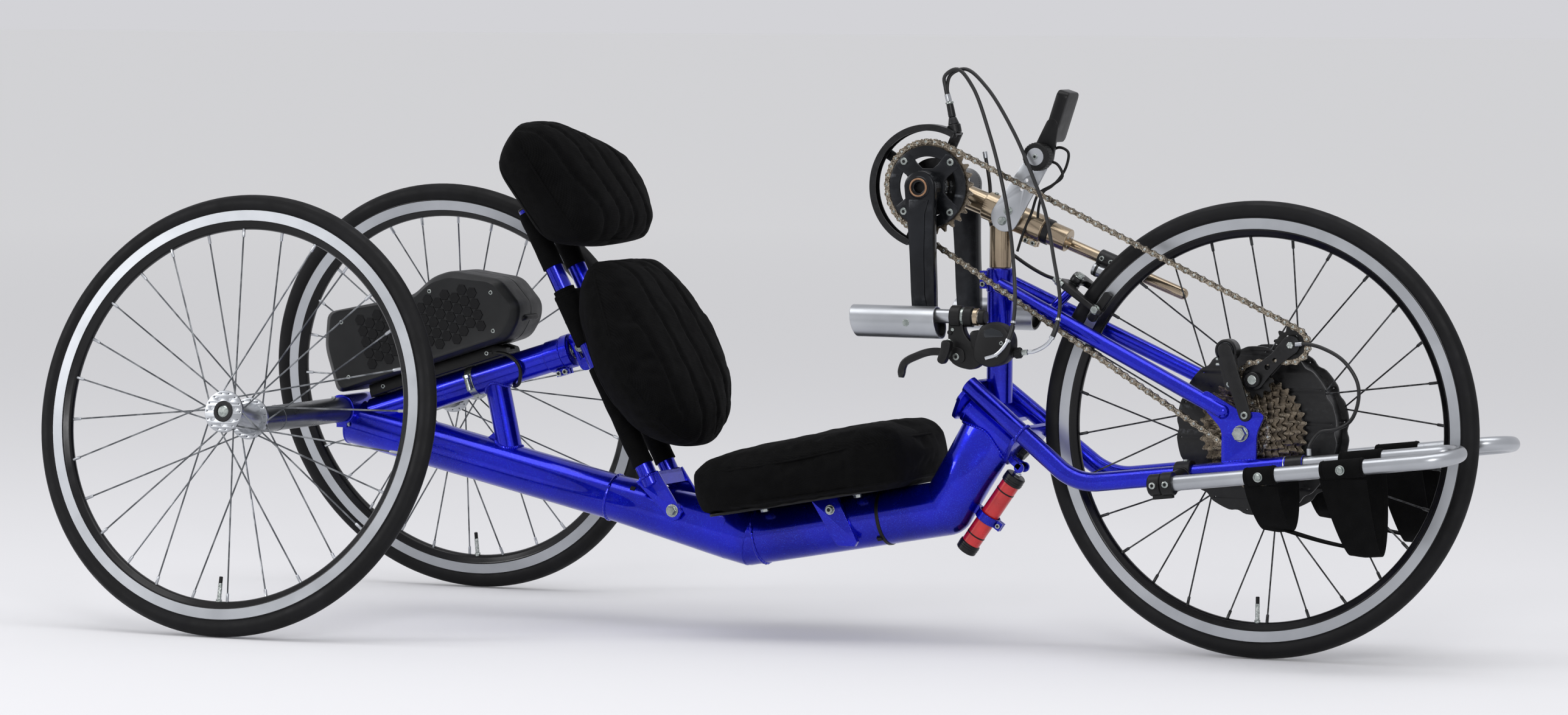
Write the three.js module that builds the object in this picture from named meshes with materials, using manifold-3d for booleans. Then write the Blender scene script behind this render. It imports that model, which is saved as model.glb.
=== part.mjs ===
// A lean-steer handcycle: two cambered rear wheels, one driven front wheel, and a front frame that leans
// on an inclined pivot to steer. Millimetres, +X forward, +Y to the rider's left, +Z up. The drawing
// frame has x = 0 at the front axle and z = 0 on the ground; the last lines move x = 0 to mid-length.

import * as THREE from 'three';
import { mergeVertices } from 'three/addons/utils/BufferGeometryUtils.js';
import Module from 'manifold-3d';

const wasm = await Module();
wasm.setup();

// Angles, fits and how finely round things are cut

const degrees = Math.PI / 180;
const fit = 0.3;
const overrun = 5;
const weldDistance = 0.001;
const tubeSides = 10;
const barSides = 8;
const pinSides = 6;
const wheelSteps = 28;
const hubSteps = 12;
const motorSteps = 18;
const ringSteps = 18;

// Wheels

const tyreDiameter = 607;
const tyreSection = 24;
const rimDepth = 24;
const rimWidth = 20;
const trackDepth = 14;
const wheelbase = 1352;
const rearTrack = 680;
const camber = 11 * degrees;
const tyreSides = 8;
const valveLength = 34;
const valveRadius = 3;
const spokeRadius = 1.1;
const spokeSides = 3;
const spokePairs = 8;
const spokeSink = 3;
const hubSpokeLean = 38 * degrees;
const motorSpokeLean = 12 * degrees;

// Rear hubs and the axles that carry them

const hubFlangeRadius = 28;
const hubFlangeWidth = 5;
const hubFlangeSpacing = 72;
const hubFlangeShift = 1;
const hubBarrelRadius = 19;
const hubHoleCircle = 25;
const hubNeckWidth = 8;
const stubRadius = 7.5;
const stubClearance = 0.5;
const axleTubeRadius = 17.5;
const axleTubeGap = 2;
const receiverRadius = 21;
const receiverHalfWidth = 40;
const receiverRise = 18;
const receiverDrop = 10.9;

// Main beam

const rearTubeRadius = 31.8;
const seatTubeRadius = 37.5;
const seatTubeRise = 10.3 * degrees;
const bendX = -734;
const bendZ = 130;
const bendSeatReach = 62;
const gussetReach = 215;
const gussetRadius = 40;
const neckX = -445;
const neckOvalLength = 41;
const neckOvalWidth = 21;

// Inclined pivot

const pivotAngle = 38 * degrees;
const pivotX = -425;
const pivotZ = 331;
const headTubeRadius = 22;
const headTubeStart = 15;
const headTubeLength = 89;
const yokePlate = 6;
const yokePlateWidth = 116;
const yokeCornerRadius = 12;
const pivotBoltRadius = 6;
const pivotHeadRadius = 8;
const pivotHeadLength = 15;
const pivotNutRadius = 10;
const pivotNutLength = 9;

// Centring spring unit under the neck

const damperAngle = 55 * degrees;
const damperPinAlong = 124;
const damperPinDrop = 17;
const damperRadius = 13;
const damperLength = 118;
const damperCapRadius = 14.5;
const damperCapLength = 5;
const damperRodRadius = 4;
const damperRodLength = 18;
const damperLugShare = 0.56;
const damperSwingRoom = 2;
const damperEarGap = 8;
const damperEarWall = 4;
const damperEarReach = 3;
const damperLugWidth = 12;
const damperLugWall = 4;
const trunnionRadius = 3;

// Battery beam, strut, dock and case

const batteryBeamRadius = 21;
const batteryBeamAngle = 17.5 * degrees;
const batteryBeamFrontX = -1016;
const batteryBeamFrontZ = 377;
const batteryBeamLength = 322;
const batteryBoreDepth = 110;
const strutRadius = 17.5;
const strutFootX = -1100;
const strutHeadX = -1129;
const strutGussetReach = 62;
const strutGussetHeight = 68;
const strutGussetWall = 5;
const dockLength = 250;
const dockWidth = 52;
const dockHeight = 17;
const dockBack = 82;
const dockGrooveWidth = 16;
const dockGrooveDepth = 6;
const caseWidth = 92;
const caseLength = 312;
const caseRearHeight = 136;
const caseHumpHeight = 116;
const caseNoseHeight = 26;
const caseEdge = 10;

// Adjuster rod in the front end of the battery beam

const adjusterRadius = 12;
const adjusterInside = 90;
const adjusterCollarRadius = 24;
const adjusterCollarLength = 9;
const adjusterEyeRadius = 9;
const adjusterEyeReach = 16;
const adjusterEyeWidth = 14;
const clevisPinRadius = 4;

// Backrest

const hingeX = -836;
const hingeZ = 166;
const hingeBoltRadius = 5;
const hingeBoltHead = 8;
const hingeBoltHeadLength = 6;
const hingeBossRadius = 11;
const backAngle = 62.7 * degrees;
const backTubeRadius = 12.5;
const backTubeSpacing = 72;
const backTubeStart = 45;
const backTubeLength = 470;
const backTubeSetback = 14;
const backYokeWall = 5;
const backYokeHalfWidth = 37.5;
const backYokeDepth = 34;
const backYokeHeight = 58;
const backYokeWebStart = 38;
const backCrossRadius = 8;
const backCrossShares = [0.25, 0.93];
const clevisWall = 5;
const clevisHeight = 62;
const clevisSlotPlay = 1.8;
const clevisSlotDown = 16;
const clevisSlotUp = 6;

// Cushions

const backPadBottom = 18;
const backPadHeight = 278;
const backPadHalfWidth = 158;
const backPadEdge = 62;
const backPadCrown = 32;
const shoulderPadBottom = 338;
const shoulderPadHeight = 169;
const shoulderPadHalfWidth = 158;
const shoulderPadEdge = 62;
const shoulderPadCrown = 36;
const seatLength = 290;
const seatBehindBend = 28;
const seatRearHalfWidth = 140;
const seatFrontHalfWidth = 105;
const seatEdge = 58;
const seatCrown = 18;
const seatFrontLift = 9;
const seatPanThickness = 4;
const seatPanInset = 14;
const seatLugX = -609;
const seatLugLength = 36;
const seatLugLean = 35;
const seatLugWall = 5;
const seatLugDrop = 24;
const channelDepth = 3;
const padColumns = 12;
const padBackShare = 0.72;
const padBackRiseShare = 0.12;
const padBulgeShare = 0.12;

// Each entry is [height share, left share, right share] of an outline, from the bottom up
const backPadShares = [
  [0, -0.22, 0.16], [0.05, -0.52, 0.42], [0.14, -0.74, 0.68], [0.27, -0.9, 0.9], [0.42, -0.98, 1],
  [0.57, -0.97, 0.99], [0.7, -0.89, 0.9], [0.83, -0.8, 0.78], [0.94, -0.7, 0.62], [1, -0.55, 0.4],
];
const shoulderPadShares = [
  [0, -0.5, 0.5], [0.06, -0.7, 0.72], [0.18, -0.78, 0.82], [0.36, -0.87, 0.88], [0.54, -0.95, 0.82],
  [0.68, -1.02, 0.66], [0.8, -1.07, 0.36], [0.9, -1.06, 0.02], [0.97, -0.92, -0.3], [1, -0.76, -0.48],
];
const seatPadShares = [
  [0, -0.72, 0.72], [0.04, -0.9, 0.9], [0.15, -1, 1], [0.35, -0.99, 0.99], [0.55, -0.93, 0.93],
  [0.75, -0.85, 0.85], [0.9, -0.78, 0.78], [0.97, -0.68, 0.68], [1, -0.5, 0.5],
];

// Fork: mast, stays and dropouts

const mastX = -371;
const mastRadius = 17.5;
const mastTopZ = 509;
const mastFoot = 8;
const saddleThickness = 8;
const saddleLength = 62;
const lowerStayRadius = 12.7;
const lowerStayRise = 36;
const lowerStaySpread = 48;
const lowerStayTurnSpread = 64;
const lowerStayBend = 214;
const lowerStayBendRadius = 80;
const lowerStayFrontAngle = 6.8 * degrees;
const lowerStayFrontX = 89;
const lowerStayFrontSpread = 72;
const lowerStayBoreDepth = 60;
const upperStayRadius = 10.5;
const upperStayTopZ = 487;
const upperStayTopSpread = 20;
const dropoutInside = 67.5;
const dropoutThickness = 6;
const dropoutHalfLength = 26;
const dropoutRise = 28;
const bridgeShare = 0.2;
const bridgeRadius = 7;

// Front axle and motor hub

const axleRadius = 6;
const axleClearance = 0.4;
const axleNutRadius = 11;
const axleNutLength = 8;
const axleOverhang = 3.5;
const motorRadius = 111;
const motorCassetteGap = 2.7;
const motorLeft = 56;
const motorRimInset = 6;
const motorRimLeft = 42;
const motorFaceRadius = 62;
const motorFaceStep = 8;
const motorBossRadius = 20;

// Drive train

const chainPitch = 12.7;
const ringTeeth = 30;
const cogTeeth = 15;
const pulleyTeeth = 11;
const cassetteTeeth = [36, 32, 28, 24, 21, 18, 15, 13, 11];
const cogSpacing = 4.35;
const cogThickness = 1.8;
const cassetteCoreRadius = 17;
const toothHeight = 4.6;
const toothRoot = 3.6;
const chainLine = -50;
const chainPlateWidth = 6;
const chainPlateHeight = 8.4;
const chainInnerWidth = 4.4;
const chainClearance = 0.5;
const straightRunShare = 0.9999;
const ringThickness = 3;
const ringInnerRadius = 47;
const crankX = -455;
const crankZ = 618;
const crankLength = 178;
const crankFace = 88;
const crankThickness = 17;
const crankWaistShare = 0.42;
const crankForward = 8;
const crankHeadRadius = 20;
const crankEndRadius = 16;
const crankWaistRadius = 16.5;
const crankHoleRadius = 9.5;
const crankHoleDepth = 8;
const spiderArms = 4;
const spiderThickness = 5;
const spiderArmWidth = 17;
const spiderHubRadius = 22;
const spindleRadius = 11;
const shellRadius = 20.5;
const shellHalfWidth = 36;
const cupRadius = 22;
const cupWidth = 7;
const guideX = 12;
const guideZ = 374;
const tensionX = 61.6;
const tensionZ = 420.6;
const pulleyThickness = 3.4;
const pulleyPinRadius = 3.6;
const cageWall = 2;
const cageGap = 9.4;
const cageEndRadius = 13;
const knuckleX = -22;
const knuckleZ = 412;
const knuckleRadius = 15;
const knuckleWidth = 20;
const knuckleArm = 9;
const linkX = -15;
const linkZ = 368;
const hangerX = 7;
const hangerZ = 328;

// Boom, mast post and what they carry

const boomAngle = 21.1 * degrees;
const boomRadius = 15.9;
const boomLength = 196;
const boomSleeveRadius = 19;
const boomSleeveLength = 44;
const boomCollarLength = 46;
const boomCollarRadius = 18.5;
const boomCapRadius = 17.5;
const boomCapLength = 10;
const collarLugWidth = 12;
const collarLugLength = 22;
const postRadius = 14.8;
const postSleeveTopZ = 562;
const postNeckRadius = 11.5;
const postInside = 40;
const rodRadius = 8;
const rodOffset = 30;
const rodDrop = 9;
const rodLength = 185;
const rodStart = 176;
const rodClampStart = 58;
const rodClampLength = 30;
const rodClampRadius = 12;
const rodCylinderRadius = 8.5;
const rodCylinderLength = 62;
const plateThickness = 4;
const plateWidth = 30;
const plateReach = 96;
const plateAngle = 58 * degrees;
const plateShare = 0.4;
const plateSide = 23;
const knobRadius = 18.5;
const knobLength = 24;
const knobHubRadius = 10;
const displayLength = 66;
const displayWidth = 40;
const displayDepth = 18;
const displayLean = 72 * degrees;
const displayArmReach = 44;
const displayArmWall = 7;
const displayPivotRadius = 8;
const guardRadius = 84;
const guardWall = 2.5;
const guardWidth = 16;
const guardStart = 62 * degrees;
const guardEnd = 250 * degrees;
const guardTopAngle = guardStart + 3.4 * degrees;
const guardMiddleAngle = 147.6 * degrees;
const guardBottomAngle = guardEnd - 5.7 * degrees;
const guardStubWall = 3;
const guardStubWidth = 14;
const guardInnerRadius = 24.5;
const guideRadius = 9;
const guideLength = 40;
const guideTiltShare = 0.22;

// Handles and their controls

const gripRadius = 21.5;
const gripRear = 81;
const gripFront = 40;
const gripSlant = 8;
const gripSide = 125;
const barRadius = 9.5;
const barRise = 9;
const barReach = 100;
const barCapRadius = 10.5;
const barCapLength = 7;
const pedalRadius = 7;
const controlClampStart = 58;
const controlClampLength = 16;
const controlClampRadius = 15;
const shifterSleeveLength = 15;
const shifterSleeveRadius = 13.5;
const podLength = 84;
const podHeight = 34;
const podWidth = 28;
const podDrop = 42;
const barrelLength = 24;
const barrelRadius = 4.5;
const leverPivotForward = 68;
const leverPivotDrop = 44;
const leverPivotRadius = 7;
const leverLength = 92;
const leverThickness = 9;
const leverWidth = 10;
const leverKneeShare = 0.42;
const leverTipDrop = 30;
const paddleLength = 26;
const paddleWall = 5;
const paddleWidth = 16;
const paddleForward = 56;
const paddleDrop = 24;

// Rim brake

const brakeAngle = 144.5 * degrees;
const brakePivotClear = 20;
const brakePivotRadius = 5;
const brakeArmThickness = 9;
const brakeArmWidth = 13;
const brakePadLength = 44;
const brakePadHeight = 9;
const brakePadWidth = 8;
const brakePadGap = 2.4;
const brakeTyreGap = 7;

// Footrests

const footTubeRadius = 10;
const footSpread = 150;
const footDrop = 7;
const footRearX = -78;
const footFrontX = 311;
const footInset = 40;
const footClampLength = 46;
const footClampRadius = 15.5;
const footClampBolt = 6;
const slingWall = 3;
const calfSlingX = 56;
const calfSlingWidth = 46;
const calfSlingSag = 62;
const heelSlingX = 168;
const heelSlingWidth = 64;
const heelSlingSag = 104;
const slingCollar = 5.5;
const slingSteps = 6;

// Held cables: each route is a list of places chosen by hand

const cableRadius = 2.5;
const cableSides = 8;
const cableSteps = 16;
const brakeCablePlaces = [
  [-334, -141.8, 396], [-318, -142, 402], [-301, -142, 423], [-298, -130, 458], [-318, -88, 531],
  [-335, -68, 592], [-350, -60, 643], [-368, -52, 692], [-394, -47, 752], [-418, -44, 776],
  [-436, -44.5, 766], [-434.4, -44.8, 750], [-430.3, -44.8, 733],
];
const shiftCablePlaces = [
  [-280, -125, 405.1], [-272, -125, 406], [-250, -124, 420], [-241, -112, 463], [-262, -84, 532],
  [-280, -70, 590], [-304, -60, 640], [-334, -50, 694], [-376, -42, 752], [-408, -38, 776],
  [-430, -38, 768], [-434.4, -39.2, 750], [-430.3, -39.2, 733],
];
const caliperCablePlaces = [
  [-405, 24, 664], [-396, 21, 620], [-392, 21, 560], [-378, 26, 538], [-350, 30, 516], [-318, 26, 500],
  [-292, 14, 494],
];
const derailleurCablePlaces = [
  [94, -71, 277.8], [94, -70, 290], [106, -66, 308], [128, -65, 313], [148, -66, 324], [159, -67, 348],
  [158, -67, 375], [138, -66, 403], [106, -62, 419], [84, -60, 423], [70, -59.6, 422],
];

// Vectors and places on the side view

const point = (x, y, z) => new THREE.Vector3(x, y, z);
const sideways = point(0, 1, 0);
const upward = point(0, 0, 1);
const sideDirection = (angle) => point(Math.cos(angle), 0, Math.sin(angle));
const stepAlong = (from, direction, distance) => from.clone().addScaledVector(direction, distance);
const shifted = (from, x, y, z) => from.clone().add(point(x, y, z));
const between = (a, b, share) => a.clone().lerp(b, share);
const mirrored = (p) => point(p.x, -p.y, p.z);

// Closed solids and how they are joined, cut and given back as geometry

function solid(geometry) {
  const bare = new THREE.BufferGeometry();
  bare.setAttribute('position', geometry.getAttribute('position').clone());
  if (geometry.index) bare.setIndex(geometry.index.clone());
  const merged = mergeVertices(bare, weldDistance);
  const at = merged.getAttribute('position');
  const corners = [];
  let volume = 0;
  for (let i = 0; i < merged.index.count; i += 3) {
    const [a, b, c] = [0, 1, 2].map((k) => merged.index.getX(i + k));
    if (a === b || b === c || c === a) continue;
    corners.push([a, b, c]);
    const [p, q, r] = [a, b, c].map((k) => new THREE.Vector3().fromBufferAttribute(at, k));
    volume += p.dot(q.cross(r));
  }
  const turned = volume < 0 ? corners.map(([a, b, c]) => [a, c, b]) : corners;
  return new wasm.Manifold(new wasm.Mesh({
    numProp: 3,
    vertProperties: new Float32Array(at.array),
    triVerts: new Uint32Array(turned.flat()),
  }));
}

function geometryOf(body) {
  const mesh = body.getMesh();
  const geometry = new THREE.BufferGeometry();
  geometry.setAttribute('position', new THREE.BufferAttribute(new Float32Array(mesh.vertProperties), 3));
  geometry.setIndex(new THREE.BufferAttribute(new Uint32Array(mesh.triVerts), 1));
  geometry.computeVertexNormals();
  return geometry;
}

// The radius of a faceted bore that clears a faceted rod however the two are turned
const room = (radius, sides = barSides) => (radius + fit) / Math.cos(Math.PI / sides);

const join = (...bodies) => bodies.flat().reduce((sum, body) => sum.add(body));
const cut = (body, ...tools) => tools.flat().reduce((left, tool) => left.subtract(tool), body);

// Simple shapes

function rodBetween(from, to, radius, sides = barSides, endRadius = radius) {
  const axis = to.clone().sub(from);
  const geometry = new THREE.CylinderGeometry(endRadius, radius, axis.length(), sides);
  geometry.applyQuaternion(new THREE.Quaternion().setFromUnitVectors(sideways, axis.normalize()));
  const middle = between(from, to, 0.5);
  geometry.translate(middle.x, middle.y, middle.z);
  return solid(geometry);
}

const longRod = (from, direction, back, front, radius, sides) =>
  rodBetween(stepAlong(from, direction, -back), stepAlong(from, direction, front), radius, sides);

const crossRod = (x, z, low, high, radius, sides = barSides) =>
  rodBetween(point(x, low, z), point(x, high, z), radius, sides);

// A matrix whose X, Y and Z columns are the three directions and whose origin is the given point
function frameAt(origin, xAxis, yAxis) {
  const zAxis = xAxis.clone().cross(yAxis);
  return new THREE.Matrix4().makeBasis(xAxis, yAxis, zAxis).setPosition(origin);
}

function blockIn(frame, low, high) {
  const size = high.clone().sub(low);
  const geometry = new THREE.BoxGeometry(size.x, size.y, size.z);
  const middle = between(low, high, 0.5);
  geometry.translate(middle.x, middle.y, middle.z);
  geometry.applyMatrix4(frame);
  return solid(geometry);
}

// An outline in a frame's XY plane, made thick from low to high along that frame's Z
function slabIn(frame, outline, low, high) {
  const shape = outline instanceof THREE.Shape ? outline : new THREE.Shape(outline);
  const geometry = new THREE.ExtrudeGeometry(shape, {
    depth: high - low, steps: 1, bevelEnabled: false, curveSegments: 5,
  });
  geometry.translate(0, 0, low);
  geometry.applyMatrix4(frame);
  return solid(geometry);
}

// The side view: local X is forward, local Y is up, and thickness runs from y = low to y = high
const sideFrame = frameAt(point(0, 0, 0), point(1, 0, 0), upward);
const sideSlab = (outline, low, high) =>
  slabIn(sideFrame, outline.map(([x, z]) => new THREE.Vector2(x, z)), -high, -low);

// A belt round two circles in the side view, as an outline of arcs
function beltOutline(x1, z1, r1, x2, z2, r2, steps = 6) {
  const heading = Math.atan2(z2 - z1, x2 - x1);
  const spread = Math.acos((r1 - r2) / Math.hypot(x2 - x1, z2 - z1));
  const arc = (x, z, r, start, end) => Array.from({ length: steps + 1 }, (_, i) => {
    const angle = start + (end - start) * i / steps;
    return [x + r * Math.cos(angle), z + r * Math.sin(angle)];
  });
  return [
    ...arc(x1, z1, r1, heading + spread, heading + 2 * Math.PI - spread),
    ...arc(x2, z2, r2, heading - spread, heading + spread),
  ];
}

function turnedAbout(profile, steps, start = 0) {
  return new THREE.LatheGeometry(profile.map(([r, y]) => new THREE.Vector2(r, y)), steps, start);
}

// Rings of equal count, skinned one to the next and capped
function loft(rings) {
  const count = rings[0].length;
  const positions = rings.flat().flatMap((p) => [p.x, p.y, p.z]);
  const index = [];
  for (let ring = 0; ring + 1 < rings.length; ring += 1) {
    for (let i = 0; i < count; i += 1) {
      const a = ring * count + i;
      const b = ring * count + (i + 1) % count;
      index.push(a, b, b + count, a, b + count, a + count);
    }
  }
  const last = (rings.length - 1) * count;
  for (let i = 1; i + 1 < count; i += 1) {
    index.push(0, i + 1, i);
    index.push(last, last + i, last + i + 1);
  }
  const geometry = new THREE.BufferGeometry();
  geometry.setAttribute('position', new THREE.Float32BufferAttribute(positions, 3));
  geometry.setIndex(index);
  return solid(geometry);
}

const ovalRing = (centre, across, width, up, height, sides) => Array.from({ length: sides }, (_, i) => {
  const angle = 2 * Math.PI * i / sides;
  return centre.clone().addScaledVector(across, width * Math.cos(angle))
    .addScaledVector(up, height * Math.sin(angle));
});

// Tubes along a route of chosen stations: a straight run takes one step and a bend takes several

class Route extends THREE.Curve {
  constructor(stations) {
    super();
    this.stations = stations;
  }

  getPointAt(share) {
    const place = share * (this.stations.length - 1);
    const first = Math.min(Math.floor(place), this.stations.length - 2);
    return between(this.stations[first], this.stations[first + 1], place - first);
  }

  getTangentAt(share) {
    const near = Math.round(share * (this.stations.length - 1));
    const before = this.stations[Math.max(near - 1, 0)];
    const after = this.stations[Math.min(near + 1, this.stations.length - 1)];
    return after.clone().sub(before).normalize();
  }
}

function roundedStations(corners, bendRadius, steps = 3) {
  const stations = [corners[0]];
  for (let i = 1; i + 1 < corners.length; i += 1) {
    const into = corners[i].clone().sub(corners[i - 1]).normalize();
    const out = corners[i + 1].clone().sub(corners[i]).normalize();
    const turn = into.angleTo(out);
    const trim = bendRadius * Math.tan(turn / 2);
    const inward = out.clone().sub(into).normalize();
    const centre = stepAlong(corners[i], inward, bendRadius / Math.cos(turn / 2));
    const start = stepAlong(corners[i], into, -trim).sub(centre);
    const axis = into.clone().cross(out).normalize();
    for (let k = 0; k <= steps; k += 1) {
      stations.push(start.clone().applyAxisAngle(axis, turn * k / steps).add(centre));
    }
  }
  stations.push(corners[corners.length - 1]);
  return stations;
}

function tubeOn(stations, radius, sides = barSides) {
  const section = new THREE.Shape(Array.from({ length: sides }, (_, i) => {
    const angle = 2 * Math.PI * i / sides;
    return new THREE.Vector2(radius * Math.cos(angle), radius * Math.sin(angle));
  }));
  return solid(new THREE.ExtrudeGeometry(section, {
    steps: stations.length - 1, extrudePath: new Route(stations), bevelEnabled: false,
  }));
}

const cableOn = (places, steps = cableSteps) =>
  tubeOn(new THREE.CatmullRomCurve3(places, false, 'centripetal').getSpacedPoints(steps), cableRadius,
    cableSides);

// Finishes

const finishes = {
  blue: [0x0a1fd0, 0.25, 0.55],
  black: [0x101012, 0.55, 0.1],
  cloth: [0x0c0c0d, 0.95, 0],
  rubber: [0x161618, 0.85, 0],
  rim: [0x1a1a1e, 0.4, 0.4],
  silver: [0xc9ccd0, 0.3, 0.9],
  grey: [0x55585c, 0.5, 0.6],
  nickel: [0xb9a98f, 0.3, 0.9],
  aluminium: [0xcfd2d4, 0.35, 0.9],
  red: [0xc01218, 0.4, 0.2],
  steel: [0x9a948a, 0.35, 0.9],
  housing: [0x2a2b2d, 0.6, 0.1],
  crank: [0x2c2f33, 0.35, 0.6],
};

const model = new THREE.Group();

function add(name, body, finish, parent = model) {
  const [color, roughness, metalness] = finishes[finish];
  const material = new THREE.MeshStandardMaterial({ color, roughness, metalness });
  const mesh = new THREE.Mesh(geometryOf(body), material);
  mesh.name = name;
  parent.add(mesh);
}

// Wheels: profiles are turned about Y, and the near side of a wheel is its outer side

const wheelRadius = tyreDiameter / 2;
const tyreRingRadius = wheelRadius - tyreSection / 2;
const tyreInnerRadius = wheelRadius - tyreSection;
const rimRadius = tyreInnerRadius - fit;
const rimInnerRadius = rimRadius - rimDepth;

function tyreBody(tilt) {
  const profile = Array.from({ length: tyreSides + 1 }, (_, i) => {
    const angle = tilt + 2 * Math.PI * i / tyreSides;
    return [tyreRingRadius + tyreSection / 2 * Math.cos(angle), tyreSection / 2 * Math.sin(angle)];
  });
  return solid(turnedAbout(profile, wheelSteps));
}

function rimBody() {
  const profile = [
    [rimRadius, -rimWidth / 2], [rimRadius, rimWidth / 2],
    [rimRadius - trackDepth, rimWidth / 2], [rimInnerRadius, 0],
    [rimRadius - trackDepth, -rimWidth / 2],
    [rimRadius, -rimWidth / 2],
  ];
  const valve = rodBetween(point(0, 0, -rimInnerRadius - spokeSink),
    point(0, 0, valveLength - rimInnerRadius), valveRadius, spokeSides * 2);
  return join(solid(turnedAbout(profile, wheelSteps)), valve);
}

// How far in the faceted rim reaches at an angle
function rimReachAt(angle) {
  const step = 2 * Math.PI / wheelSteps;
  const offset = ((angle % step) + step) % step - step / 2;
  return rimInnerRadius * Math.cos(step / 2) / Math.cos(offset);
}

// Spokes alternate between two flanges and lean forward and back in turn
function spokes(holeCircle, nearFlange, farFlange, lean) {
  const count = spokePairs * 2;
  return Array.from({ length: count }, (_, i) => {
    const rimAngle = 2 * Math.PI * (i + 0.25) / count;
    const side = i % 2 ? nearFlange : farFlange;
    const way = i % 4 < 2 ? 1 : -1;
    const hubAngle = rimAngle + way * lean;
    const at = (radius, angle, y) => point(radius * Math.cos(angle), y, radius * Math.sin(angle));
    const root = at(holeCircle - spokeSink, hubAngle, side);
    const tip = at(rimReachAt(rimAngle) - fit, rimAngle, 0);
    const across = tip.clone().sub(root).cross(sideways).normalize();
    const beside = tip.clone().sub(root).cross(across).normalize();
    return loft([root, tip].map((end) =>
      ovalRing(end, across, spokeRadius, beside, spokeRadius, spokeSides)));
  });
}

const hubOuter = hubFlangeSpacing / 2 - hubFlangeShift;
const hubInner = hubFlangeSpacing / 2 + hubFlangeShift;

function rearHubBody() {
  const bore = stubRadius + stubClearance;
  const half = hubFlangeWidth / 2;
  const profile = [
    [bore, -hubOuter - half], [hubFlangeRadius, -hubOuter - half],
    [hubFlangeRadius, -hubOuter + half], [hubBarrelRadius, -hubOuter + hubNeckWidth],
    [hubBarrelRadius, hubInner - hubNeckWidth], [hubFlangeRadius, hubInner - half],
    [hubFlangeRadius, hubInner + half], [bore, hubInner + half],
    [bore, -hubOuter - half],
  ];
  return join(solid(turnedAbout(profile, hubSteps)),
    ...spokes(hubHoleCircle, -hubOuter, hubInner, hubSpokeLean));
}

// Each rear wheel stands in its own group: the group leans by the camber, its near side points outward
const rearHubZ = tyreRingRadius * Math.cos(camber) + tyreSection / 2;

function addRearWheel(side, suffix) {
  const wheel = new THREE.Group();
  wheel.position.set(-wheelbase, side * rearTrack / 2, rearHubZ);
  wheel.rotation.set(side > 0 ? camber : -camber, 0, 0);
  const turn = side > 0 ? new THREE.Matrix4().makeRotationZ(Math.PI) : new THREE.Matrix4();
  const placed = (body) => solid(geometryOf(body).applyMatrix4(turn));
  add(`rear_tyre_${suffix}`, placed(tyreBody(camber)), 'rubber', wheel);
  add(`rear_rim_${suffix}`, placed(rimBody()), 'rim', wheel);
  add(`rear_hub_${suffix}`, placed(rearHubBody()), 'silver', wheel);
  model.add(wheel);
}

addRearWheel(-1, 'r');
addRearWheel(1, 'l');

// The cassette stands beside the motor's right face, with its working cog in the chain's plane
const workingCog = cassetteTeeth.indexOf(cogTeeth);
const cassetteInner = chainLine + workingCog * cogSpacing + cogThickness / 2 + fit;
const motorRight = -cassetteInner - motorCassetteGap;
const motorRimRight = motorRight - motorRimInset;

function motorHubBody() {
  const bore = axleRadius + axleClearance;
  const profile = [
    [bore, -motorRight], [motorBossRadius, -motorRight],
    [motorFaceRadius, -motorRight], [motorFaceRadius + motorFaceStep, -motorRimRight],
    [motorRadius, -motorRimRight], [motorRadius, motorRimLeft],
    [motorFaceRadius + motorFaceStep, motorRimLeft], [motorFaceRadius, motorLeft - motorFaceStep],
    [motorBossRadius, motorLeft], [bore, motorLeft], [bore, -motorRight],
  ];
  return join(solid(turnedAbout(profile, motorSteps)),
    ...spokes(motorRadius, -motorRimRight + spokeSink, motorRimLeft - spokeSink, motorSpokeLean));
}

const frontWheel = new THREE.Group();
frontWheel.position.set(0, 0, wheelRadius);
add('front_tyre', tyreBody(0), 'rubber', frontWheel);
add('front_rim', rimBody(), 'rim', frontWheel);
add('motor_hub', motorHubBody(), 'black', frontWheel);
model.add(frontWheel);

// Main beam, from the axle receiver to the head tube

const bend = point(bendX, 0, bendZ);
const receiverZ = rearHubZ - receiverDrop;
const rearEnd = point(-wheelbase, 0, receiverZ - receiverRise);
const rearTubeDirection = rearEnd.clone().sub(bend).normalize();
const seatTubeDirection = sideDirection(seatTubeRise);
const neckFoot = stepAlong(bend, seatTubeDirection, (neckX - bendX) / Math.cos(seatTubeRise));

const pivotDirection = point(Math.cos(pivotAngle), 0, -Math.sin(pivotAngle));
const pivotNormal = point(Math.sin(pivotAngle), 0, Math.cos(pivotAngle));
const pivotStart = point(pivotX, 0, pivotZ);
const onPivot = (along, rise = 0, y = 0) =>
  stepAlong(stepAlong(pivotStart, pivotDirection, along), pivotNormal, rise).add(point(0, y, 0));
const headTubeEnd = headTubeStart + headTubeLength;
const headMiddle = onPivot(headTubeStart + headTubeLength / 2);
const pivotBore = rodBetween(onPivot(-headTubeStart), onPivot(headTubeEnd + headTubeStart),
  room(pivotBoltRadius), barSides);

const neckDirection = headMiddle.clone().sub(neckFoot).normalize();
const neckAcross = sideways.clone().cross(neckDirection);

// The rod of the spring unit ends just under the pivot nut and its cylinder hangs in front of the neck
const damperPin = onPivot(damperPinAlong, -damperPinDrop);
const damperDirection = sideDirection(damperAngle).negate();
const damperAcross = damperDirection.clone().cross(sideways);
const damperLine = stepAlong(damperPin, damperDirection, damperRodLength);
const damperLug = stepAlong(damperLine, damperDirection, damperLength * damperLugShare);

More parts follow.
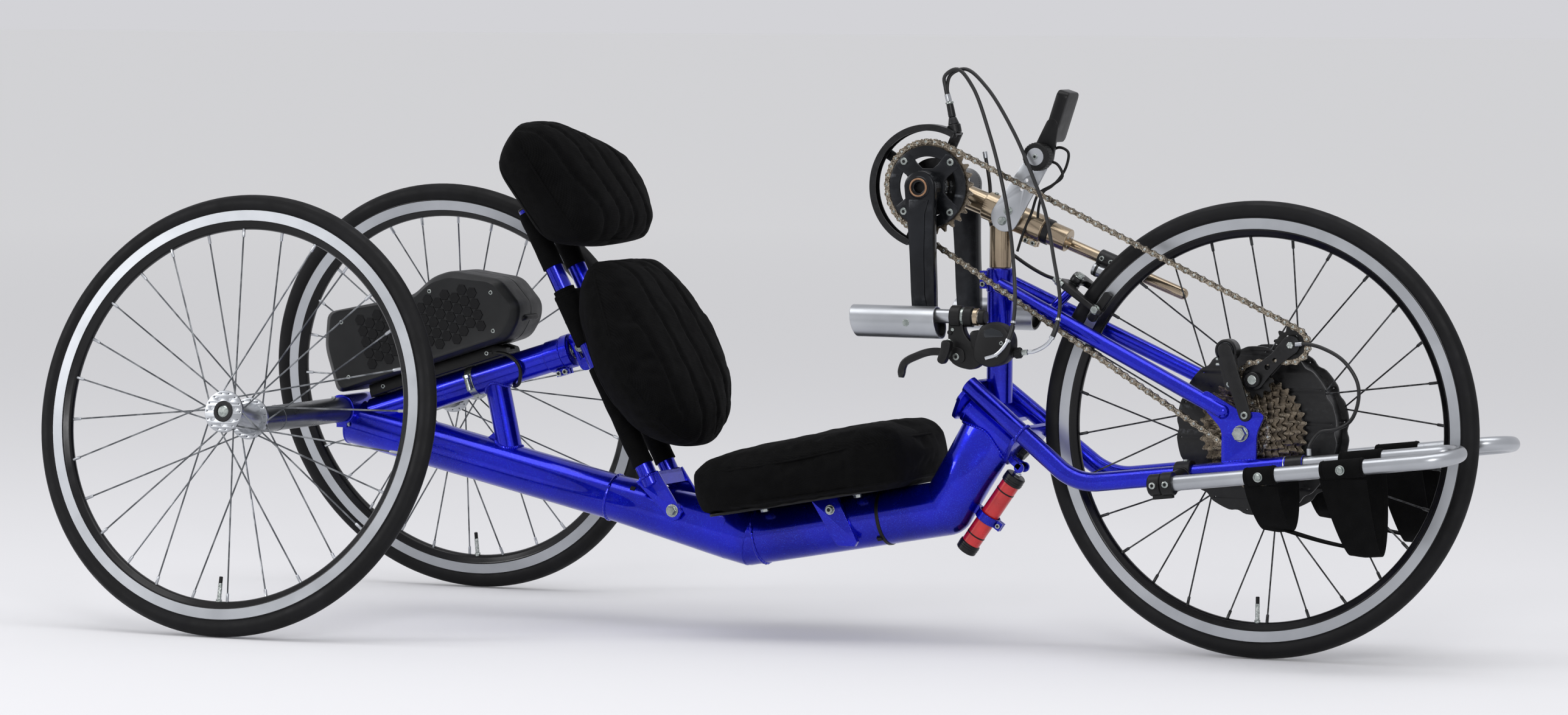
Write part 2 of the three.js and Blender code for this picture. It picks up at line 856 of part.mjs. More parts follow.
// Point on the top line of the seat tube
const seatTop = (x) =>
  bend.z + (x - bend.x) * Math.tan(seatTubeRise) + seatTubeRadius / Math.cos(seatTubeRise);
const rearTubeZ = (x) => between(bend, rearEnd, (bend.x - x) / (bend.x - rearEnd.x)).z;

function seatLug(side) {
  const [rear, front] = [seatLugX - seatLugLength / 2, seatLugX + seatLugLength / 2];
  const bottom = bendZ + (seatLugX - bendX) * Math.tan(seatTubeRise) - seatLugDrop;
  const outline = [
    [rear, seatTop(rear) - fit], [front, seatTop(front) - fit],
    [front + seatLugLean, bottom], [rear + seatLugLean, bottom],
  ];
  const inner = seatTubeRadius - seatLugWall;
  const [low, high] = side > 0 ? [inner, inner + 2 * seatLugWall] : [-inner - 2 * seatLugWall, -inner];
  return sideSlab(outline, low, high);
}

function mainFrame() {
  const rearTube = rodBetween(rearEnd, bend, rearTubeRadius, tubeSides);
  const seatTube = rodBetween(stepAlong(bend, seatTubeDirection, -bendSeatReach), neckFoot, seatTubeRadius,
    tubeSides);
  const gusset = rodBetween(stepAlong(bend, rearTubeDirection, gussetReach),
    shifted(bend, -bendSeatReach / 2, 0, 0), rearTubeRadius, tubeSides, gussetRadius);
  const receiver = crossRod(-wheelbase, receiverZ, -receiverHalfWidth, receiverHalfWidth, receiverRadius,
    tubeSides);
  const neckRing = (centre, length, width) =>
    ovalRing(centre, neckAcross, length, sideways, width, tubeSides);
  const neckBottom = stepAlong(neckFoot, neckDirection, -seatTubeRadius / 2);
  const neck = loft([
    neckRing(neckBottom, seatTubeRadius, seatTubeRadius),
    neckRing(between(neckFoot, headMiddle, 0.45), seatTubeRadius, seatTubeRadius),
    neckRing(headMiddle, neckOvalLength, neckOvalWidth),
  ]);
  const headTube = rodBetween(onPivot(headTubeStart), onPivot(headTubeEnd), headTubeRadius, tubeSides);
  const hingeBoss = crossRod(hingeX, hingeZ, -backYokeHalfWidth + fit, backYokeHalfWidth - fit,
    hingeBossRadius);
  const lugFrame = frameAt(damperLug, damperAcross, sideways);
  const lugOuter = damperRadius + damperLugWall;
  const lugRing = longRod(damperLug, damperDirection, damperLugWidth / 2, damperLugWidth / 2, lugOuter,
    tubeSides);
  const lugWeb = blockIn(lugFrame, point(-seatTubeRadius * 1.3, -damperLugWidth / 2, -damperLugWidth / 2),
    point(0, damperLugWidth / 2, damperLugWidth / 2));
  const solids = join(rearTube, seatTube, gusset, receiver, neck, headTube, hingeBoss, lugRing,
    lugWeb, seatLug(1), seatLug(-1));
  const springBore = longRod(damperLug, damperDirection, damperLugWidth, damperLugWidth,
    damperRadius + damperSwingRoom, tubeSides);
  const trunnionBore = longRod(damperLug, pivotDirection, lugOuter, lugOuter + overrun,
    room(trunnionRadius, pinSides), pinSides);
  const receiverBore = crossRod(-wheelbase, receiverZ, -receiverHalfWidth - overrun,
    receiverHalfWidth + overrun, room(stubRadius), barSides);
  const hingeBore = crossRod(hingeX, hingeZ, -seatTubeRadius * 2, seatTubeRadius * 2,
    room(hingeBoltRadius, pinSides), pinSides);
  return cut(solids, pivotBore, springBore, trunnionBore, receiverBore, hingeBore);
}

add('main_frame', mainFrame(), 'blue');

// Pivot bolt: the head stands behind the upper yoke plate and the nut in front of the lower one

const upperPlateStart = headTubeStart - fit - yokePlate;
const lowerPlateStart = headTubeEnd + fit;
const pivotBolt = join(
  rodBetween(onPivot(upperPlateStart - fit - pivotHeadLength), onPivot(upperPlateStart - fit),
    pivotHeadRadius, 6),
  rodBetween(onPivot(upperPlateStart - pivotHeadLength / 2), onPivot(lowerPlateStart + yokePlate
    + pivotNutLength), pivotBoltRadius, barSides),
  rodBetween(onPivot(lowerPlateStart + yokePlate + fit), onPivot(lowerPlateStart + yokePlate + fit
    + pivotNutLength), pivotNutRadius, 6),
);
add('pivot_bolt', pivotBolt, 'black');

// Spring unit: cylinder with two end caps and the rod that reaches for the lower yoke plate

function steerDamper() {
  const end = damperLength / 2;
  const middle = stepAlong(damperLine, damperDirection, end);
  const barrel = longRod(middle, damperDirection, end, end, damperRadius, tubeSides);
  const top = longRod(damperLine, damperDirection, damperCapLength, 0, damperCapRadius, tubeSides);
  const low = stepAlong(damperLine, damperDirection, damperLength);
  const bottom = longRod(low, damperDirection, 0, damperCapLength, damperCapRadius, tubeSides);
  const rod = longRod(damperLine, damperDirection, damperRodLength, overrun, damperRodRadius, pinSides);
  const trunnion = longRod(damperLug, pivotDirection, damperRadius + damperSwingRoom + damperLugWall / 2,
    damperRadius + damperSwingRoom + damperLugWall, trunnionRadius, pinSides);
  return join(barrel, top, bottom, rod, trunnion);
}

add('steer_damper', steerDamper(), 'red');

// Axle tubes and stub axles: the tube runs level, the stub leans out with the camber

function axleTube(side) {
  const outward = point(0, side * Math.cos(camber), Math.sin(camber));
  const hub = point(-wheelbase, side * rearTrack / 2, rearHubZ);
  const tubeEnd = stepAlong(hub, outward, -hubInner - hubFlangeWidth / 2 - axleTubeGap);
  const levelEnd = point(-wheelbase, tubeEnd.y + side * overrun * 4, receiverZ);
  const tube = rodBetween(point(-wheelbase, side * (receiverHalfWidth + fit), receiverZ), levelEnd,
    axleTubeRadius, tubeSides);
  const trim = longRod(tubeEnd, outward, 0, rearTrack / 4, axleTubeRadius * 4, 4);
  const spigot = crossRod(-wheelbase, receiverZ, ...[side * receiverHalfWidth / 4,
    side * (receiverHalfWidth + overrun)].sort((a, b) => a - b), stubRadius, barSides);
  const stub = rodBetween(stepAlong(tubeEnd, outward, -overrun * 2),
    stepAlong(hub, outward, hubOuter + hubFlangeWidth / 2), stubRadius, barSides);
  return join(cut(tube, trim), spigot, stub);
}

add('axle_tube_r', axleTube(-1), 'grey');
add('axle_tube_l', axleTube(1), 'grey');

// Battery beam with its strut and curved gusset

const batteryDirection = sideDirection(batteryBeamAngle);
const batteryUp = point(-Math.sin(batteryBeamAngle), 0, Math.cos(batteryBeamAngle));
const batteryFront = point(batteryBeamFrontX, 0, batteryBeamFrontZ);
const onBattery = (back, rise = 0, y = 0) =>
  stepAlong(stepAlong(batteryFront, batteryDirection, -back), batteryUp, rise).add(point(0, y, 0));
const batteryZ = (x) => batteryFront.z - (batteryFront.x - x) * Math.tan(batteryBeamAngle);

const rearTubeRoom = () => rodBetween(rearEnd, bend, rearTubeRadius + fit, tubeSides);

function batteryBeam() {
  const beam = rodBetween(onBattery(batteryBeamLength), batteryFront, batteryBeamRadius, tubeSides);
  const foot = point(strutFootX, 0, rearTubeZ(strutFootX));
  const strut = rodBetween(foot, point(strutHeadX, 0, batteryZ(strutHeadX)), strutRadius, tubeSides);
  const steps = 6;
  const seat = [strutFootX - strutRadius / 2, rearTubeZ(strutFootX) + rearTubeRadius];
  const arc = Array.from({ length: steps + 1 }, (_, i) => {
    const angle = Math.PI / 2 * i / steps;
    return [
      seat[0] - strutGussetReach * (1 - Math.sin(angle)),
      seat[1] + strutGussetHeight * (1 - Math.cos(angle)),
    ];
  });
  const gusset = sideSlab([[seat[0], seat[1] - strutRadius],
    [seat[0] - strutGussetReach, seat[1] - strutRadius], ...arc],
    -strutGussetWall / 2, strutGussetWall / 2);
  const receiver = crossRod(-wheelbase, receiverZ, -receiverHalfWidth * 2, receiverHalfWidth * 2,
    receiverRadius + fit, tubeSides);
  const collar = rodBetween(onBattery(overrun), onBattery(-adjusterCollarLength), adjusterCollarRadius,
    tubeSides);
  const bore = rodBetween(onBattery(batteryBoreDepth), onBattery(-adjusterCollarLength * 2),
    room(adjusterRadius), barSides);
  return cut(join(beam, strut, gusset, collar), rearTubeRoom(), receiver, bore);
}

add('battery_beam', batteryBeam(), 'blue');

// The dock rail lies on the beam in a shallow saddle and has a groove that the case's key slides in

const batteryFrame = frameAt(batteryFront, batteryDirection, sideways);
const dockBase = batteryBeamRadius - dockHeight / 4;
const dockTop = batteryBeamRadius + dockHeight;

function batteryDock() {
  const rail = blockIn(batteryFrame, point(-dockBack - dockLength, -dockWidth / 2, dockBase),
    point(-dockBack, dockWidth / 2, dockTop));
  const saddle = rodBetween(onBattery(batteryBeamLength + overrun), onBattery(-overrun),
    batteryBeamRadius + fit, tubeSides);
  const groove = blockIn(batteryFrame,
    point(-dockBack - dockLength - overrun, -dockGrooveWidth / 2, dockTop - dockGrooveDepth),
    point(-dockBack + overrun, dockGrooveWidth / 2, dockTop + overrun));
  const receiver = crossRod(-wheelbase, receiverZ, -receiverHalfWidth * 2, receiverHalfWidth * 2,
    receiverRadius + fit, tubeSides);
  return cut(rail, saddle, groove, receiver, rearTubeRoom());
}

add('battery_dock', batteryDock(), 'black');

// Battery case: a side outline drawn in for its chamfered flanks

const caseOutlineShares = [
  [0, 0], [0.9, 0], [0.975, 0.18], [1, 0.36], [0.94, 0.72], [0.72, 1], [0.62, 1], [0.5, 0.86],
  [0.06, 0.84], [0, 0.5],
];

function batteryCase() {
  const bottom = dockTop + fit;
  const front = -(dockBack - dockLength / 12) + caseNoseHeight;
  const outline = (inset) => caseOutlineShares.map(([along, rise]) => {
    const x = front - caseLength * (1 - along);
    const height = along < 0.5 ? caseRearHeight : caseHumpHeight;
    const pull = (share, low, high) => low + inset + share * (high - low - 2 * inset);
    return [pull(along, front - caseLength, x + (front - x)), pull(rise, bottom, bottom + height)];
  });
  const half = caseWidth / 2;
  const ring = (inset, y) => outline(inset).map(([x, z]) => stepAlong(
    stepAlong(batteryFront, batteryDirection, x), batteryUp, z).add(point(0, y, 0)));
  const shell = loft([
    ring(caseEdge, -half), ring(0, -half + caseEdge), ring(0, half - caseEdge), ring(caseEdge, half),
  ]);
  const key = blockIn(batteryFrame,
    point(-dockBack - dockLength * 0.8, -dockGrooveWidth / 2 + fit, dockTop - dockGrooveDepth + fit),
    point(-dockBack - dockLength * 0.1, dockGrooveWidth / 2 - fit, dockTop + caseEdge));
  return join(shell, key);
}

add('battery_case', batteryCase(), 'housing');

// Backrest: a yoke over the beam, two tubes, cross pieces and the clevis that meets the adjuster

const hinge = point(hingeX, 0, hingeZ);
const backUp = point(-Math.cos(backAngle), 0, Math.sin(backAngle));
const backForward = point(Math.sin(backAngle), 0, Math.cos(backAngle));
const onBack = (rise, forward = 0, y = 0) =>
  stepAlong(stepAlong(hinge, backUp, rise), backForward, forward - backTubeSetback).add(point(0, y, 0));
const backFrame = frameAt(onBack(0), backForward, backUp);

const hingeBolt = join(
  crossRod(hingeX, hingeZ, -backYokeHalfWidth - backYokeWall - hingeBoltHeadLength,
    backYokeHalfWidth + backYokeWall + hingeBoltHeadLength, hingeBoltRadius, pinSides),
  crossRod(hingeX, hingeZ, -backYokeHalfWidth - backYokeWall - fit - hingeBoltHeadLength,
    -backYokeHalfWidth - backYokeWall - fit, hingeBoltHead, 6),
  crossRod(hingeX, hingeZ, backYokeHalfWidth + backYokeWall + fit,
    backYokeHalfWidth + backYokeWall + fit + hingeBoltHeadLength, hingeBoltHead, 6),
);
add('hinge_bolt', hingeBolt, 'silver');

// Where the backrest takes the adjuster's pin: the clevis stands behind the tubes on the pin's level
const adjusterPin = stepAlong(batteryFront, batteryDirection, adjusterCollarLength + adjusterEyeReach);
const pinRise = adjusterPin.clone().sub(onBack(0)).dot(backUp);
const pinForward = adjusterPin.clone().sub(onBack(0)).dot(backForward);

function backrestFrame() {
  const tubes = [-1, 1].map((side) => {
    const y = side * backTubeSpacing / 2;
    return rodBetween(onBack(backTubeStart, 0, y), onBack(backTubeLength, 0, y), backTubeRadius, tubeSides);
  });
  const crosses = backCrossShares.map((share) => {
    const rise = backTubeStart + share * (backTubeLength - backTubeStart);
    return rodBetween(onBack(rise, 0, -backTubeSpacing / 2), onBack(rise, 0, backTubeSpacing / 2),
      backCrossRadius, pinSides);
  });
  const top = onBack(backYokeHeight, backYokeDepth / 2);
  const back = onBack(backYokeHeight, -backYokeDepth / 2);
  const ear = [
    [hinge.x + hingeBossRadius, hinge.z], [top.x, top.z], [back.x, back.z],
    [hinge.x - hingeBossRadius, hinge.z], [hinge.x - hingeBossRadius / 2, hinge.z - hingeBossRadius],
    [hinge.x + hingeBossRadius / 2, hinge.z - hingeBossRadius],
  ];
  const outer = backYokeHalfWidth + backYokeWall;
  const ears = [sideSlab(ear, -outer, -backYokeHalfWidth), sideSlab(ear, backYokeHalfWidth, outer)];
  const lid = blockIn(backFrame, point(-backYokeDepth / 2, backYokeHeight - backYokeWall, -outer),
    point(backYokeDepth / 2, backYokeHeight, outer));
  const web = blockIn(backFrame, point(backYokeDepth / 2 - backYokeWall, backYokeWebStart, -outer),
    point(backYokeDepth / 2, backYokeHeight, outer));
  const clevisLow = pinRise - clevisHeight * 0.6;
  const clevisHigh = pinRise + clevisHeight * 0.4;
  const inside = adjusterEyeWidth / 2 + fit;
  const cheek = (low, high) => blockIn(backFrame,
    point(pinForward - clevisPinRadius * 2.2, clevisLow, low), point(0, clevisHigh, high));
  const cheeks = [cheek(-inside - clevisWall, -inside), cheek(inside, inside + clevisWall)];
  const bridge = blockIn(backFrame, point(-clevisWall, clevisLow, -backTubeSpacing / 2),
    point(clevisWall, clevisHigh, backTubeSpacing / 2));
  const slot = blockIn(backFrame,
    point(pinForward - clevisPinRadius - clevisSlotPlay, pinRise - clevisSlotDown, -backTubeSpacing),
    point(pinForward + clevisPinRadius + clevisSlotPlay, pinRise + clevisSlotUp, backTubeSpacing));
  const bore = crossRod(hingeX, hingeZ, -backTubeSpacing, backTubeSpacing,
    room(hingeBoltRadius, pinSides), pinSides);
  return cut(join(...tubes, ...crosses, ...ears, lid, web, bridge, ...cheeks), slot, bore);
}

add('back_frame', backrestFrame(), 'blue');

// Adjuster: rod in the battery beam, collar, eye and cross pin

function adjusterRod() {
  const plunger = rodBetween(onBattery(adjusterInside), onBattery(-adjusterCollarLength - fit * 2),
    adjusterRadius, barSides);
  const neck = rodBetween(onBattery(0), adjusterPin, adjusterEyeWidth / 2, barSides);
  const eye = crossRod(adjusterPin.x, adjusterPin.z, -adjusterEyeWidth / 2, adjusterEyeWidth / 2,
    adjusterEyeRadius, barSides);
  const pin = crossRod(adjusterPin.x, adjusterPin.z, -adjusterEyeWidth - clevisWall,
    adjusterEyeWidth + clevisWall, clevisPinRadius, pinSides);
  return join(plunger, neck, eye, pin);
}

add('adjuster_rod', adjusterRod(), 'silver');

// Cushions: a skin of rows between a flat back and a crowned face, sides drawn in, channels sewn in

function paddedBody(place, rows, halfWidth, height, edge, crown, channels, backShare) {
  const columns = padColumns;
  const front = [];
  const back = [];
  for (const [rise, left, right] of rows) {
    const lift = Math.sin(Math.PI * Math.min(Math.max(rise, 0.06), 0.94));
    const frontRow = [];
    const backRow = [];
    for (let i = 0; i <= columns; i += 1) {
      const across = i / columns;
      const y = halfWidth * (left + (right - left) * across);
      const dome = Math.sin(Math.PI * across) ** 0.6 * lift ** 0.5;
      const groove = channels.some((share) => Math.abs(across - share) < 0.5 / columns) ? channelDepth : 0;
      frontRow.push(place(rise * height, edge + crown * dome - groove * lift, y));
      if (i % 2 === 0) {
        backRow.push(place(rise * height, edge * padBackRiseShare * (1 - dome), y * backShare));
      }
    }
    front.push(frontRow);
    back.push(backRow);
  }
  const rings = front.map((row, i) => {
    const first = row[0];
    const last = row[columns];
    const [low, high] = [back[i][0], back[i][columns / 2]];
    const bulge = edge * padBulgeShare;
    const out = (p, q, sign) => between(p, q, 0.5).add(point(0, sign * bulge, 0));
    return [...row, out(last, high, 1), ...back[i].slice().reverse(), out(low, first, -1)];
  });
  return loft(rings);
}

const padPlace = (bottom) => (rise, forward, y) =>
  onBack(bottom + rise, backTubeRadius * Math.cos(Math.PI / tubeSides) + fit + forward, y);

const channelShares = [2, 4, 6, 8, 10].map((column) => column / padColumns);
add('back_cushion', paddedBody(padPlace(backPadBottom + backTubeStart), backPadShares, backPadHalfWidth,
  backPadHeight, backPadEdge, backPadCrown, channelShares, padBackShare), 'cloth');
add('shoulder_cushion', paddedBody(padPlace(shoulderPadBottom + backTubeStart), shoulderPadShares,
  shoulderPadHalfWidth, shoulderPadHeight, shoulderPadEdge, shoulderPadCrown, channelShares,
  padBackShare), 'cloth');

// Seat: a panel on the seat tube and the cushion on it, narrower in front

const seatUp = point(-Math.sin(seatTubeRise), 0, Math.cos(seatTubeRise));
const seatRearX = bendX - seatBehindBend;
const seatRear = point(seatRearX, 0, seatTop(seatRearX));
const onSeat = (forward, rise, y) =>
  stepAlong(stepAlong(seatRear, seatTubeDirection, forward), seatUp, rise).add(point(0, y, 0));
const seatPanBase = fit;
const seatPadBase = fit * 2 + seatPanThickness;

function seatPan() {
  const slice = (rise) => [
    onSeat(seatPanInset, rise, -seatRearHalfWidth + seatPanInset),
    onSeat(seatLength - seatPanInset * 2, rise, -seatFrontHalfWidth + seatPanInset),
    onSeat(seatLength - seatPanInset * 2, rise, seatFrontHalfWidth - seatPanInset),
    onSeat(seatPanInset, rise, seatRearHalfWidth - seatPanInset),
  ];
  return loft([slice(seatPanBase), slice(seatPanBase + seatPanThickness)]);
}

add('seat_pan', seatPan(), 'black');

const seatPlace = (forward, rise, y) => {
  const lift = 1 + seatFrontLift / seatEdge * (forward / seatLength) ** 2;
  return onSeat(forward, seatPadBase + rise * lift, y);
};
add('seat_cushion', paddedBody(seatPlace, seatPadShares,
  seatRearHalfWidth, seatLength, seatEdge, seatCrown, [0.5], 1), 'cloth');

// Fork frame: two yoke plates, saddle, mast and the two lower stays

const lowerStayTurn = onPivot(lowerStayBend, lowerStayRise);
const stayForward = sideDirection(lowerStayFrontAngle);
const stayFront = stepAlong(lowerStayTurn, stayForward,
  (lowerStayFrontX - lowerStayTurn.x) / Math.cos(lowerStayFrontAngle));
const lowerStayLine = (side) => {
  const start = onPivot(upperPlateStart, lowerStayRise, side * lowerStaySpread);
  const turn = shifted(lowerStayTurn, 0, side * lowerStayTurnSpread, 0);
  const end = shifted(stayFront, 0, side * lowerStayFrontSpread, 0);
  return [start, turn, end];
};

function yokePlateBody(start) {
  const plateFrame = frameAt(onPivot(start), sideways, pivotNormal);
  const top = lowerStayRise + lowerStayRadius / 2;
  const bottom = -headTubeRadius;
  const half = yokePlateWidth / 2;
  const waist = headTubeRadius + yokeCornerRadius;
  const corners = [
    [-half, top - yokeCornerRadius * 2], [-half + yokeCornerRadius, top],
    [half - yokeCornerRadius, top], [half, top - yokeCornerRadius * 2],
    [waist, bottom + yokeCornerRadius], [headTubeRadius, bottom],
    [-headTubeRadius, bottom], [-waist, bottom + yokeCornerRadius],
  ];
  return slabIn(plateFrame, corners.map(([x, y]) => new THREE.Vector2(x, y)), 0, yokePlate);
}

function forkFrame() {
  const plates = [yokePlateBody(upperPlateStart), yokePlateBody(lowerPlateStart)];
  const saddleFrame = frameAt(onPivot(headTubeStart, headTubeRadius + fit * 2), pivotDirection, sideways);
  const saddle = blockIn(saddleFrame, point(-yokePlate, -lowerStaySpread, -saddleThickness),
    point(saddleLength, lowerStaySpread, 0));
  const pinFrame = frameAt(onPivot(lowerPlateStart), pivotDirection, sideways);
  const ears = [-1, 1].map((side) => {
    const [low, high] = [side * damperEarGap, side * (damperEarGap + damperEarWall)].sort((a, b) => a - b);
    return blockIn(pinFrame, point(0, low, -damperPinDrop - damperEarReach),
      point(damperPinAlong - lowerPlateStart + damperEarReach / 2, high, -damperPinDrop + overrun));
  });
  const mastBottom = onPivot((mastX - pivotX) / Math.cos(pivotAngle)
    - (headTubeRadius + mastFoot) * Math.tan(pivotAngle), headTubeRadius + mastFoot);
  const mast = rodBetween(point(mastX, 0, mastBottom.z), point(mastX, 0, mastTopZ), mastRadius, tubeSides);
  const stays = [-1, 1].map((side) =>
    tubeOn(roundedStations(lowerStayLine(side), lowerStayBendRadius), lowerStayRadius));
  const bores = [-1, 1].map((side) => {
    const [, turn, end] = lowerStayLine(side);
    const back = turn.clone().sub(end).normalize();
    return longRod(end, back, overrun, lowerStayBoreDepth, room(footTubeRadius), barSides);
  });
  const headRoom = rodBetween(onPivot(headTubeStart - fit), onPivot(headTubeEnd + fit),
    room(headTubeRadius, tubeSides), tubeSides);
  const postRoom = rodBetween(point(mastX, 0, mastTopZ - postInside), point(mastX, 0, mastTopZ + overrun),
    postNeckRadius + fit, tubeSides);
  return cut(join(...plates, saddle, mast, ...stays, ...ears), pivotBore, headRoom, postRoom, ...bores);
}

add('fork_frame', forkFrame(), 'blue');

// Upper fork: two stays from the mast to the dropout plates, and the brake bridge between them

const dropoutOutside = dropoutInside + dropoutThickness;
const dropoutMiddle = dropoutInside + dropoutThickness / 2;
const upperStayLow = (side) => point(-dropoutHalfLength, side * dropoutMiddle, wheelRadius + dropoutRise);
const upperStayHigh = (side) =>
  point(mastX + mastRadius / 2, side * (upperStayTopSpread + upperStayRadius / 2), upperStayTopZ);
function stayRoomAt(side) {
  const [, turn, end] = lowerStayLine(side);
  return rodBetween(turn, end, room(lowerStayRadius), barSides);
}

const stayHeightAt = (x) => stayFront.z - (stayFront.x - x) * Math.tan(lowerStayFrontAngle);

function dropout(side) {
  const half = dropoutHalfLength;
  const foot = stayHeightAt(0) - lowerStayRadius / 2;
  const outline = [
    [-half, foot], [half - overrun, foot], [half - overrun, wheelRadius],
    [half + overrun, wheelRadius + dropoutRise - overrun], [half, wheelRadius + dropoutRise],
    [0, wheelRadius + dropoutRise], [-half * 2, wheelRadius + dropoutRise * 2],
    [-half * 2 - overrun, wheelRadius + dropoutRise + upperStayRadius], [-half, wheelRadius + overrun],
  ];
  const [low, high] = side > 0 ? [dropoutInside, dropoutOutside] : [-dropoutOutside, -dropoutInside];
  return sideSlab(outline, low, high);
}

const brakeDirection = sideDirection(brakeAngle);
const brakeTangent = point(Math.sin(brakeAngle), 0, -Math.cos(brakeAngle));
const brakeCentre = point(0, 0, wheelRadius);
const onBrake = (radius, along = 0, y = 0) =>
  stepAlong(stepAlong(brakeCentre, brakeDirection, radius), brakeTangent, along).add(point(0, y, 0));
const brakePivotReach = wheelRadius + brakePivotClear;

function upperFork() {
  const stays = [-1, 1].map((side) =>
    rodBetween(upperStayHigh(side), upperStayLow(side), upperStayRadius, barSides));
  const bridgeEnds = [-1, 1].map((side) => between(upperStayHigh(side), upperStayLow(side), bridgeShare));
  const bridge = rodBetween(bridgeEnds[0], bridgeEnds[1], bridgeRadius, barSides);
  const bridgeMiddle = between(bridgeEnds[0], bridgeEnds[1], 0.5);
  const stand = rodBetween(bridgeMiddle, onBrake(brakePivotReach, -brakeArmThickness - bridgeRadius),
    bridgeRadius, barSides);
  const post = rodBetween(onBrake(brakePivotReach, -brakeArmThickness - bridgeRadius),
    onBrake(brakePivotReach, brakeArmThickness + fit * 2 + overrun), brakePivotRadius, pinSides);
  const mastRoom = rodBetween(point(mastX, 0, 0), point(mastX, 0, mastTopZ * 2), mastRadius + fit,
    tubeSides);
  const axleHole = crossRod(0, wheelRadius, -dropoutOutside * 2, dropoutOutside * 2,
    room(axleRadius), barSides);
  const stayRoom = [-1, 1].map(stayRoomAt);
  const whole = join(...stays, bridge, stand, post, dropout(1), dropout(-1));
  return cut(whole, mastRoom, axleHole, ...stayRoom);
}

add('upper_fork', upperFork(), 'blue');

// Front axle with a nut outside each dropout and a lock nut inside

function frontAxle() {
  const shaft = crossRod(0, wheelRadius, -dropoutOutside - axleNutLength - axleOverhang,
    dropoutOutside + axleNutLength + axleOverhang, axleRadius, barSides);
  const nuts = [-1, 1].flatMap((side) => {
    const outer = [side * (dropoutOutside + fit), side * (dropoutOutside + fit + axleNutLength)];
    const inner = [side * (dropoutInside - fit - axleOverhang), side * (dropoutInside - fit)];
    return [outer, inner].map((span) => {
      const [low, high] = span.sort((a, b) => a - b);
      return crossRod(0, wheelRadius, low, high, axleNutRadius, 6);
    });
  });
  return join(shaft, ...nuts);
}

add('front_axle', frontAxle(), 'silver');

// Mast post, T sleeve and boom

const crankCentre = point(crankX, 0, crankZ);
const pedalX = crankX + crankForward;
const pedalZ = crankZ - Math.sqrt(crankLength ** 2 - crankForward ** 2);
const boomDirection = point(Math.cos(boomAngle), 0, -Math.sin(boomAngle));
const boomNormal = point(Math.sin(boomAngle), 0, Math.cos(boomAngle));
const onBoom = (along, rise = 0, y = 0) =>
  stepAlong(stepAlong(crankCentre, boomDirection, along), boomNormal, rise).add(point(0, y, 0));
const boomAtMast = (mastX - crankX) / Math.cos(boomAngle);
const sleeveStart = boomAtMast - boomSleeveLength / 2;
const collarEnd = sleeveStart + boomSleeveLength + boomCollarLength;

function boomPost() {
  const centre = onBoom(boomAtMast);
  const post = rodBetween(point(mastX, 0, mastTopZ + fit), point(mastX, 0, postSleeveTopZ), postRadius,
    tubeSides);
  const inner = rodBetween(point(mastX, 0, mastTopZ - postInside + fit), point(mastX, 0, centre.z),
    postNeckRadius, tubeSides);
  const sleeve = rodBetween(onBoom(sleeveStart), onBoom(sleeveStart + boomSleeveLength), boomSleeveRadius,
    tubeSides);
  const collar = rodBetween(onBoom(sleeveStart + boomSleeveLength - fit), onBoom(collarEnd), boomCollarRadius,
    tubeSides);
  const lugFrame = frameAt(onBoom(collarEnd - collarLugLength), boomDirection, sideways);
  const lug = blockIn(lugFrame,
    point(-overrun, -collarLugWidth / 2, -boomCollarRadius - collarLugWidth / 2),
    point(collarLugLength - overrun, collarLugWidth / 2, 0));
  const bore = rodBetween(onBoom(sleeveStart - overrun), onBoom(collarEnd + overrun),
    boomRadius + fit, tubeSides);
  return cut(join(post, inner, sleeve, collar, lug), bore);
}

add('boom_post', boomPost(), 'nickel');

function boomBody() {
  const tube = rodBetween(onBoom(0), onBoom(boomLength), boomRadius, tubeSides);
  const cap = rodBetween(onBoom(collarEnd + fit * 2), onBoom(collarEnd + fit * 2 + boomCapLength),
    boomCapRadius, tubeSides);
  const shell = crossRod(crankX, crankZ, -shellHalfWidth, shellHalfWidth, shellRadius, tubeSides);
  const cups = [[-shellHalfWidth - cupWidth, -shellHalfWidth + fit],
    [shellHalfWidth - fit, shellHalfWidth + cupWidth]]
    .map(([low, high]) => crossRod(crankX, crankZ, low, high, cupRadius, tubeSides));
  const bore = crossRod(crankX, crankZ, -crankFace, crankFace, room(spindleRadius, tubeSides), tubeSides);
  return cut(join(tube, cap, shell, ...cups), bore);
}

add('boom', boomBody(), 'nickel');

// Support rod beside the boom's line, with a clamp that carries the cable adjuster

function supportRod() {
  const at = (along, rise = 0, y = 0) => onBoom(rodStart + along, -rodDrop + rise, rodOffset + y);
  const rod = rodBetween(at(0), at(rodLength), rodRadius, barSides);
  const clamp = rodBetween(at(rodClampStart), at(rodClampStart + rodClampLength), rodClampRadius,
    barSides);
  const drop = rodClampRadius + rodCylinderRadius / 2;
  const cylinder = rodBetween(at(rodClampStart, -drop, -rodCylinderRadius),
    at(rodClampStart + rodCylinderLength, -drop, -rodCylinderRadius), rodCylinderRadius, barSides);
  const ear = rodBetween(at(rodRadius, 0, 0), at(rodRadius, rodDrop, -rodOffset + boomRadius / 2), rodRadius,
    barSides);
  return cut(join(rod, clamp, cylinder, ear), rodBetween(onBoom(0), onBoom(collarEnd * 2), boomRadius + fit,
    tubeSides));
}

add('support_rod', supportRod(), 'nickel');

// Console plate on the near side of the T, with the round knob at its end

const plateRoot = onBoom(boomAtMast + boomSleeveLength * plateShare, 0, -plateSide);
const plateDirection = sideDirection(plateAngle);
const knobCentre = stepAlong(plateRoot, plateDirection, plateReach);

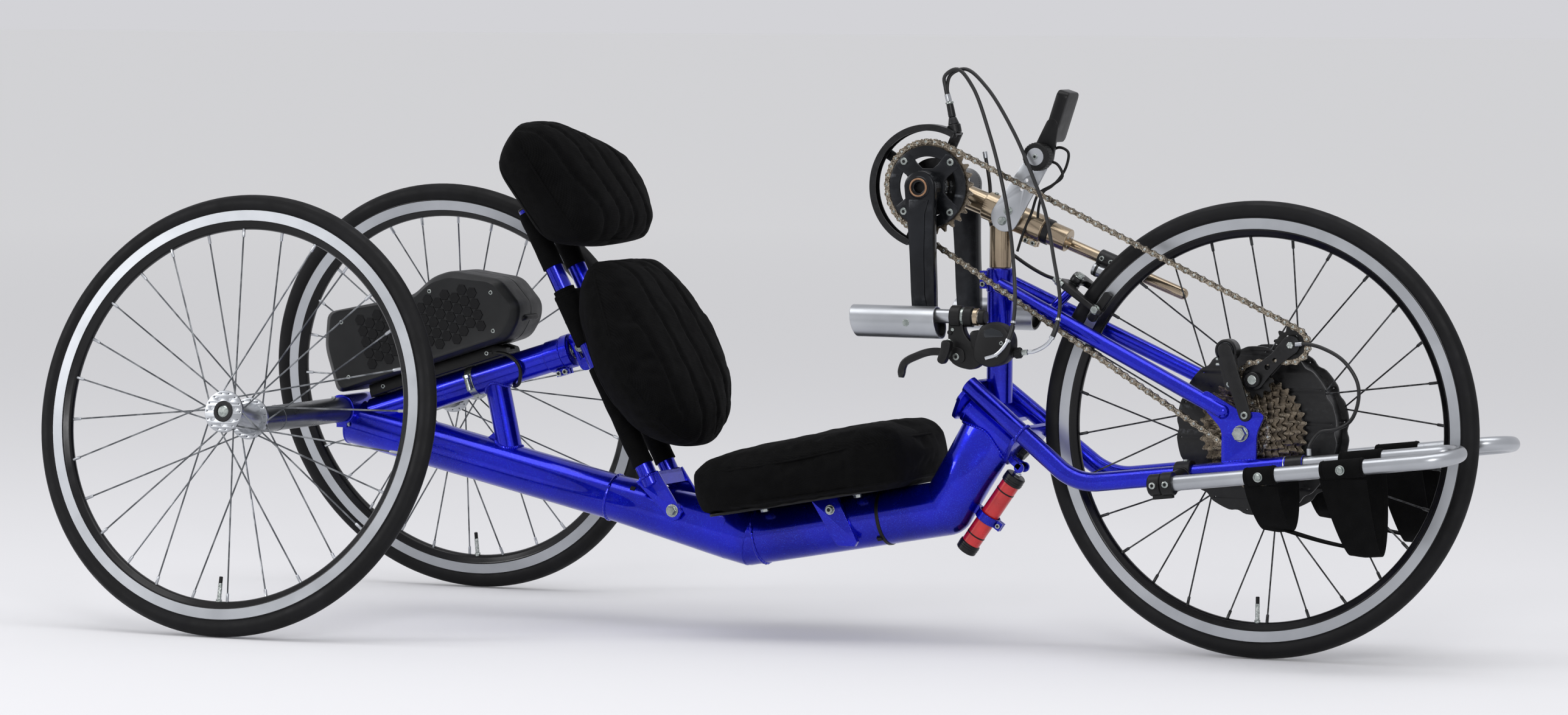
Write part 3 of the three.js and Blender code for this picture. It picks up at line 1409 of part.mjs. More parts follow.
function consoleBracket() {
  const plate = sideSlab(beltOutline(plateRoot.x, plateRoot.z, plateWidth / 2 + overrun, knobCentre.x,
    knobCentre.z, plateWidth / 2), -plateSide - plateThickness, -plateSide);
  const knob = crossRod(knobCentre.x, knobCentre.z, -plateSide - knobLength, -plateSide + fit, knobRadius,
    tubeSides);
  const hub = crossRod(knobCentre.x, knobCentre.z, -plateSide - knobLength - plateThickness,
    -plateSide + fit, knobHubRadius, barSides);
  const boss = rodBetween(shifted(plateRoot, 0, -plateThickness / 2, 0),
    shifted(plateRoot, 0, plateSide - boomSleeveRadius, 0), plateWidth / 4, pinSides);
  const boomRoom = rodBetween(onBoom(0), onBoom(collarEnd), boomSleeveRadius + fit, tubeSides);
  return cut(join(plate, knob, hub, boss), boomRoom);
}

add('console_bracket', consoleBracket(), 'silver');

// Display: a slim case that tilts on the knob's far side

const displayPivot = shifted(knobCentre, 0, plateSide, 0);

function displayBody() {
  const direction = sideDirection(displayLean);
  const far = stepAlong(displayPivot, direction, displayArmReach);
  const arm = sideSlab(beltOutline(displayPivot.x, displayPivot.z, displayPivotRadius + displayArmWall,
    far.x, far.z, displayPivotRadius), -plateSide + fit, -plateSide + fit + displayArmWall);
  const frame = frameAt(far, direction, sideways);
  const body = blockIn(frame, point(-displayLength * 0.3, -displayWidth / 2, -displayDepth / 2),
    point(displayLength * 0.7, displayWidth / 2, displayDepth / 2));
  return join(arm, body);
}

add('display', displayBody(), 'black');

// Chain guard: a hoop round the chainring, two stubs to the bottom bracket and the cable guide on top

function guardHoop() {
  const steps = 14;
  const arc = (radius, reverse) => Array.from({ length: steps + 1 }, (_, i) => {
    const share = reverse ? 1 - i / steps : i / steps;
    const angle = guardStart + (guardEnd - guardStart) * share;
    return [crankX + radius * Math.cos(angle), crankZ + radius * Math.sin(angle)];
  });
  const outline = [...arc(guardRadius, false), ...arc(guardRadius - guardWall, true)];
  return sideSlab(outline, chainLine - guardWidth / 2, chainLine + guardWidth / 2);
}

const guardArmSide = -shellHalfWidth + guardStubWall * 2;

function chainGuard() {
  const arms = [guardTopAngle, guardMiddleAngle, guardBottomAngle].flatMap((angle) => {
    const direction = sideDirection(angle);
    const root = stepAlong(crankCentre, direction, guardInnerRadius + fit);
    const tip = stepAlong(crankCentre, direction, guardRadius - guardWall / 2);
    const frame = frameAt(root, direction, sideways);
    const reach = tip.clone().sub(root).length();
    const half = guardStubWidth / 2;
    const radial = blockIn(frame, point(0, guardArmSide - guardStubWall, -half),
      point(reach, guardArmSide, half));
    const shelf = blockIn(frame, point(reach - guardStubWall, chainLine - guardWidth / 4, -half),
      point(reach, guardArmSide, half));
    return [radial, shelf];
  });
  const band = crossRod(crankX, crankZ, guardArmSide - guardStubWall, guardArmSide,
    guardInnerRadius + guardStubWidth, tubeSides);
  const guideFoot = stepAlong(crankCentre, sideDirection(guardTopAngle), guardRadius - guardWall);
  const guideSide = chainLine + guardWidth / 2;
  const foot = shifted(guideFoot, 0, guideSide, 0);
  const head = shifted(foot, -guideLength * guideTiltShare, 0, guideLength);
  const guide = rodBetween(foot, head, guideRadius, barSides, guideRadius / 2);
  const shellRoom = crossRod(crankX, crankZ, -crankFace, crankFace, shellRadius + fit, tubeSides);
  const boomRoom = rodBetween(onBoom(0), onBoom(boomLength), boomRadius + fit, tubeSides);
  return cut(join(guardHoop(), band, ...arms, guide), shellRoom, boomRoom);
}

add('chain_guard', chainGuard(), 'black');

// Toothed wheels: straight flanked teeth on the pitch circle of the chain

const pitchRadius = (teeth) => chainPitch / 2 / Math.sin(Math.PI / teeth);

const engagedTip = (teeth) =>
  pitchRadius(teeth) * Math.cos(Math.PI / teeth) - chainPlateHeight / 2 - chainClearance;

function toothedOutline(teeth, start, engaged) {
  const root = engaged ? engagedTip(teeth) - toothHeight / 2 : pitchRadius(teeth) - toothRoot;
  const tip = engaged ? engagedTip(teeth) : root + toothHeight + toothRoot / 2;
  const turn = 2 * Math.PI / teeth;
  return Array.from({ length: teeth }, (_, i) => {
    const middle = start + turn * i;
    return [[root, -0.5], [tip, 0]]
      .map(([radius, share]) => [radius * Math.cos(middle + share * turn),
        radius * Math.sin(middle + share * turn)]);
  }).flat();
}

const toothed = (x, z, teeth, start, low, high, engaged) =>
  sideSlab(toothedOutline(teeth, start, engaged).map(([dx, dz]) => [x + dx, z + dz]), low, high);

// Chain route: chainring, over the tension pulley, round the guide pulley, under the cog and back.
// Each wheel is [x, z, pitch radius, turning way]; a way of 1 is clockwise from the near side.

const ringRadius = pitchRadius(ringTeeth);
const cogRadius = pitchRadius(cogTeeth);
const pulleyRadius = pitchRadius(pulleyTeeth);
const chainWheels = [
  [crankX, crankZ, ringRadius, 1],
  [tensionX, tensionZ, pulleyRadius, 1],
  [guideX, guideZ, pulleyRadius, -1],
  [0, wheelRadius, cogRadius, 1],
];

// The contact angles of the straight run that leaves one wheel and meets the next
function runBetween([x1, z1, r1, way1], [x2, z2, r2, way2]) {
  const heading = Math.atan2(z2 - z1, x2 - x1);
  const lift = Math.acos((way1 * r1 - way2 * r2) / Math.hypot(x2 - x1, z2 - z1));
  const normal = heading + lift;
  return [way1 > 0 ? normal : normal + Math.PI, way2 > 0 ? normal : normal + Math.PI];
}

function chainCorners() {
  const runs = chainWheels.map((wheel, i) => runBetween(wheel, chainWheels[(i + 1) % chainWheels.length]));
  const places = [];
  chainWheels.forEach(([x, z, r, way], i) => {
    const arrive = runs[(i + chainWheels.length - 1) % chainWheels.length][1];
    const leave = runs[i][0];
    const turn = way > 0 ? arrive - leave : leave - arrive;
    const sweep = ((turn % (2 * Math.PI)) + 2 * Math.PI) % (2 * Math.PI);
    const steps = Math.max(2, Math.round(sweep * r / chainPitch * 4));
    for (let k = 0; k <= steps; k += 1) {
      const angle = arrive - way * sweep * k / steps;
      places.push(new THREE.Vector2(x + r * Math.cos(angle), z + r * Math.sin(angle)));
    }
  });
  return places;
}

// The chain is one closed ribbon with wide and narrow links in turn, and a station at each pin of the bends
function chainBody() {
  const corners = chainCorners();
  const lengths = corners.map((p, i) => p.distanceTo(corners[(i + 1) % corners.length]));
  const total = lengths.reduce((sum, length) => sum + length);
  const links = Math.round(total / chainPitch / 2) * 2;
  const at = (distance) => {
    let left = ((distance % total) + total) % total;
    let i = 0;
    while (left > lengths[i]) {
      left -= lengths[i];
      i += 1;
    }
    return corners[i].clone().lerp(corners[(i + 1) % corners.length], left / lengths[i]);
  };
  const heading = (distance) =>
    at(distance + chainPitch / 4).sub(at(distance - chainPitch / 4)).normalize();
  const pins = Array.from({ length: links }, (_, i) => total * i / links);
  const straight = (distance) =>
    heading(distance - chainPitch * 2).dot(heading(distance + chainPitch * 2)) > straightRunShare;
  const stations = pins.filter((distance, i) => i % 2 === 0 || !straight(distance));
  const positions = [];
  for (let i = 0; i < stations.length; i += 1) {
    const here = at(stations[i]);
    const ahead = heading(stations[i]);
    const half = chainPlateHeight / 2;
    const side = (i % 2 ? chainPlateWidth : chainInnerWidth) / 2;
    for (const [rise, y] of [[-half, -side], [half, -side], [half, side], [-half, side]]) {
      positions.push(here.x - ahead.y * rise, chainLine + y, here.y + ahead.x * rise);
    }
  }
  const index = [];
  for (let i = 0; i < stations.length; i += 1) {
    for (let k = 0; k < 4; k += 1) {
      const a = i * 4 + k;
      const b = i * 4 + (k + 1) % 4;
      const c = ((i + 1) % stations.length) * 4 + (k + 1) % 4;
      const d = ((i + 1) % stations.length) * 4 + k;
      index.push(a, b, c, a, c, d);
    }
  }
  const geometry = new THREE.BufferGeometry();
  geometry.setAttribute('position', new THREE.Float32BufferAttribute(positions, 3));
  geometry.setIndex(index);
  return solid(geometry);
}

add('chain', chainBody(), 'steel');

// The teeth of a wheel that carries the chain stop short of the ribbon, which fills the gaps of a chain
function chainring() {
  const teeth = toothed(crankX, crankZ, ringTeeth, 0, chainLine - ringThickness / 2,
    chainLine + ringThickness / 2, true);
  const hole = crossRod(crankX, crankZ, chainLine - ringThickness, chainLine + ringThickness,
    ringInnerRadius, ringSteps);
  return cut(teeth, hole);
}

add('chainring', chainring(), 'steel');

function crankArm(side) {
  const outer = side * crankFace;
  const inner = side * (crankFace - crankThickness);
  const [low, high] = [outer, inner].sort((a, b) => a - b);
  const waist = between(crankCentre, point(pedalX, 0, pedalZ), crankWaistShare);
  const upper = sideSlab(beltOutline(crankX, crankZ, crankHeadRadius, waist.x, waist.z,
    crankWaistRadius), low, high);
  const lower = sideSlab(beltOutline(waist.x, waist.z, crankWaistRadius, pedalX, pedalZ,
    crankEndRadius), low, high);
  const hole = crossRod(crankX, crankZ, ...[outer + side * overrun, outer - side * crankHoleDepth]
    .sort((a, b) => a - b), crankHoleRadius, barSides);
  const eye = crossRod(pedalX, pedalZ, -crankFace * 2, crankFace * 2, room(pedalRadius), barSides);
  return { body: join(upper, lower), holes: [hole, eye] };
}

function crankRight() {
  const { body, holes } = crankArm(-1);
  const armLow = chainLine - ringThickness / 2 - fit - spiderThickness;
  const armHigh = armLow + spiderThickness;
  const arms = Array.from({ length: spiderArms }, (_, i) => {
    const direction = sideDirection(Math.PI / 4 + i * 2 * Math.PI / spiderArms);
    const frame = frameAt(point(crankX, 0, crankZ), direction, sideways);
    return blockIn(frame, point(0, armLow, -spiderArmWidth / 2),
      point(ringInnerRadius + toothRoot, armHigh, spiderArmWidth / 2));
  });
  const ring = cut(
    crossRod(crankX, crankZ, armLow, armHigh, ringInnerRadius + toothRoot, ringSteps),
    crossRod(crankX, crankZ, armLow - overrun, armHigh + overrun, ringInnerRadius - toothRoot,
      ringSteps),
  );
  const hub = crossRod(crankX, crankZ, -crankFace + crankThickness / 2, armHigh, spiderHubRadius,
    tubeSides);
  const socket = crossRod(crankX, crankZ, -crankFace + crankThickness / 2 + overrun, 0,
    spindleRadius + fit, tubeSides);
  return cut(join(body, ring, hub, ...arms), socket, ...holes);
}

function crankLeft() {
  const { body, holes } = crankArm(1);
  const spindle = crossRod(crankX, crankZ, -crankFace + crankThickness / 2 + overrun + fit,
    crankFace - crankThickness / 2, spindleRadius, tubeSides);
  const collar = crossRod(crankX, crankZ, shellHalfWidth + cupWidth + fit * 2,
    crankFace - crankThickness / 2, spiderHubRadius, tubeSides);
  return cut(join(body, spindle, collar), ...holes);
}

add('crank_r', crankRight(), 'crank');
add('crank_l', crankLeft(), 'crank');

// Cassette: nine cogs on a core, the third smallest in the chain's plane

function cassette() {
  const cogs = cassetteTeeth.map((teeth, i) => {
    const y = chainLine + (workingCog - i) * cogSpacing;
    return toothed(0, wheelRadius, teeth, i, y - cogThickness / 2, y + cogThickness / 2, i === workingCog);
  });
  const outer = chainLine + (workingCog - cassetteTeeth.length) * cogSpacing;
  const core = crossRod(0, wheelRadius, outer, cassetteInner, cassetteCoreRadius, pinSides);
  const bore = crossRod(0, wheelRadius, outer - overrun, cassetteInner + overrun, room(axleRadius));
  return cut(join(core, ...cogs), bore);
}

add('cassette', cassette(), 'steel');

// Derailleur: fixed knuckle, cage with two side plates, guide pulley and tension pulley

function pulley(x, z) {
  const wheel = toothed(x, z, pulleyTeeth, 0, chainLine - pulleyThickness / 2,
    chainLine + pulleyThickness / 2, true);
  const bore = crossRod(x, z, chainLine - pulleyThickness, chainLine + pulleyThickness,
    room(pulleyPinRadius, pinSides), pinSides);
  return cut(wheel, bore);
}

add('guide_pulley', pulley(guideX, guideZ), 'black');
add('tension_pulley', pulley(tensionX, tensionZ), 'black');

const cageNear = chainLine - cageGap / 2;
const cageFar = chainLine + cageGap / 2;
const cageOuter = cageNear - cageWall;

function derailleurCage() {
  const outline = beltOutline(guideX, guideZ, cageEndRadius, tensionX, tensionZ, cageEndRadius);
  const plates = [
    sideSlab(outline, cageOuter, cageNear),
    sideSlab(outline, cageFar, cageFar + cageWall),
  ];
  const pins = [[guideX, guideZ], [tensionX, tensionZ]]
    .map(([x, z]) => crossRod(x, z, cageOuter, cageFar + cageWall, pulleyPinRadius, pinSides));
  return join(...plates, ...pins);
}

add('derailleur_cage', derailleurCage(), 'black');

// The moving knuckle carries the cage; the fixed one hangs on the dropout and stops short of it
const knuckleLow = cageOuter - fit - knuckleArm;

function derailleurLink() {
  const boss = crossRod(guideX, guideZ, knuckleLow, cageOuter - fit, knuckleRadius * 0.7, barSides);
  const nose = crossRod(guideX, guideZ, knuckleLow - fit * 4, knuckleLow + fit, knuckleRadius * 0.4,
    pinSides);
  return join(boss, nose);
}

add('derailleur_link', derailleurLink(), 'black');

function derailleurKnuckle() {
  const outer = knuckleLow;
  const hub = crossRod(knuckleX, knuckleZ, outer - knuckleArm, outer - knuckleArm + knuckleWidth,
    knuckleRadius, tubeSides);
  const link = sideSlab(beltOutline(knuckleX, knuckleZ, knuckleRadius * 0.8, linkX, linkZ,
    knuckleRadius * 0.5), outer - knuckleArm, outer);
  const hanger = sideSlab(beltOutline(knuckleX, knuckleZ, knuckleRadius * 0.6, hangerX, hangerZ,
    knuckleRadius * 0.5), -dropoutOutside - fit - knuckleArm / 2, -dropoutOutside - fit);
  return join(hub, link, hanger);
}

add('derailleur_knuckle', derailleurKnuckle(), 'black');

// Rim brake arms: each hangs on the brake post and carries its own pad

function brakeArm(side) {
  const layer = side > 0 ? [fit, brakeArmThickness] : [-brakeArmThickness, -fit];
  const gap = tyreSection / 2 + brakeTyreGap;
  const padRadius = rimRadius - trackDepth / 2;
  const frame = frameAt(onBrake(0), brakeDirection, sideways);
  const outline = [
    [brakePivotReach - brakeArmWidth / 2, -brakeArmWidth / 2],
    [brakePivotReach + brakeArmWidth / 2, -brakeArmWidth / 2],
    [brakePivotReach + brakeArmWidth, gap * 1.2], [brakePivotReach + brakeArmWidth / 3, gap + brakeArmWidth],
    [wheelRadius - tyreSection / 2, gap + brakeArmWidth * 0.8],
    [padRadius - brakePadHeight, gap + brakeArmWidth * 0.5], [padRadius - brakePadHeight, gap],
    [wheelRadius, gap], [brakePivotReach - brakeArmWidth / 2, gap * 0.7],
  ].map(([r, y]) => new THREE.Vector2(r, side * y));
  const [low, high] = layer;
  const arm = slabIn(frame, outline, -high, -low);
  const padInner = rimWidth / 2 + brakePadGap;
  const padRun = [padInner, padInner + brakePadWidth].map((y) => side * y).sort((a, b) => a - b);
  const pad = blockIn(frame, point(padRadius - brakePadHeight / 2, padRun[0], -brakePadLength / 2),
    point(padRadius + brakePadHeight / 2, padRun[1], brakePadLength / 2));
  const stemRun = [padInner + brakePadWidth / 2, gap + brakeArmWidth / 2].map((y) => side * y)
    .sort((a, b) => a - b);
  const stem = rodBetween(onBrake(padRadius, (low + high) / 2, stemRun[0]),
    onBrake(padRadius, (low + high) / 2, stemRun[1]), brakePadHeight / 2, pinSides);
  const bore = rodBetween(onBrake(brakePivotReach, -brakeArmThickness * 3),
    onBrake(brakePivotReach, brakeArmThickness * 3), brakePivotRadius + fit, pinSides);
  return cut(join(arm, pad, stem), bore);
}

add('brake_arm_r', brakeArm(-1), 'black');
add('brake_arm_l', brakeArm(1), 'black');

// Handles: a grip and a bar on a spindle, mirrored and turned about on the far side

function handleBody(side, facing) {
  const inner = side * (crankFace - crankThickness - overrun);
  const spindle = crossRod(pedalX, pedalZ, ...[inner, side * gripSide].sort((a, b) => a - b), pedalRadius,
    barSides);
  const collar = crossRod(pedalX, pedalZ, ...[side * (crankFace + fit), side * gripSide]
    .sort((a, b) => a - b), pedalRadius * 1.6, barSides);
  const rear = pedalX - facing * gripRear;
  const front = pedalX + facing * gripFront;
  const slant = facing * gripSlant;
  const outline = [
    [rear - slant / 2, gripRadius], [front - slant / 2, gripRadius],
    [front + slant / 2, -gripRadius], [rear + slant / 2, -gripRadius],
  ].map(([x, z]) => [x, pedalZ + z]);
  const grip = rodBetween(point(rear - slant, side * gripSide, pedalZ),
    point(front + slant, side * gripSide, pedalZ), gripRadius, tubeSides)
    .intersect(sideSlab(outline, side * gripSide - gripRadius * 2, side * gripSide + gripRadius * 2));
  const barEnd = pedalX + facing * (barReach + barCapLength);
  const bar = rodBetween(point(pedalX, side * gripSide, pedalZ + barRise),
    point(barEnd, side * gripSide, pedalZ + barRise), barRadius, barSides);
  const cap = rodBetween(point(barEnd - facing * barCapLength, side * gripSide, pedalZ + barRise),
    point(barEnd, side * gripSide, pedalZ + barRise), barCapRadius, barSides);
  return side < 0 ? join(spindle, collar, grip, bar, cap) : join(spindle, collar, grip);
}

add('handle_r', handleBody(-1, 1), 'silver');
add('handle_l', handleBody(1, -1), 'silver');

// Controls on the near bar: lever body with its clamp, shifter sleeve and pod, blade and paddle

const barLine = (forward) => point(pedalX + forward, -gripSide, pedalZ + barRise);
const leverPivot = point(pedalX + leverPivotForward, -gripSide, pedalZ - leverPivotDrop);

function controlBody() {
  const clamp = rodBetween(barLine(controlClampStart), barLine(controlClampStart + controlClampLength),
    controlClampRadius, tubeSides);
  const sleeveFrom = controlClampStart + controlClampLength - fit;
  const sleeve = rodBetween(barLine(sleeveFrom), barLine(sleeveFrom + shifterSleeveLength),
    shifterSleeveRadius, tubeSides);
  const neck = sideSlab([
    [pedalX + controlClampStart, pedalZ], [pedalX + sleeveFrom + shifterSleeveLength, pedalZ],
    [pedalX + sleeveFrom + podHeight, pedalZ - podDrop], [pedalX + controlClampStart, pedalZ - podDrop],
  ], -gripSide - podWidth / 4, -gripSide + podWidth / 4);
  const podBack = pedalX + controlClampStart;
  const pod = sideSlab([
    [podBack, pedalZ - podDrop - podHeight * 0.1],
    [podBack + podLength * 0.36, pedalZ - podDrop + podHeight * 0.5],
    [podBack + podLength * 0.76, pedalZ - podDrop + podHeight * 0.75],
    [podBack + podLength, pedalZ - podDrop + podHeight * 0.35],
    [podBack + podLength * 0.7, pedalZ - podDrop - podHeight * 0.3],
    [podBack + podLength * 0.28, pedalZ - podDrop - podHeight * 0.5],
  ], -gripSide - podWidth / 2, -gripSide + podWidth / 2);
  const barrel = rodBetween(point(podBack + podLength * 0.9, -gripSide, pedalZ - podDrop + podHeight * 0.1),
    point(podBack + podLength + barrelLength, -gripSide, pedalZ - podDrop + podHeight * 0.2),
    barrelRadius, barSides);
  const bladeRoom = crossRod(leverPivot.x, leverPivot.z, -gripSide - leverWidth / 2 - fit,
    -gripSide + leverWidth / 2 + fit, leverPivotRadius * 2.2, tubeSides);
  const pin = crossRod(leverPivot.x, leverPivot.z, -gripSide - podWidth / 4, -gripSide + podWidth / 4,
    clevisPinRadius / 2, pinSides);
  const barHole = rodBetween(barLine(0), barLine(barReach), room(barRadius, tubeSides), tubeSides);
  const paddleRoom = crossRod(paddlePivot.x, paddlePivot.z, paddlePivot.y - paddleWidth / 2 - fit,
    paddlePivot.y + paddleWidth / 2 + fit, paddleWall * 1.2, barSides);
  return join(cut(join(clamp, sleeve, neck, pod, barrel), barHole, bladeRoom, paddleRoom), pin);
}

const paddlePivot = point(pedalX + paddleForward + overrun, -gripSide - podWidth / 2 - paddleWidth / 2
  - fit, pedalZ - paddleDrop);
add('control_body', controlBody(), 'black');

function brakeLever() {
  const root = leverPivot;
  const knee = shifted(root, -leverLength * leverKneeShare, 0, leverThickness * 0.4);
  const tip = shifted(root, -leverLength, 0, -leverTipDrop);
  const hook = shifted(tip, -leverThickness * 0.3, 0, -leverThickness * 1.6);
  const half = leverWidth / 2;
  const span = (a, ra, b, rb) => sideSlab(beltOutline(a.x, a.z, ra, b.x, b.z, rb, 4),
    -gripSide - half, -gripSide + half);
  const eye = leverPivotRadius;
  const blade = join(span(root, eye, knee, leverThickness / 2),
    span(knee, leverThickness / 2, tip, leverThickness / 2.4),
    span(tip, leverThickness / 2.4, hook, leverThickness / 2.6));
  const hole = crossRod(root.x, root.z, -gripSide - leverWidth, -gripSide + leverWidth,
    room(clevisPinRadius / 2, pinSides), pinSides);
  return cut(blade, hole);
}

add('brake_lever', brakeLever(), 'black');

function shiftPaddle() {
  const tip = shifted(paddlePivot, -paddleLength * 0.3, 0, -paddleLength);
  return sideSlab(beltOutline(paddlePivot.x, paddlePivot.z, paddleWall, tip.x, tip.z, paddleWall * 0.8, 4),
    paddlePivot.y - paddleWidth / 2, paddlePivot.y + paddleWidth / 2);
}

add('shift_paddle', shiftPaddle(), 'black');

// Footrests: a U of tube whose inner leg slides in the lower stay and whose outer leg ends in a clamp

const footDirection = stayForward;
const innerLegSlope = (side) => {
  const [, turn, end] = lowerStayLine(side);
  return end.clone().sub(turn).normalize();
};

function footrest(side) {
  const along = innerLegSlope(side);
  const end = lowerStayLine(side)[2];
  const innerFront = stepAlong(end, along, (footFrontX - end.x) / along.x);
  const outer = (x) => point(x, side * footSpread, stayHeightAt(x) - footDrop);
  const corners = [outer(footRearX), outer(footFrontX), innerFront, stepAlong(end, along, -footInset)];
  const radius = (footSpread - Math.abs(innerFront.y)) / 2;
  return roundedStations(corners, radius - fit, 5);
}

const innerLegY = (x) => lowerStayTurnSpread + (lowerStayFrontSpread - lowerStayTurnSpread)
  * (x - lowerStayTurn.x) / (stayFront.x - lowerStayTurn.x);
const footTube = (side, radius, sides = barSides) => tubeOn(footrest(side), radius, sides);

function footClamp(side) {
  const outer = point(footRearX, side * footSpread, stayHeightAt(footRearX) - footDrop);
  const stayLine = lowerStayLine(side);
  const along = innerLegSlope(side);
  const reach = (footRearX - stayLine[1].x) / along.x;
  const onStay = stepAlong(stayLine[1], along, reach);
  const socket = longRod(outer, footDirection, footClampLength / 2, footClampLength / 3, footClampRadius,
    barSides);
  const ring = longRod(onStay, along, footClampLength / 4, footClampLength / 4,
    lowerStayRadius + slingCollar, barSides);
  const web = rodBetween(outer, onStay, footClampRadius * 0.8, pinSides);
  const bolt = crossRod(outer.x, outer.z, ...[side * footSpread, side * (footSpread + footClampRadius
    + slingCollar)].sort((a, b) => a - b), footClampBolt, 6);
  const tubeRoom = longRod(outer, footDirection, fit, footClampLength, room(footTubeRadius), barSides);
  return cut(join(socket, ring, web, bolt), stayRoomAt(side), tubeRoom);
}

// Slings: two sagging bands between the legs, joined under the foot by a strap
function footSling(side) {
  const outer = footSpread;
  const band = (x, width, sag) => {
    const start = innerLegY(x);
    const line = (offset) => Array.from({ length: slingSteps + 1 }, (_, i) => {
      const share = i / slingSteps;
      const y = start + (outer - start) * share;
      const hang = Math.sin(Math.PI * share) ** 0.6 * sag;
      const drop = footDrop * share + lowerStayRadius + fit;
      return new THREE.Vector2(y, stayHeightAt(x) - drop - hang + offset);
    });
    const outline = [...line(0), ...line(-slingWall).reverse()];
    const frame = frameAt(point(x, 0, 0), point(0, side, 0), upward);
    return slabIn(frame, outline, -width / 2, width / 2);
  };
  const collar = (x, y, width) => {
    const drop = y === outer ? footDrop : 0;
    const centre = point(x, side * y, stayHeightAt(x) - drop);
    return longRod(centre, footDirection, width / 2, width / 2, footTubeRadius + slingCollar, pinSides);
  };
  const bands = [
    band(calfSlingX, calfSlingWidth, calfSlingSag), band(heelSlingX, heelSlingWidth, heelSlingSag),
  ];
  const collars = [
    collar(calfSlingX, outer, calfSlingWidth * 0.8), collar(heelSlingX, outer, heelSlingWidth * 0.7),
    collar(heelSlingX, innerLegY(heelSlingX), heelSlingWidth * 0.7),
  ];
  const middle = side * (lowerStayFrontSpread + outer) / 2;
  const low = (x, sag) => point(x, middle, stayHeightAt(x) - lowerStayRadius - footDrop / 2 - sag
    - slingWall / 2);
  const strap = rodBetween(low(calfSlingX, calfSlingSag), low(heelSlingX, heelSlingSag), slingWall * 2, 4);
  const outerLeg = longRod(point(heelSlingX, side * outer, stayHeightAt(heelSlingX) - footDrop),
    footDirection, heelSlingX, heelSlingWidth, room(footTubeRadius), barSides);
  const [, turn, end] = lowerStayLine(side);
  const innerLeg = longRod(end, end.clone().sub(turn).normalize(), footInset, heelSlingX,
    room(footTubeRadius), barSides);
  return cut(join(...bands, ...collars, strap), outerLeg, innerLeg, stayRoomAt(side));
}

for (const [side, suffix] of [[-1, 'r'], [1, 'l']]) {
  add(`footrest_${suffix}`, footTube(side, footTubeRadius), 'aluminium');
  add(`foot_clamp_${suffix}`, footClamp(side), 'black');
  add(`foot_sling_${suffix}`, footSling(side), 'cloth');
}

// Cables

const cables = {
  brake_cable: brakeCablePlaces,
  shift_cable: shiftCablePlaces,
  caliper_cable: caliperCablePlaces,
  derailleur_cable: derailleurCablePlaces,
};
for (const [name, places] of Object.entries(cables)) {
  add(name, cableOn(places.map((place) => point(...place))), 'black');
}

// The origin moves to the middle of the overall length

const rearReach = -wheelbase - tyreRingRadius - tyreSection / 2 * Math.cos(camber);
const frontReach = footFrontX + footTubeRadius;
model.position.x = -(rearReach + frontReach) / 2;

export default model;
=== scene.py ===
"""The looks of the lean-steer handcycle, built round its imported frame.

Pieces are drawn in millimetres with x = 0 at the front axle and z = 0 on the ground, as the frame's own
source is, and TO_ROW takes them to the row frame in metres."""

import math

import bmesh
import bpy
from mathutils import Matrix, Vector, noise
from mathutils.bvhtree import BVHTree


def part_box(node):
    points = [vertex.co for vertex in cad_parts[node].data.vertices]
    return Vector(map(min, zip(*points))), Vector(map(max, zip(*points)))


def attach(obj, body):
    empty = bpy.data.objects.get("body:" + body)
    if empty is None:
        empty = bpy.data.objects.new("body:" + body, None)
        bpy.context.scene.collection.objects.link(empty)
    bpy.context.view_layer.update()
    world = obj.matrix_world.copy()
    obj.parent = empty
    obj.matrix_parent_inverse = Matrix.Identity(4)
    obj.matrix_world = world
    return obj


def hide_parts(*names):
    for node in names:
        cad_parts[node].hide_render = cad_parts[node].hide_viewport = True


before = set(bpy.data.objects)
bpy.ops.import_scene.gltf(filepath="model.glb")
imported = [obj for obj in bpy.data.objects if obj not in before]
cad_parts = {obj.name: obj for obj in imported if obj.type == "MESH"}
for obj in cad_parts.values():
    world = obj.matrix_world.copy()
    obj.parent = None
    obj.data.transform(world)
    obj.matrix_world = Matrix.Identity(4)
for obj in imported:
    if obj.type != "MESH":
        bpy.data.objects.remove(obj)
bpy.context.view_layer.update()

MM = 0.001
axle_low, axle_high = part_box("front_axle")
TO_ROW = Matrix.Translation(((axle_low.x + axle_high.x) / 2, 0, 0)) @ Matrix.Scale(MM, 4)
SIDES = (-1, 1)
SUFFIX = {-1: "r", 1: "l"}
UP = Vector((0, 0, 1))
ACROSS = Vector((0, 1, 0))
AHEAD = Vector((1, 0, 0))
SHARP = math.radians(35)


def toward(angle):
    """The direction in the side view at that angle above ahead."""
    return Vector((math.cos(angle), 0, math.sin(angle)))


def upright(way):
    """A direction in the side view turned up by a quarter."""
    return Vector((-way.z, 0, way.x))


# Camera: where the photograph was taken from

PHOTO_WIDTH = 2576
FOCAL_PIXELS = 10258.07
SENSOR = 36
CAMERA_PLACE = Vector((3.43994, -7.7784, 0.8961))
CAMERA_YAW, CAMERA_DOWN, CAMERA_ROLL = 0.4187, 0.0607, 0.0063


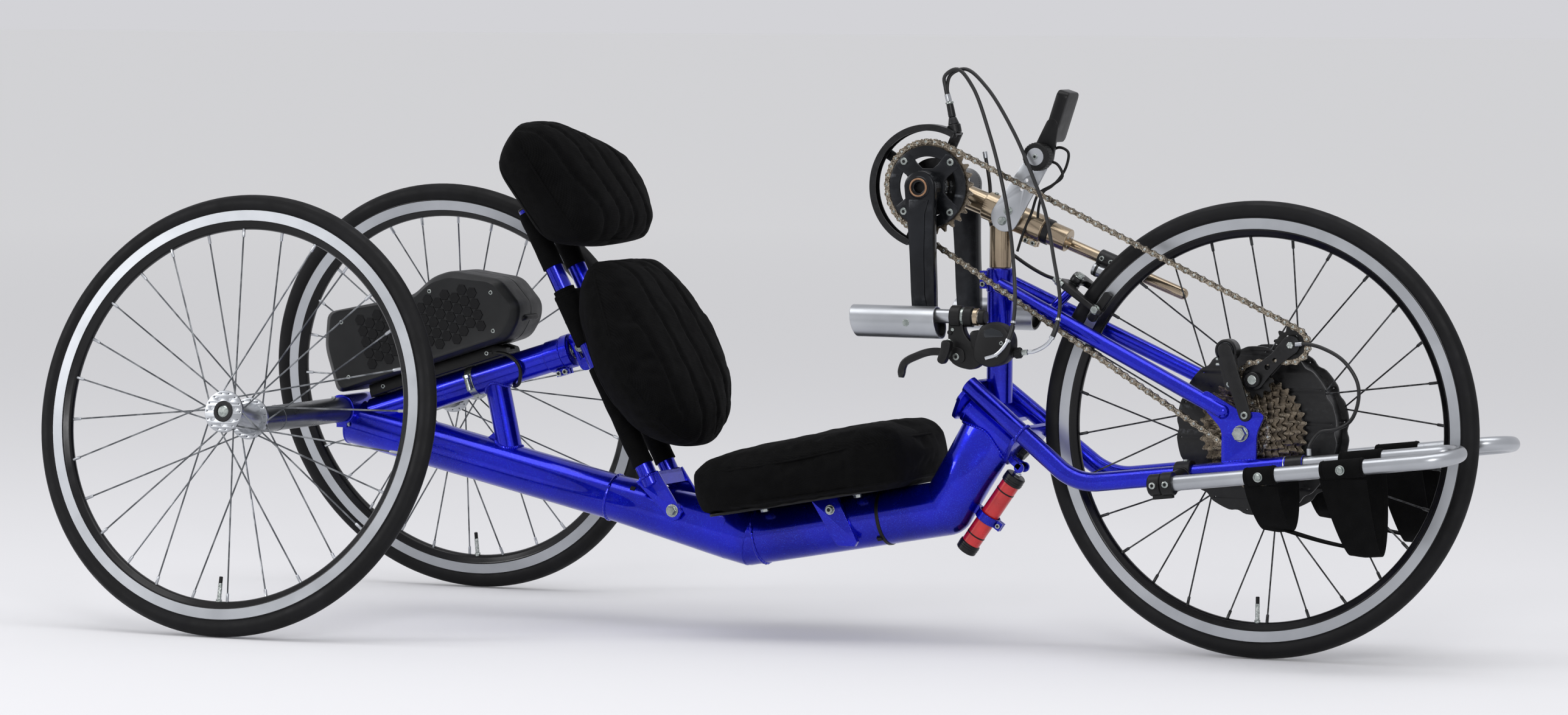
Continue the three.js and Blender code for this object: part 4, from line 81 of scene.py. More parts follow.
def make_camera():
    data = bpy.data.cameras.new("camera")
    data.sensor_width = SENSOR
    data.lens = FOCAL_PIXELS * SENSOR / PHOTO_WIDTH
    data.clip_start, data.clip_end = 0.5, 100
    ahead = Vector((
        -math.sin(CAMERA_YAW) * math.cos(CAMERA_DOWN),
        math.cos(CAMERA_YAW) * math.cos(CAMERA_DOWN),
        -math.sin(CAMERA_DOWN),
    ))
    right = ahead.cross(UP).normalized()
    up = right.cross(ahead)
    turned_right = right * math.cos(CAMERA_ROLL) + up * math.sin(CAMERA_ROLL)
    turned_up = up * math.cos(CAMERA_ROLL) - right * math.sin(CAMERA_ROLL)
    turn = Matrix((turned_right, turned_up, -ahead)).transposed().to_4x4()
    camera = bpy.data.objects.new("camera", data)
    camera.matrix_world = Matrix.Translation(CAMERA_PLACE) @ turn
    bpy.context.scene.collection.objects.link(camera)
    bpy.context.scene.camera = camera


make_camera()


# Materials: two tones through noise, roughness that varies with it, and a fine bump


def linear(code):
    """A written sRGB colour as linear light, opaque."""
    parts = [int(code[i:i + 2], 16) / 255 for i in (0, 2, 4)]
    return tuple(c / 12.92 if c <= 0.04045 else ((c + 0.055) / 1.055) ** 2.4 for c in parts) + (1,)


class Finish:
    """A procedural material and the shorthand for wiring one."""

    def __init__(self, name, roughness, metal=0.0, **sockets):
        self.data = bpy.data.materials.new(name)
        self.data.use_nodes = True
        self.tree = self.data.node_tree
        self.shader = self.tree.nodes["Principled BSDF"]
        self.shader.inputs["Roughness"].default_value = roughness
        self.shader.inputs["Metallic"].default_value = metal
        for socket, value in sockets.items():
            self.shader.inputs[socket.replace("_", " ")].default_value = value
        self.place = self.node("ShaderNodeTexCoord").outputs["Object"]
        self.height = None

    def node(self, kind, **inputs):
        made = self.tree.nodes.new(kind)
        for socket, value in inputs.items():
            socket = made.inputs[socket.replace("_", " ")]
            if isinstance(value, bpy.types.NodeSocket):
                self.tree.links.new(value, socket)
            else:
                socket.default_value = value
        return made

    def noise(self, scale, detail=4.0):
        return self.node("ShaderNodeTexNoise", Vector=self.place, Scale=scale, Detail=detail,
                         Roughness=0.55).outputs["Fac"]

    def ramp(self, factor, *stops):
        made = self.node("ShaderNodeValToRGB", Fac=factor)
        elements = made.color_ramp.elements
        while len(elements) < len(stops):
            elements.new(0.5)
        for element, (place, colour) in zip(elements, stops):
            element.position = place
            element.color = colour
        return made.outputs["Color"]

    def spread(self, factor, low, high, start=0.3, end=0.7):
        """The value from low to high while the factor goes from start to end."""
        return self.node("ShaderNodeMapRange", Value=factor, From_Min=start, From_Max=end, To_Min=low,
                         To_Max=high).outputs["Result"]

    def mix(self, factor, a, b):
        made = self.tree.nodes.new("ShaderNodeMix")
        made.data_type = "RGBA"
        for socket, value in ((made.inputs[0], factor), (made.inputs[6], a), (made.inputs[7], b)):
            if isinstance(value, bpy.types.NodeSocket):
                self.tree.links.new(value, socket)
            else:
                socket.default_value = value
        return made.outputs[2]

    def colour(self, source):
        self.tree.links.new(source, self.shader.inputs["Base Color"])

    def rough(self, source):
        self.tree.links.new(source, self.shader.inputs["Roughness"])

    def bump(self, source, strength, distance=0.0002):
        """A bump on top of the bumps given before it."""
        made = self.node("ShaderNodeBump", Height=source, Strength=strength, Distance=distance)
        if self.height is not None:
            self.tree.links.new(self.height, made.inputs["Normal"])
        self.height = made.outputs["Normal"]
        self.tree.links.new(self.height, self.shader.inputs["Normal"])

    def edges(self):
        """Goes from 0 on flat places to 1 on sharp outer edges."""
        return self.spread(self.node("ShaderNodeNewGeometry").outputs["Pointiness"], 0, 1, 0.53, 0.6)


def plain(name, dark, light, roughness, metal, scale, spread, grain, bump, wear_and_highlight=None, **sockets):
    """Two tones that drift into each other, with a third, lighter tone on the sharp edges in patches where
    one is given: partly rubbed-through wear and partly a painted highlight on the edges.
    """
    made = Finish(name, roughness, metal, **sockets)
    field = made.noise(scale)
    tone = made.ramp(field, (0.34, linear(dark)), (0.66, linear(light)))
    if wear_and_highlight:
        # The lighter edge tone is partly wear and partly a painted highlight where sharp edges catch light
        rubbed_and_lit = made.spread(made.noise(scale * 5), 0, 1, 0.45, 0.6)
        edge = made.node("ShaderNodeMath", Value=made.edges())
        edge.operation = "MULTIPLY"
        made.tree.links.new(rubbed_and_lit, edge.inputs[1])
        tone = made.mix(edge.outputs[0], tone, linear(wear_and_highlight))
    made.colour(tone)
    made.rough(made.spread(made.noise(scale * 3), roughness - spread, roughness + spread))
    made.bump(made.noise(grain, 2), bump)
    return made.data


def woven(name, dark, light, across, along, pitch, roughness, strength):
    """A cloth whose threads run on the two directions given, a pitch apart in millimetres."""
    made = Finish(name, roughness, Specular_IOR_Level=0.12)
    waves = []
    for direction in (across, along):
        dot = made.node("ShaderNodeVectorMath", Vector=made.place)
        dot.operation = "DOT_PRODUCT"
        dot.inputs[1].default_value = tuple(direction.normalized() * (2 * math.pi / (pitch * MM)))
        sine = made.node("ShaderNodeMath", Value=dot.outputs["Value"])
        sine.operation = "SINE"
        waves.append(sine.outputs[0])
    cross = made.node("ShaderNodeMath", Value=waves[0])
    cross.operation = "MULTIPLY"
    made.tree.links.new(waves[1], cross.inputs[1])
    weave = made.spread(cross.outputs[0], 0, 1, -1, 1)
    # The threads' tone is darker in the dips of the weave's bump: painted shade between the threads
    tone = made.ramp(weave, (0.25, linear(dark)), (0.8, linear(light)))
    dust = made.ramp(made.noise(18), (0.4, linear(dark)), (0.75, linear(light)))
    made.colour(made.mix(0.35, tone, dust))
    made.rough(made.spread(made.noise(60), roughness - 0.07, roughness + 0.05))
    made.bump(made.noise(220, 6), strength * 0.6, 0.0006)
    made.bump(weave, strength, 0.0004)
    return made.data


def paint(name, dark, light, flake):
    """Metallic paint under clear lacquer: flakes as fine bright cells over a slow change of tone."""
    roughness = 0.24
    made = Finish(name, roughness, 0.85, Coat_Weight=0.55, Coat_Roughness=0.04, Coat_IOR=1.5)
    tone = made.ramp(made.noise(9, 3), (0.3, linear(dark)), (0.7, linear(light)))
    cells = made.node("ShaderNodeTexVoronoi", Vector=made.place, Scale=1400.0).outputs["Color"]
    glint = made.node("ShaderNodeSeparateColor", Color=cells).outputs["Red"]
    made.colour(made.mix(made.spread(glint, 0, 0.5, 0.86, 1), tone, linear(flake)))
    made.rough(made.spread(made.noise(50), roughness - 0.05, roughness + 0.06))
    made.bump(made.noise(130, 2), 0.05, 0.0002)
    return made.data


BACK_ANGLE = math.radians(62.7)
BACK_UP = Vector((-math.cos(BACK_ANGLE), 0, math.sin(BACK_ANGLE)))
BACK_FORWARD = Vector((math.sin(BACK_ANGLE), 0, math.cos(BACK_ANGLE)))

# Dark and light tone, roughness, metal, noise scale, spread of roughness, grain, bump and edge tone, which is
# partly rubbed wear and partly painted highlight

PLAIN_LOOKS = {
    "nickel_plate": ("9c8c78", "b8a88f", 0.2, 0.95, 9, 0.04, 700, 0.02, "d8cfc0"),
    "bright_chrome": ("c4c8cc", "dcdfe2", 0.13, 1.0, 20, 0.03, 700, 0.015),
    "satin_aluminium": ("a9acb0", "bbbec2", 0.33, 0.95, 9, 0.04, 900, 0.04),
    "zinc_steel": ("7d8582", "b4bab6", 0.26, 0.92, 90, 0.1, 400, 0.12, "dde1de"),
    "chain_steel": ("3b352e", "736859", 0.28, 0.9, 120, 0.12, 500, 0.12, "c4baa9"),
    "black_metal": ("040405", "0b0b0d", 0.36, 0.3, 40, 0.1, 500, 0.1, "3a3c3f"),
    "rim_black": ("050506", "0d0d0f", 0.24, 0.4, 12, 0.06, 300, 0.05),
    "axle_grey": ("4a4d50", "63666a", 0.3, 0.85, 9, 0.05, 900, 0.04, "85888b"),
    "crank_grey": ("121316", "1e2024", 0.24, 0.6, 14, 0.05, 900, 0.03, "6a6d72"),
    "red_paint": ("a80a10", "cf1a1c", 0.3, 0.1, 30, 0.06, 300, 0.06),
    "bronze_ring": ("7d5a41", "b08b6e", 0.3, 0.85, 60, 0.08, 400, 0.08),
    "black_plastic": ("050505", "0c0c0d", 0.45, 0.0, 50, 0.08, 900, 0.2),
    "gloss_plastic": ("030304", "08080a", 0.34, 0.0, 30, 0.05, 300, 0.05),
    "case_plastic": ("101112", "191a1b", 0.42, 0.0, 22, 0.07, 1100, 0.3),
    "screen": ("0a0d10", "151a1f", 0.12, 0.0, 12, 0.03, 200, 0.02),
    "tyre_rubber": ("040405", "0a0a0d", 0.55, 0.0, 16, 0.1, 500, 0.3),
    "cable_rubber": ("040405", "0c0c0e", 0.38, 0.0, 60, 0.08, 700, 0.1),
}
EXTRA_SOCKETS = {
    "red_paint": {"Coat_Weight": 0.6},
    "black_plastic": {"Specular_IOR_Level": 0.3},
    "gloss_plastic": {"Specular_IOR_Level": 0.25},
    "case_plastic": {"Specular_IOR_Level": 0.35},
    "tyre_rubber": {"Specular_IOR_Level": 0.22},
}

# Dark and light tone, the two directions of the threads, pitch, roughness and bump

WOVEN_LOOKS = {
    "side_fabric": ("020202", "070708", ACROSS, BACK_UP, 1.6, 0.92, 0.5),
    "mesh_fabric": ("010101", "0a0a0b", ACROSS + BACK_UP, ACROSS - BACK_UP, 3.0, 0.94, 0.9),
    "webbing": ("020202", "09090a", AHEAD, ACROSS + UP, 1.8, 0.9, 0.6),
}

LOOKS = {"blue_paint": paint("blue_paint", "020596", "0512cc", "3058ff")}
for name, row in PLAIN_LOOKS.items():
    LOOKS[name] = plain(name, *row, **EXTRA_SOCKETS.get(name, {}))
for name, row in WOVEN_LOOKS.items():
    LOOKS[name] = woven(name, *row)


# Meshes: a shape gathers points and faces in millimetres, and becomes one piece on one body


class Shape:
    def __init__(self):
        self.points, self.faces, self.kinds = [], [], []

    def add(self, made, kind=0):
        points, faces = made
        base = len(self.points)
        self.points += [Vector(p) for p in points]
        self.faces += [tuple(base + i for i in face) for face in faces]
        self.kinds += [kind] * len(faces)
        return self


def piece(name, shape, body, *slots, replaces=None, bevel=0.0, move=None):
    """Makes the shape a mesh object that rides on the body, with the looks of the slots as its materials in
    order.
    """
    mesh = bpy.data.meshes.new(name)
    place = TO_ROW @ move if move else TO_ROW
    mesh.from_pydata([tuple(place @ p) for p in shape.points], [], shape.faces)
    for look in slots:
        mesh.materials.append(LOOKS[look])
    mesh.polygons.foreach_set("material_index", shape.kinds)
    held = bmesh.new()
    held.from_mesh(mesh)
    bmesh.ops.recalc_face_normals(held, faces=held.faces)
    held.to_mesh(mesh)
    held.free()
    mesh.polygons.foreach_set("use_smooth", [True] * len(mesh.polygons))
    mesh.set_sharp_from_angle(angle=SHARP)
    made = bpy.data.objects.new(name, mesh)
    bpy.context.scene.collection.objects.link(made)
    if bevel:
        edge = made.modifiers.new("edge", "BEVEL")
        edge.width = bevel * MM
        edge.segments = 2
        edge.limit_method = "ANGLE"
        edge.angle_limit = SHARP
        edge.harden_normals = True
    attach(made, body)
    if replaces:
        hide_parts(replaces)
    return made


def basis(axis):
    """Two directions square to an axis, and the axis itself."""
    axis = Vector(axis).normalized()
    side = axis.cross(UP)
    if side.length < 0.1:
        side = axis.cross(AHEAD)
    side.normalize()
    return side, axis.cross(side), axis


def angles(count, start=0.0, sweep=2 * math.pi):
    return [start + sweep * i / count for i in range(count)]


def lathe(profile, origin=(0, 0, 0), axis=ACROSS, steps=48, closed=False):
    """Turns (radius, along) pairs about an axis through the origin. A radius of zero is a pole."""
    u, v, w = basis(axis)
    origin = Vector(origin)
    points, rows = [], []
    for radius, along in profile:
        centre = origin + w * along
        if radius < 1e-6:
            rows.append([len(points)] * steps)
            points.append(centre)
        else:
            rows.append(list(range(len(points), len(points) + steps)))
            points += [centre + (u * math.cos(a) + v * math.sin(a)) * radius for a in angles(steps)]
    faces = []
    for low, high in zip(rows, rows[1:] + rows[:1] if closed else rows[1:]):
        for i in range(steps):
            j = (i + 1) % steps
            face = tuple(dict.fromkeys((low[i], low[j], high[j], high[i])))
            if len(face) > 2:
                faces.append(face)
    return points, faces


def rod(start, end, radius, steps=32, edge=0.6, end_radius=None):
    """A solid round bar from start to end with its two edges broken."""
    start, end = Vector(start), Vector(end)
    last = radius if end_radius is None else end_radius
    length = (end - start).length
    profile = [(0, 0), (radius - edge, 0), (radius, edge), (last, length - edge), (last - edge, length),
               (0, length)]
    return lathe(profile, start, end - start, steps)


def sleeve(start, end, radius, inner, steps=32, edge=0.6):
    """A round bar with a bore right through it."""
    start, end = Vector(start), Vector(end)
    length = (end - start).length
    profile = [(inner, 0), (radius - edge, 0), (radius, edge), (radius, length - edge),
               (radius - edge, length), (inner, length)]
    return lathe(profile, start, end - start, steps, True)


def add_bars(shape, origin, way, rows):
    """Round bars on one axis. A row gives start, end, radius, steps, edge and kind."""
    for start, end, radius, steps, edge, kind in rows:
        shape.add(rod(origin + way * start, origin + way * end, radius, steps, edge), kind)


def ball(centre, radius, steps=20):
    profile = [(radius * math.sin(a), -radius * math.cos(a)) for a in angles(steps // 2, 0, math.pi)]
    return lathe([(0, -radius)] + profile[1:] + [(0, radius)], centre, UP, steps)


def sweep(path, section, closed=False, start_up=None):
    """Carries a section along a path. section(i) gives the (side, up) pairs at point i."""
    count = len(path)
    path = [Vector(p) for p in path]
    ways = []
    for i in range(count):
        before = path[i - 1] if closed or i else path[i]
        after = path[(i + 1) % count] if closed or i + 1 < count else path[i]
        ways.append((after - before).normalized())
    up = Vector(start_up) if start_up else basis(ways[0])[1]
    points, rings = [], []
    for i, way in enumerate(ways):
        up = (up - way * up.dot(way)).normalized()
        side = up.cross(way)
        ring = section(i)
        rings.append(list(range(len(points), len(points) + len(ring))))
        points += [path[i] + side * a + up * b for a, b in ring]
    faces = []
    for low, high in zip(rings, rings[1:] + rings[:1] if closed else rings[1:]):
        size = len(low)
        faces += [(low[k], low[(k + 1) % size], high[(k + 1) % size], high[k]) for k in range(size)]
    if not closed:
        faces += [tuple(reversed(rings[0])), tuple(rings[-1])]
    return points, faces


def circle(radius, sides):
    return [(radius * math.cos(a), radius * math.sin(a)) for a in angles(sides)]


def tube(path, radius, sides=20, closed=False):
    radii = radius if isinstance(radius, (list, tuple)) else [radius] * len(path)
    return sweep(path, lambda i: circle(radii[i], sides), closed)


def curve_through(places, count):
    """Points on a smooth curve through places, evenly spaced, the way a held cable lies."""
    places = [Vector(p) for p in places]
    first = places[0] * 2 - places[1]
    last = places[-1] * 2 - places[-2]
    places = [first] + places + [last]
    fine = []
    steps = 16
    for a, b, c, d in zip(places, places[1:], places[2:], places[3:]):
        t0 = 0.0
        t1 = t0 + math.sqrt((b - a).length)
        t2 = t1 + math.sqrt((c - b).length)
        t3 = t2 + math.sqrt((d - c).length)
        for k in range(steps):
            t = t1 + (t2 - t1) * k / steps
            ab = a * ((t1 - t) / (t1 - t0)) + b * ((t - t0) / (t1 - t0))
            bc = b * ((t2 - t) / (t2 - t1)) + c * ((t - t1) / (t2 - t1))
            cd = c * ((t3 - t) / (t3 - t2)) + d * ((t - t2) / (t3 - t2))
            abc = ab * ((t2 - t) / (t2 - t0)) + bc * ((t - t0) / (t2 - t0))
            bcd = bc * ((t3 - t) / (t3 - t1)) + cd * ((t - t1) / (t3 - t1))
            fine.append(abc * ((t2 - t) / (t2 - t1)) + bcd * ((t - t1) / (t2 - t1)))
    fine.append(places[-2])
    return evenly(fine, count)


def evenly(line, count):
    """The line cut into count steps of equal length."""
    lengths = [(b - a).length for a, b in zip(line, line[1:])]
    total = sum(lengths)
    found, i, passed = [], 0, 0.0
    for k in range(count + 1):
        want = total * k / count
        while i < len(lengths) - 1 and passed + lengths[i] < want:
            passed += lengths[i]
            i += 1
        share = 0 if lengths[i] == 0 else (want - passed) / lengths[i]
        found.append(line[i].lerp(line[i + 1], min(share, 1)))
    return found


def rounded_path(corners, radius, steps=10):
    """A path whose inner corners are bends of that radius."""
    corners = [Vector(c) for c in corners]
    path = [corners[0]]
    for before, at, after in zip(corners, corners[1:], corners[2:]):
        into, out = (at - before).normalized(), (after - at).normalized()
        turn = into.angle(out)
        inward = (out - into).normalized()
        centre = at + inward * (radius / math.cos(turn / 2))
        arm = at - into * (radius * math.tan(turn / 2)) - centre
        axis = into.cross(out).normalized()
        path += [centre + Matrix.Rotation(turn * k / steps, 3, axis) @ arm for k in range(steps + 1)]
    return path + [corners[-1]]


def plate(outlines, low, high, origin=(0, 0, 0), x_axis=AHEAD, y_axis=UP, bevel=0.5):
    """Outlines, the first the rim and the others holes, made thick along x_axis cross y_axis."""
    data = bpy.data.curves.new("plate", "CURVE")
    data.dimensions = "2D"
    data.fill_mode = "BOTH"
    data.extrude = (high - low) / 2 - bevel
    data.bevel_depth = bevel
    data.bevel_resolution = 1
    for outline in outlines:
        line = data.splines.new("POLY")
        line.points.add(len(outline) - 1)
        for point, (x, y) in zip(line.points, outline):
            point.co = (x, y, 0, 1)
        line.use_cyclic_u = True
    holder = bpy.data.objects.new("plate", data)
    mesh = bpy.data.meshes.new_from_object(holder)
    x_axis, y_axis, origin = Vector(x_axis), Vector(y_axis), Vector(origin)
    z_axis = x_axis.cross(y_axis)
    middle = (low + high) / 2
    points = [origin + x_axis * v.co.x + y_axis * v.co.y + z_axis * (v.co.z + middle) for v in mesh.vertices]
    faces = [tuple(p.vertices) for p in mesh.polygons]
    bpy.data.objects.remove(holder)
    bpy.data.curves.remove(data)
    bpy.data.meshes.remove(mesh)
    return welded(points, faces)


def welded(points, faces):
    """The same faces with points that share a place made one."""
    gap = 1e-4
    known, where, kept = {}, [], []
    for p in points:
        key = tuple(round(c / gap) for c in p)
        if key not in known:
            known[key] = len(kept)
            kept.append(p)
        where.append(known[key])
    made = []
    for face in faces:
        face = tuple(dict.fromkeys(where[i] for i in face))
        if len(face) > 2:
            made.append(face)
    return kept, made


def side_plate(outlines, low, high, bevel=0.5):
    """A plate in the side view, thick from y = low to y = high."""
    return plate(outlines, -high, -low, bevel=bevel)


def disc(x, y, radius, steps=24):
    return [(x + radius * math.cos(a), y + radius * math.sin(a)) for a in angles(steps)]


def holes_round(x, y, reach, count, start, radius, steps):
    """Round holes spaced evenly on a circle."""
    places = [(x + reach * math.cos(a), y + reach * math.sin(a)) for a in angles(count, start)]
    return [disc(*place, radius, steps) for place in places]


def belt(x1, y1, r1, x2, y2, r2, steps=14):
    """A belt round two circles, as an outline of two arcs and their tangents."""
    heading = math.atan2(y2 - y1, x2 - x1)
    spread = math.acos((r1 - r2) / math.hypot(x2 - x1, y2 - y1))
    outline = []
    for x, y, r, start, end in (
        (x1, y1, r1, heading + spread, heading + 2 * math.pi - spread),
        (x2, y2, r2, heading - spread, heading + spread),
    ):
        outline += [(x + r * math.cos(start + (end - start) * k / steps),
                     y + r * math.sin(start + (end - start) * k / steps)) for k in range(steps + 1)]
    return outline


def block(origin, x_axis, y_axis, low, high):
    """A box in the frame of two directions, from one corner to the other."""
    x_axis, y_axis = Vector(x_axis), Vector(y_axis)
    z_axis = x_axis.cross(y_axis)
    corners = [(x, y, z) for x in (low[0], high[0]) for y in (low[1], high[1]) for z in (low[2], high[2])]
    points = [Vector(origin) + x_axis * x + y_axis * y + z_axis * z for x, y, z in corners]
    return points, [(0, 1, 3, 2), (4, 6, 7, 5), (0, 4, 5, 1), (2, 3, 7, 6), (0, 2, 6, 4), (1, 5, 7, 3)]


def loft(rings, closed=False):
    """A skin over rings of one count, capped at its ends, or with its last ring joined to the first."""
    rows, count = len(rings), len(rings[0])
    points = [p for ring in rings for p in ring]
    faces = []
    for k in range(rows if closed else rows - 1):
        low, high = k * count, (k + 1) % rows * count
        faces += [(low + i, low + (i + 1) % count, high + (i + 1) % count, high + i) for i in range(count)]
    if not closed:
        last = (rows - 1) * count
        faces += [tuple(reversed(range(count))), tuple(range(last, last + count))]
    return points, faces


def oval(centre, across, width, up, height, sides=32):
    return [centre + across * (width * math.cos(a)) + up * (height * math.sin(a)) for a in angles(sides)]


def hexagon_head(shape, centre, axis, across_flats, height, kind=0, washer=0.0):
    """A hexagon head with its top corners turned off, on a washer where one is given."""
    centre, axis = Vector(centre), Vector(axis).normalized()
    radius = across_flats / 2 / math.cos(math.pi / 6)
    if washer:
        thick = 1.4
        shape.add(rod(centre, centre + axis * thick, washer, 32, 0.3), kind)
        centre = centre + axis * thick
    profile = [(0, 0), (radius, 0), (radius, height * 0.78), (radius * 0.9, height), (0, height)]
    shape.add(lathe(profile, centre, axis, 6), kind)


def socket_head(shape, centre, axis, radius, height, kind=0, dark=0):
    """A round head with a hexagon socket in its end, whose floor takes the dark kind as painted shade."""
    centre, axis = Vector(centre), Vector(axis).normalized()
    well, floor, edge = radius * 0.5, height * 0.45, 0.5
    profile = [(0, 0), (radius, 0), (radius, height - edge), (radius - edge, height), (well, height),
               (well, floor)]
    shape.add(lathe(profile, centre, axis, 24), kind)
    # The socket's floor in a darker material is painted shade at the bottom of the recess
    shape.add(lathe([(well, floor), (0, floor)], centre, axis, 24), dark)


def weld(shape, start, way, radius, other, other_way, other_radius, size=2.6):
    """The bead where a tube of that radius, from start on way, runs into the side of another tube."""
    u, v, w = basis(way)
    start, other, other_way = Vector(start), Vector(other), Vector(other_way).normalized()
    line = []
    for a in angles(72):
        at = start + (u * math.cos(a) + v * math.sin(a)) * radius
        gap = at - other
        gap = gap - other_way * gap.dot(other_way)
        step = w - other_way * w.dot(other_way)
        qa, qb, qc = step.dot(step), 2 * gap.dot(step), gap.dot(gap) - other_radius ** 2
        root = qb * qb - 4 * qa * qc
        if root < 0:
            return
        line.append(at + w * ((-qb - math.sqrt(root)) / (2 * qa)))
    bead(shape, line, size)


def bead(shape, line, size, closed=True):
    """A welded bead with its small ripples along a line."""
    fine = evenly([Vector(p) for p in line] + ([Vector(line[0])] if closed else []), len(line) * 2)
    if closed:
        fine = fine[:-1]
    radii = [size * (0.86 + 0.16 * math.sin(i * 2.1)) for i in range(len(fine))]
    shape.add(tube(fine, radii, 8, closed))


def ring_bead(shape, centre, axis, radius, size):
    u, v, _ = basis(axis)
    bead(shape, [Vector(centre) + (u * math.cos(a) + v * math.sin(a)) * radius for a in angles(48)], size)


# Wheels: drawn about their own axle with the near side toward -Y, then set in place

WHEEL_RADIUS = 303.5
TYRE_SECTION = 24
RIM_INNER = 255.2
RIM_HALF = 10
TRACK_TOP, TRACK_DEPTH = 280.6, 14
WHEELBASE = 1352
HALF_TRACK = 340
CAMBER = math.radians(11)
TYRE_RING = WHEEL_RADIUS - TYRE_SECTION / 2
REAR_HUB_Z = TYRE_RING * math.cos(CAMBER) + TYRE_SECTION / 2
SPOKES = 28
SPOKE_RADIUS = 1.15
NIPPLE_RADIUS, NIPPLE_LENGTH = 2.1, 11
HUB_OUTER, HUB_INNER, HUB_HOLES = -35, 37, 25
REAR_LEAN, MOTOR_LEAN = math.radians(38), math.radians(13)
VALVE_LENGTH = 34
WHEEL_STEPS = 160
TYRE_PROFILE = [
    (276.5, -7.2), (280.5, -8.0), (282.6, -9.6), (284.4, -10.6), (287.6, -11.6), (291.5, -12), (295, -11.3),
    (297.2, -10.2), (297.9, -10.0), (299.6, -8.4), (301.2, -6.4), (302.4, -4.2), (303.2, -2.1),
    (WHEEL_RADIUS, 0),
]
RIM_PROFILE = [
    (277, -7.4), (281.2, -7.8), (282.2, -8.6), (282, -9.6), (281, -RIM_HALF), (266, -RIM_HALF),
    (264.6, -9.6), (263.8, -8.8), (258.6, -6.4), (256.2, -4.2), (255.3, -1.8), (RIM_INNER, 0),
]


def rear_place(side):
    place = Matrix.Translation((-WHEELBASE, side * HALF_TRACK, REAR_HUB_Z))
    place = place @ Matrix.Rotation(side * CAMBER, 4, "X")
    return place @ Matrix.Rotation(math.pi, 4, "Z") if side > 0 else place


def mirrored_profile(half):
    """A closed wheel profile from its near half, which ends on the middle plane."""
    return half + [(radius, -along) for radius, along in reversed(half) if along]


def make_tyre(name, body, place, node):
    shape = Shape().add(lathe(mirrored_profile(TYRE_PROFILE), steps=WHEEL_STEPS, closed=True))
    piece(name, shape, body, "tyre_rubber", replaces=node, move=place)


def make_rim(name, body, place, node):
    shape = Shape().add(lathe(mirrored_profile(RIM_PROFILE), steps=WHEEL_STEPS, closed=True))
    low, under, face = TRACK_TOP - TRACK_DEPTH, RIM_HALF - 0.5, RIM_HALF + 0.15
    for way in SIDES:
        track = [(TRACK_TOP, way * under), (TRACK_TOP, way * face), (low, way * face), (low, way * under)]
        shape.add(lathe(track, steps=WHEEL_STEPS, closed=True), 1)
    down = Vector((0, 0, -1))
    root, tip = RIM_INNER + 2, RIM_INNER - VALVE_LENGTH
    parts = ((root, RIM_INNER - 3, 4.2, 2), (root, tip + 9, 3, 2), (tip + 10, tip, 2.6, 3))
    for start, end, radius, kind in parts:
        shape.add(rod(down * start, down * end, radius, 20), kind)
    piece(name, shape, body, "rim_black", "satin_aluminium", "zinc_steel", "black_plastic", replaces=node,
          move=place)


def make_spokes(name, body, place, hole_circle, near, far, lean, look, nipple_look):
    """Spokes take the two flanges in turn and lean forward and back in pairs."""
    shape = Shape()
    for i in range(SPOKES):
        rim_angle = 2 * math.pi * (i + 0.25) / SPOKES
        hub_angle = rim_angle + (lean if i % 4 < 2 else -lean)
        flange = near if i % 2 else far
        side = math.copysign(1, flange) * 2.4
        root = Vector((hole_circle * math.cos(hub_angle), flange, hole_circle * math.sin(hub_angle)))
        tip = Vector((RIM_INNER * math.cos(rim_angle), side, RIM_INNER * math.sin(rim_angle)))
        way = (tip - root).normalized()
        shape.add(tube([root, tip], SPOKE_RADIUS, 8))
        nipple = tip - way * NIPPLE_LENGTH
        radii = [1.5, NIPPLE_RADIUS, NIPPLE_RADIUS, NIPPLE_RADIUS]
        places = [nipple, nipple + way, tip - way, tip + way * 2]
        shape.add(tube(places, radii, 10), 1)
    piece(name, shape, body, look, nipple_look, move=place)


def make_rear_hub(name, body, place, node):
    outer, inner, half = HUB_OUTER, HUB_INNER, 2.5
    shape = Shape()
    barrel = [(8, outer - 2), (21, outer - 2), (22, outer), (20.5, outer + 6), (17, outer + 12),
              (16.2, 0), (17, inner - 12), (20.5, inner - 6), (22, inner), (21, inner + 2), (8, inner + 2)]
    shape.add(lathe(barrel, steps=64, closed=True))
    for flange in (outer, inner):
        shift = math.pi * (flange > 0) / (SPOKES / 2)
        holes = holes_round(0, 0, HUB_HOLES, SPOKES // 2, shift, 1.5, 10)
        slots = holes_round(0, 0, 18.2, 7, 0.2, 2.9, 14)
        shape.add(side_plate([disc(0, 0, 28, 72)] + holes + slots, flange - half, flange + half, 0.7))
    shape.add(lathe([(9, outer - 4.4), (13.6, outer - 4.4), (14.4, outer - 3.6), (14.4, outer - 1),
                     (9, outer - 1)], steps=48, closed=True), 1)
    shape.add(lathe([(0, outer - 5.2), (6.4, outer - 5.2), (7.4, outer - 4.4), (8.6, outer - 3.4),
                     (8.6, outer), (0, outer)], steps=36), 2)
    piece(name, shape, body, "satin_aluminium", "black_metal", "zinc_steel", replaces=node, move=place,
          bevel=0.3)


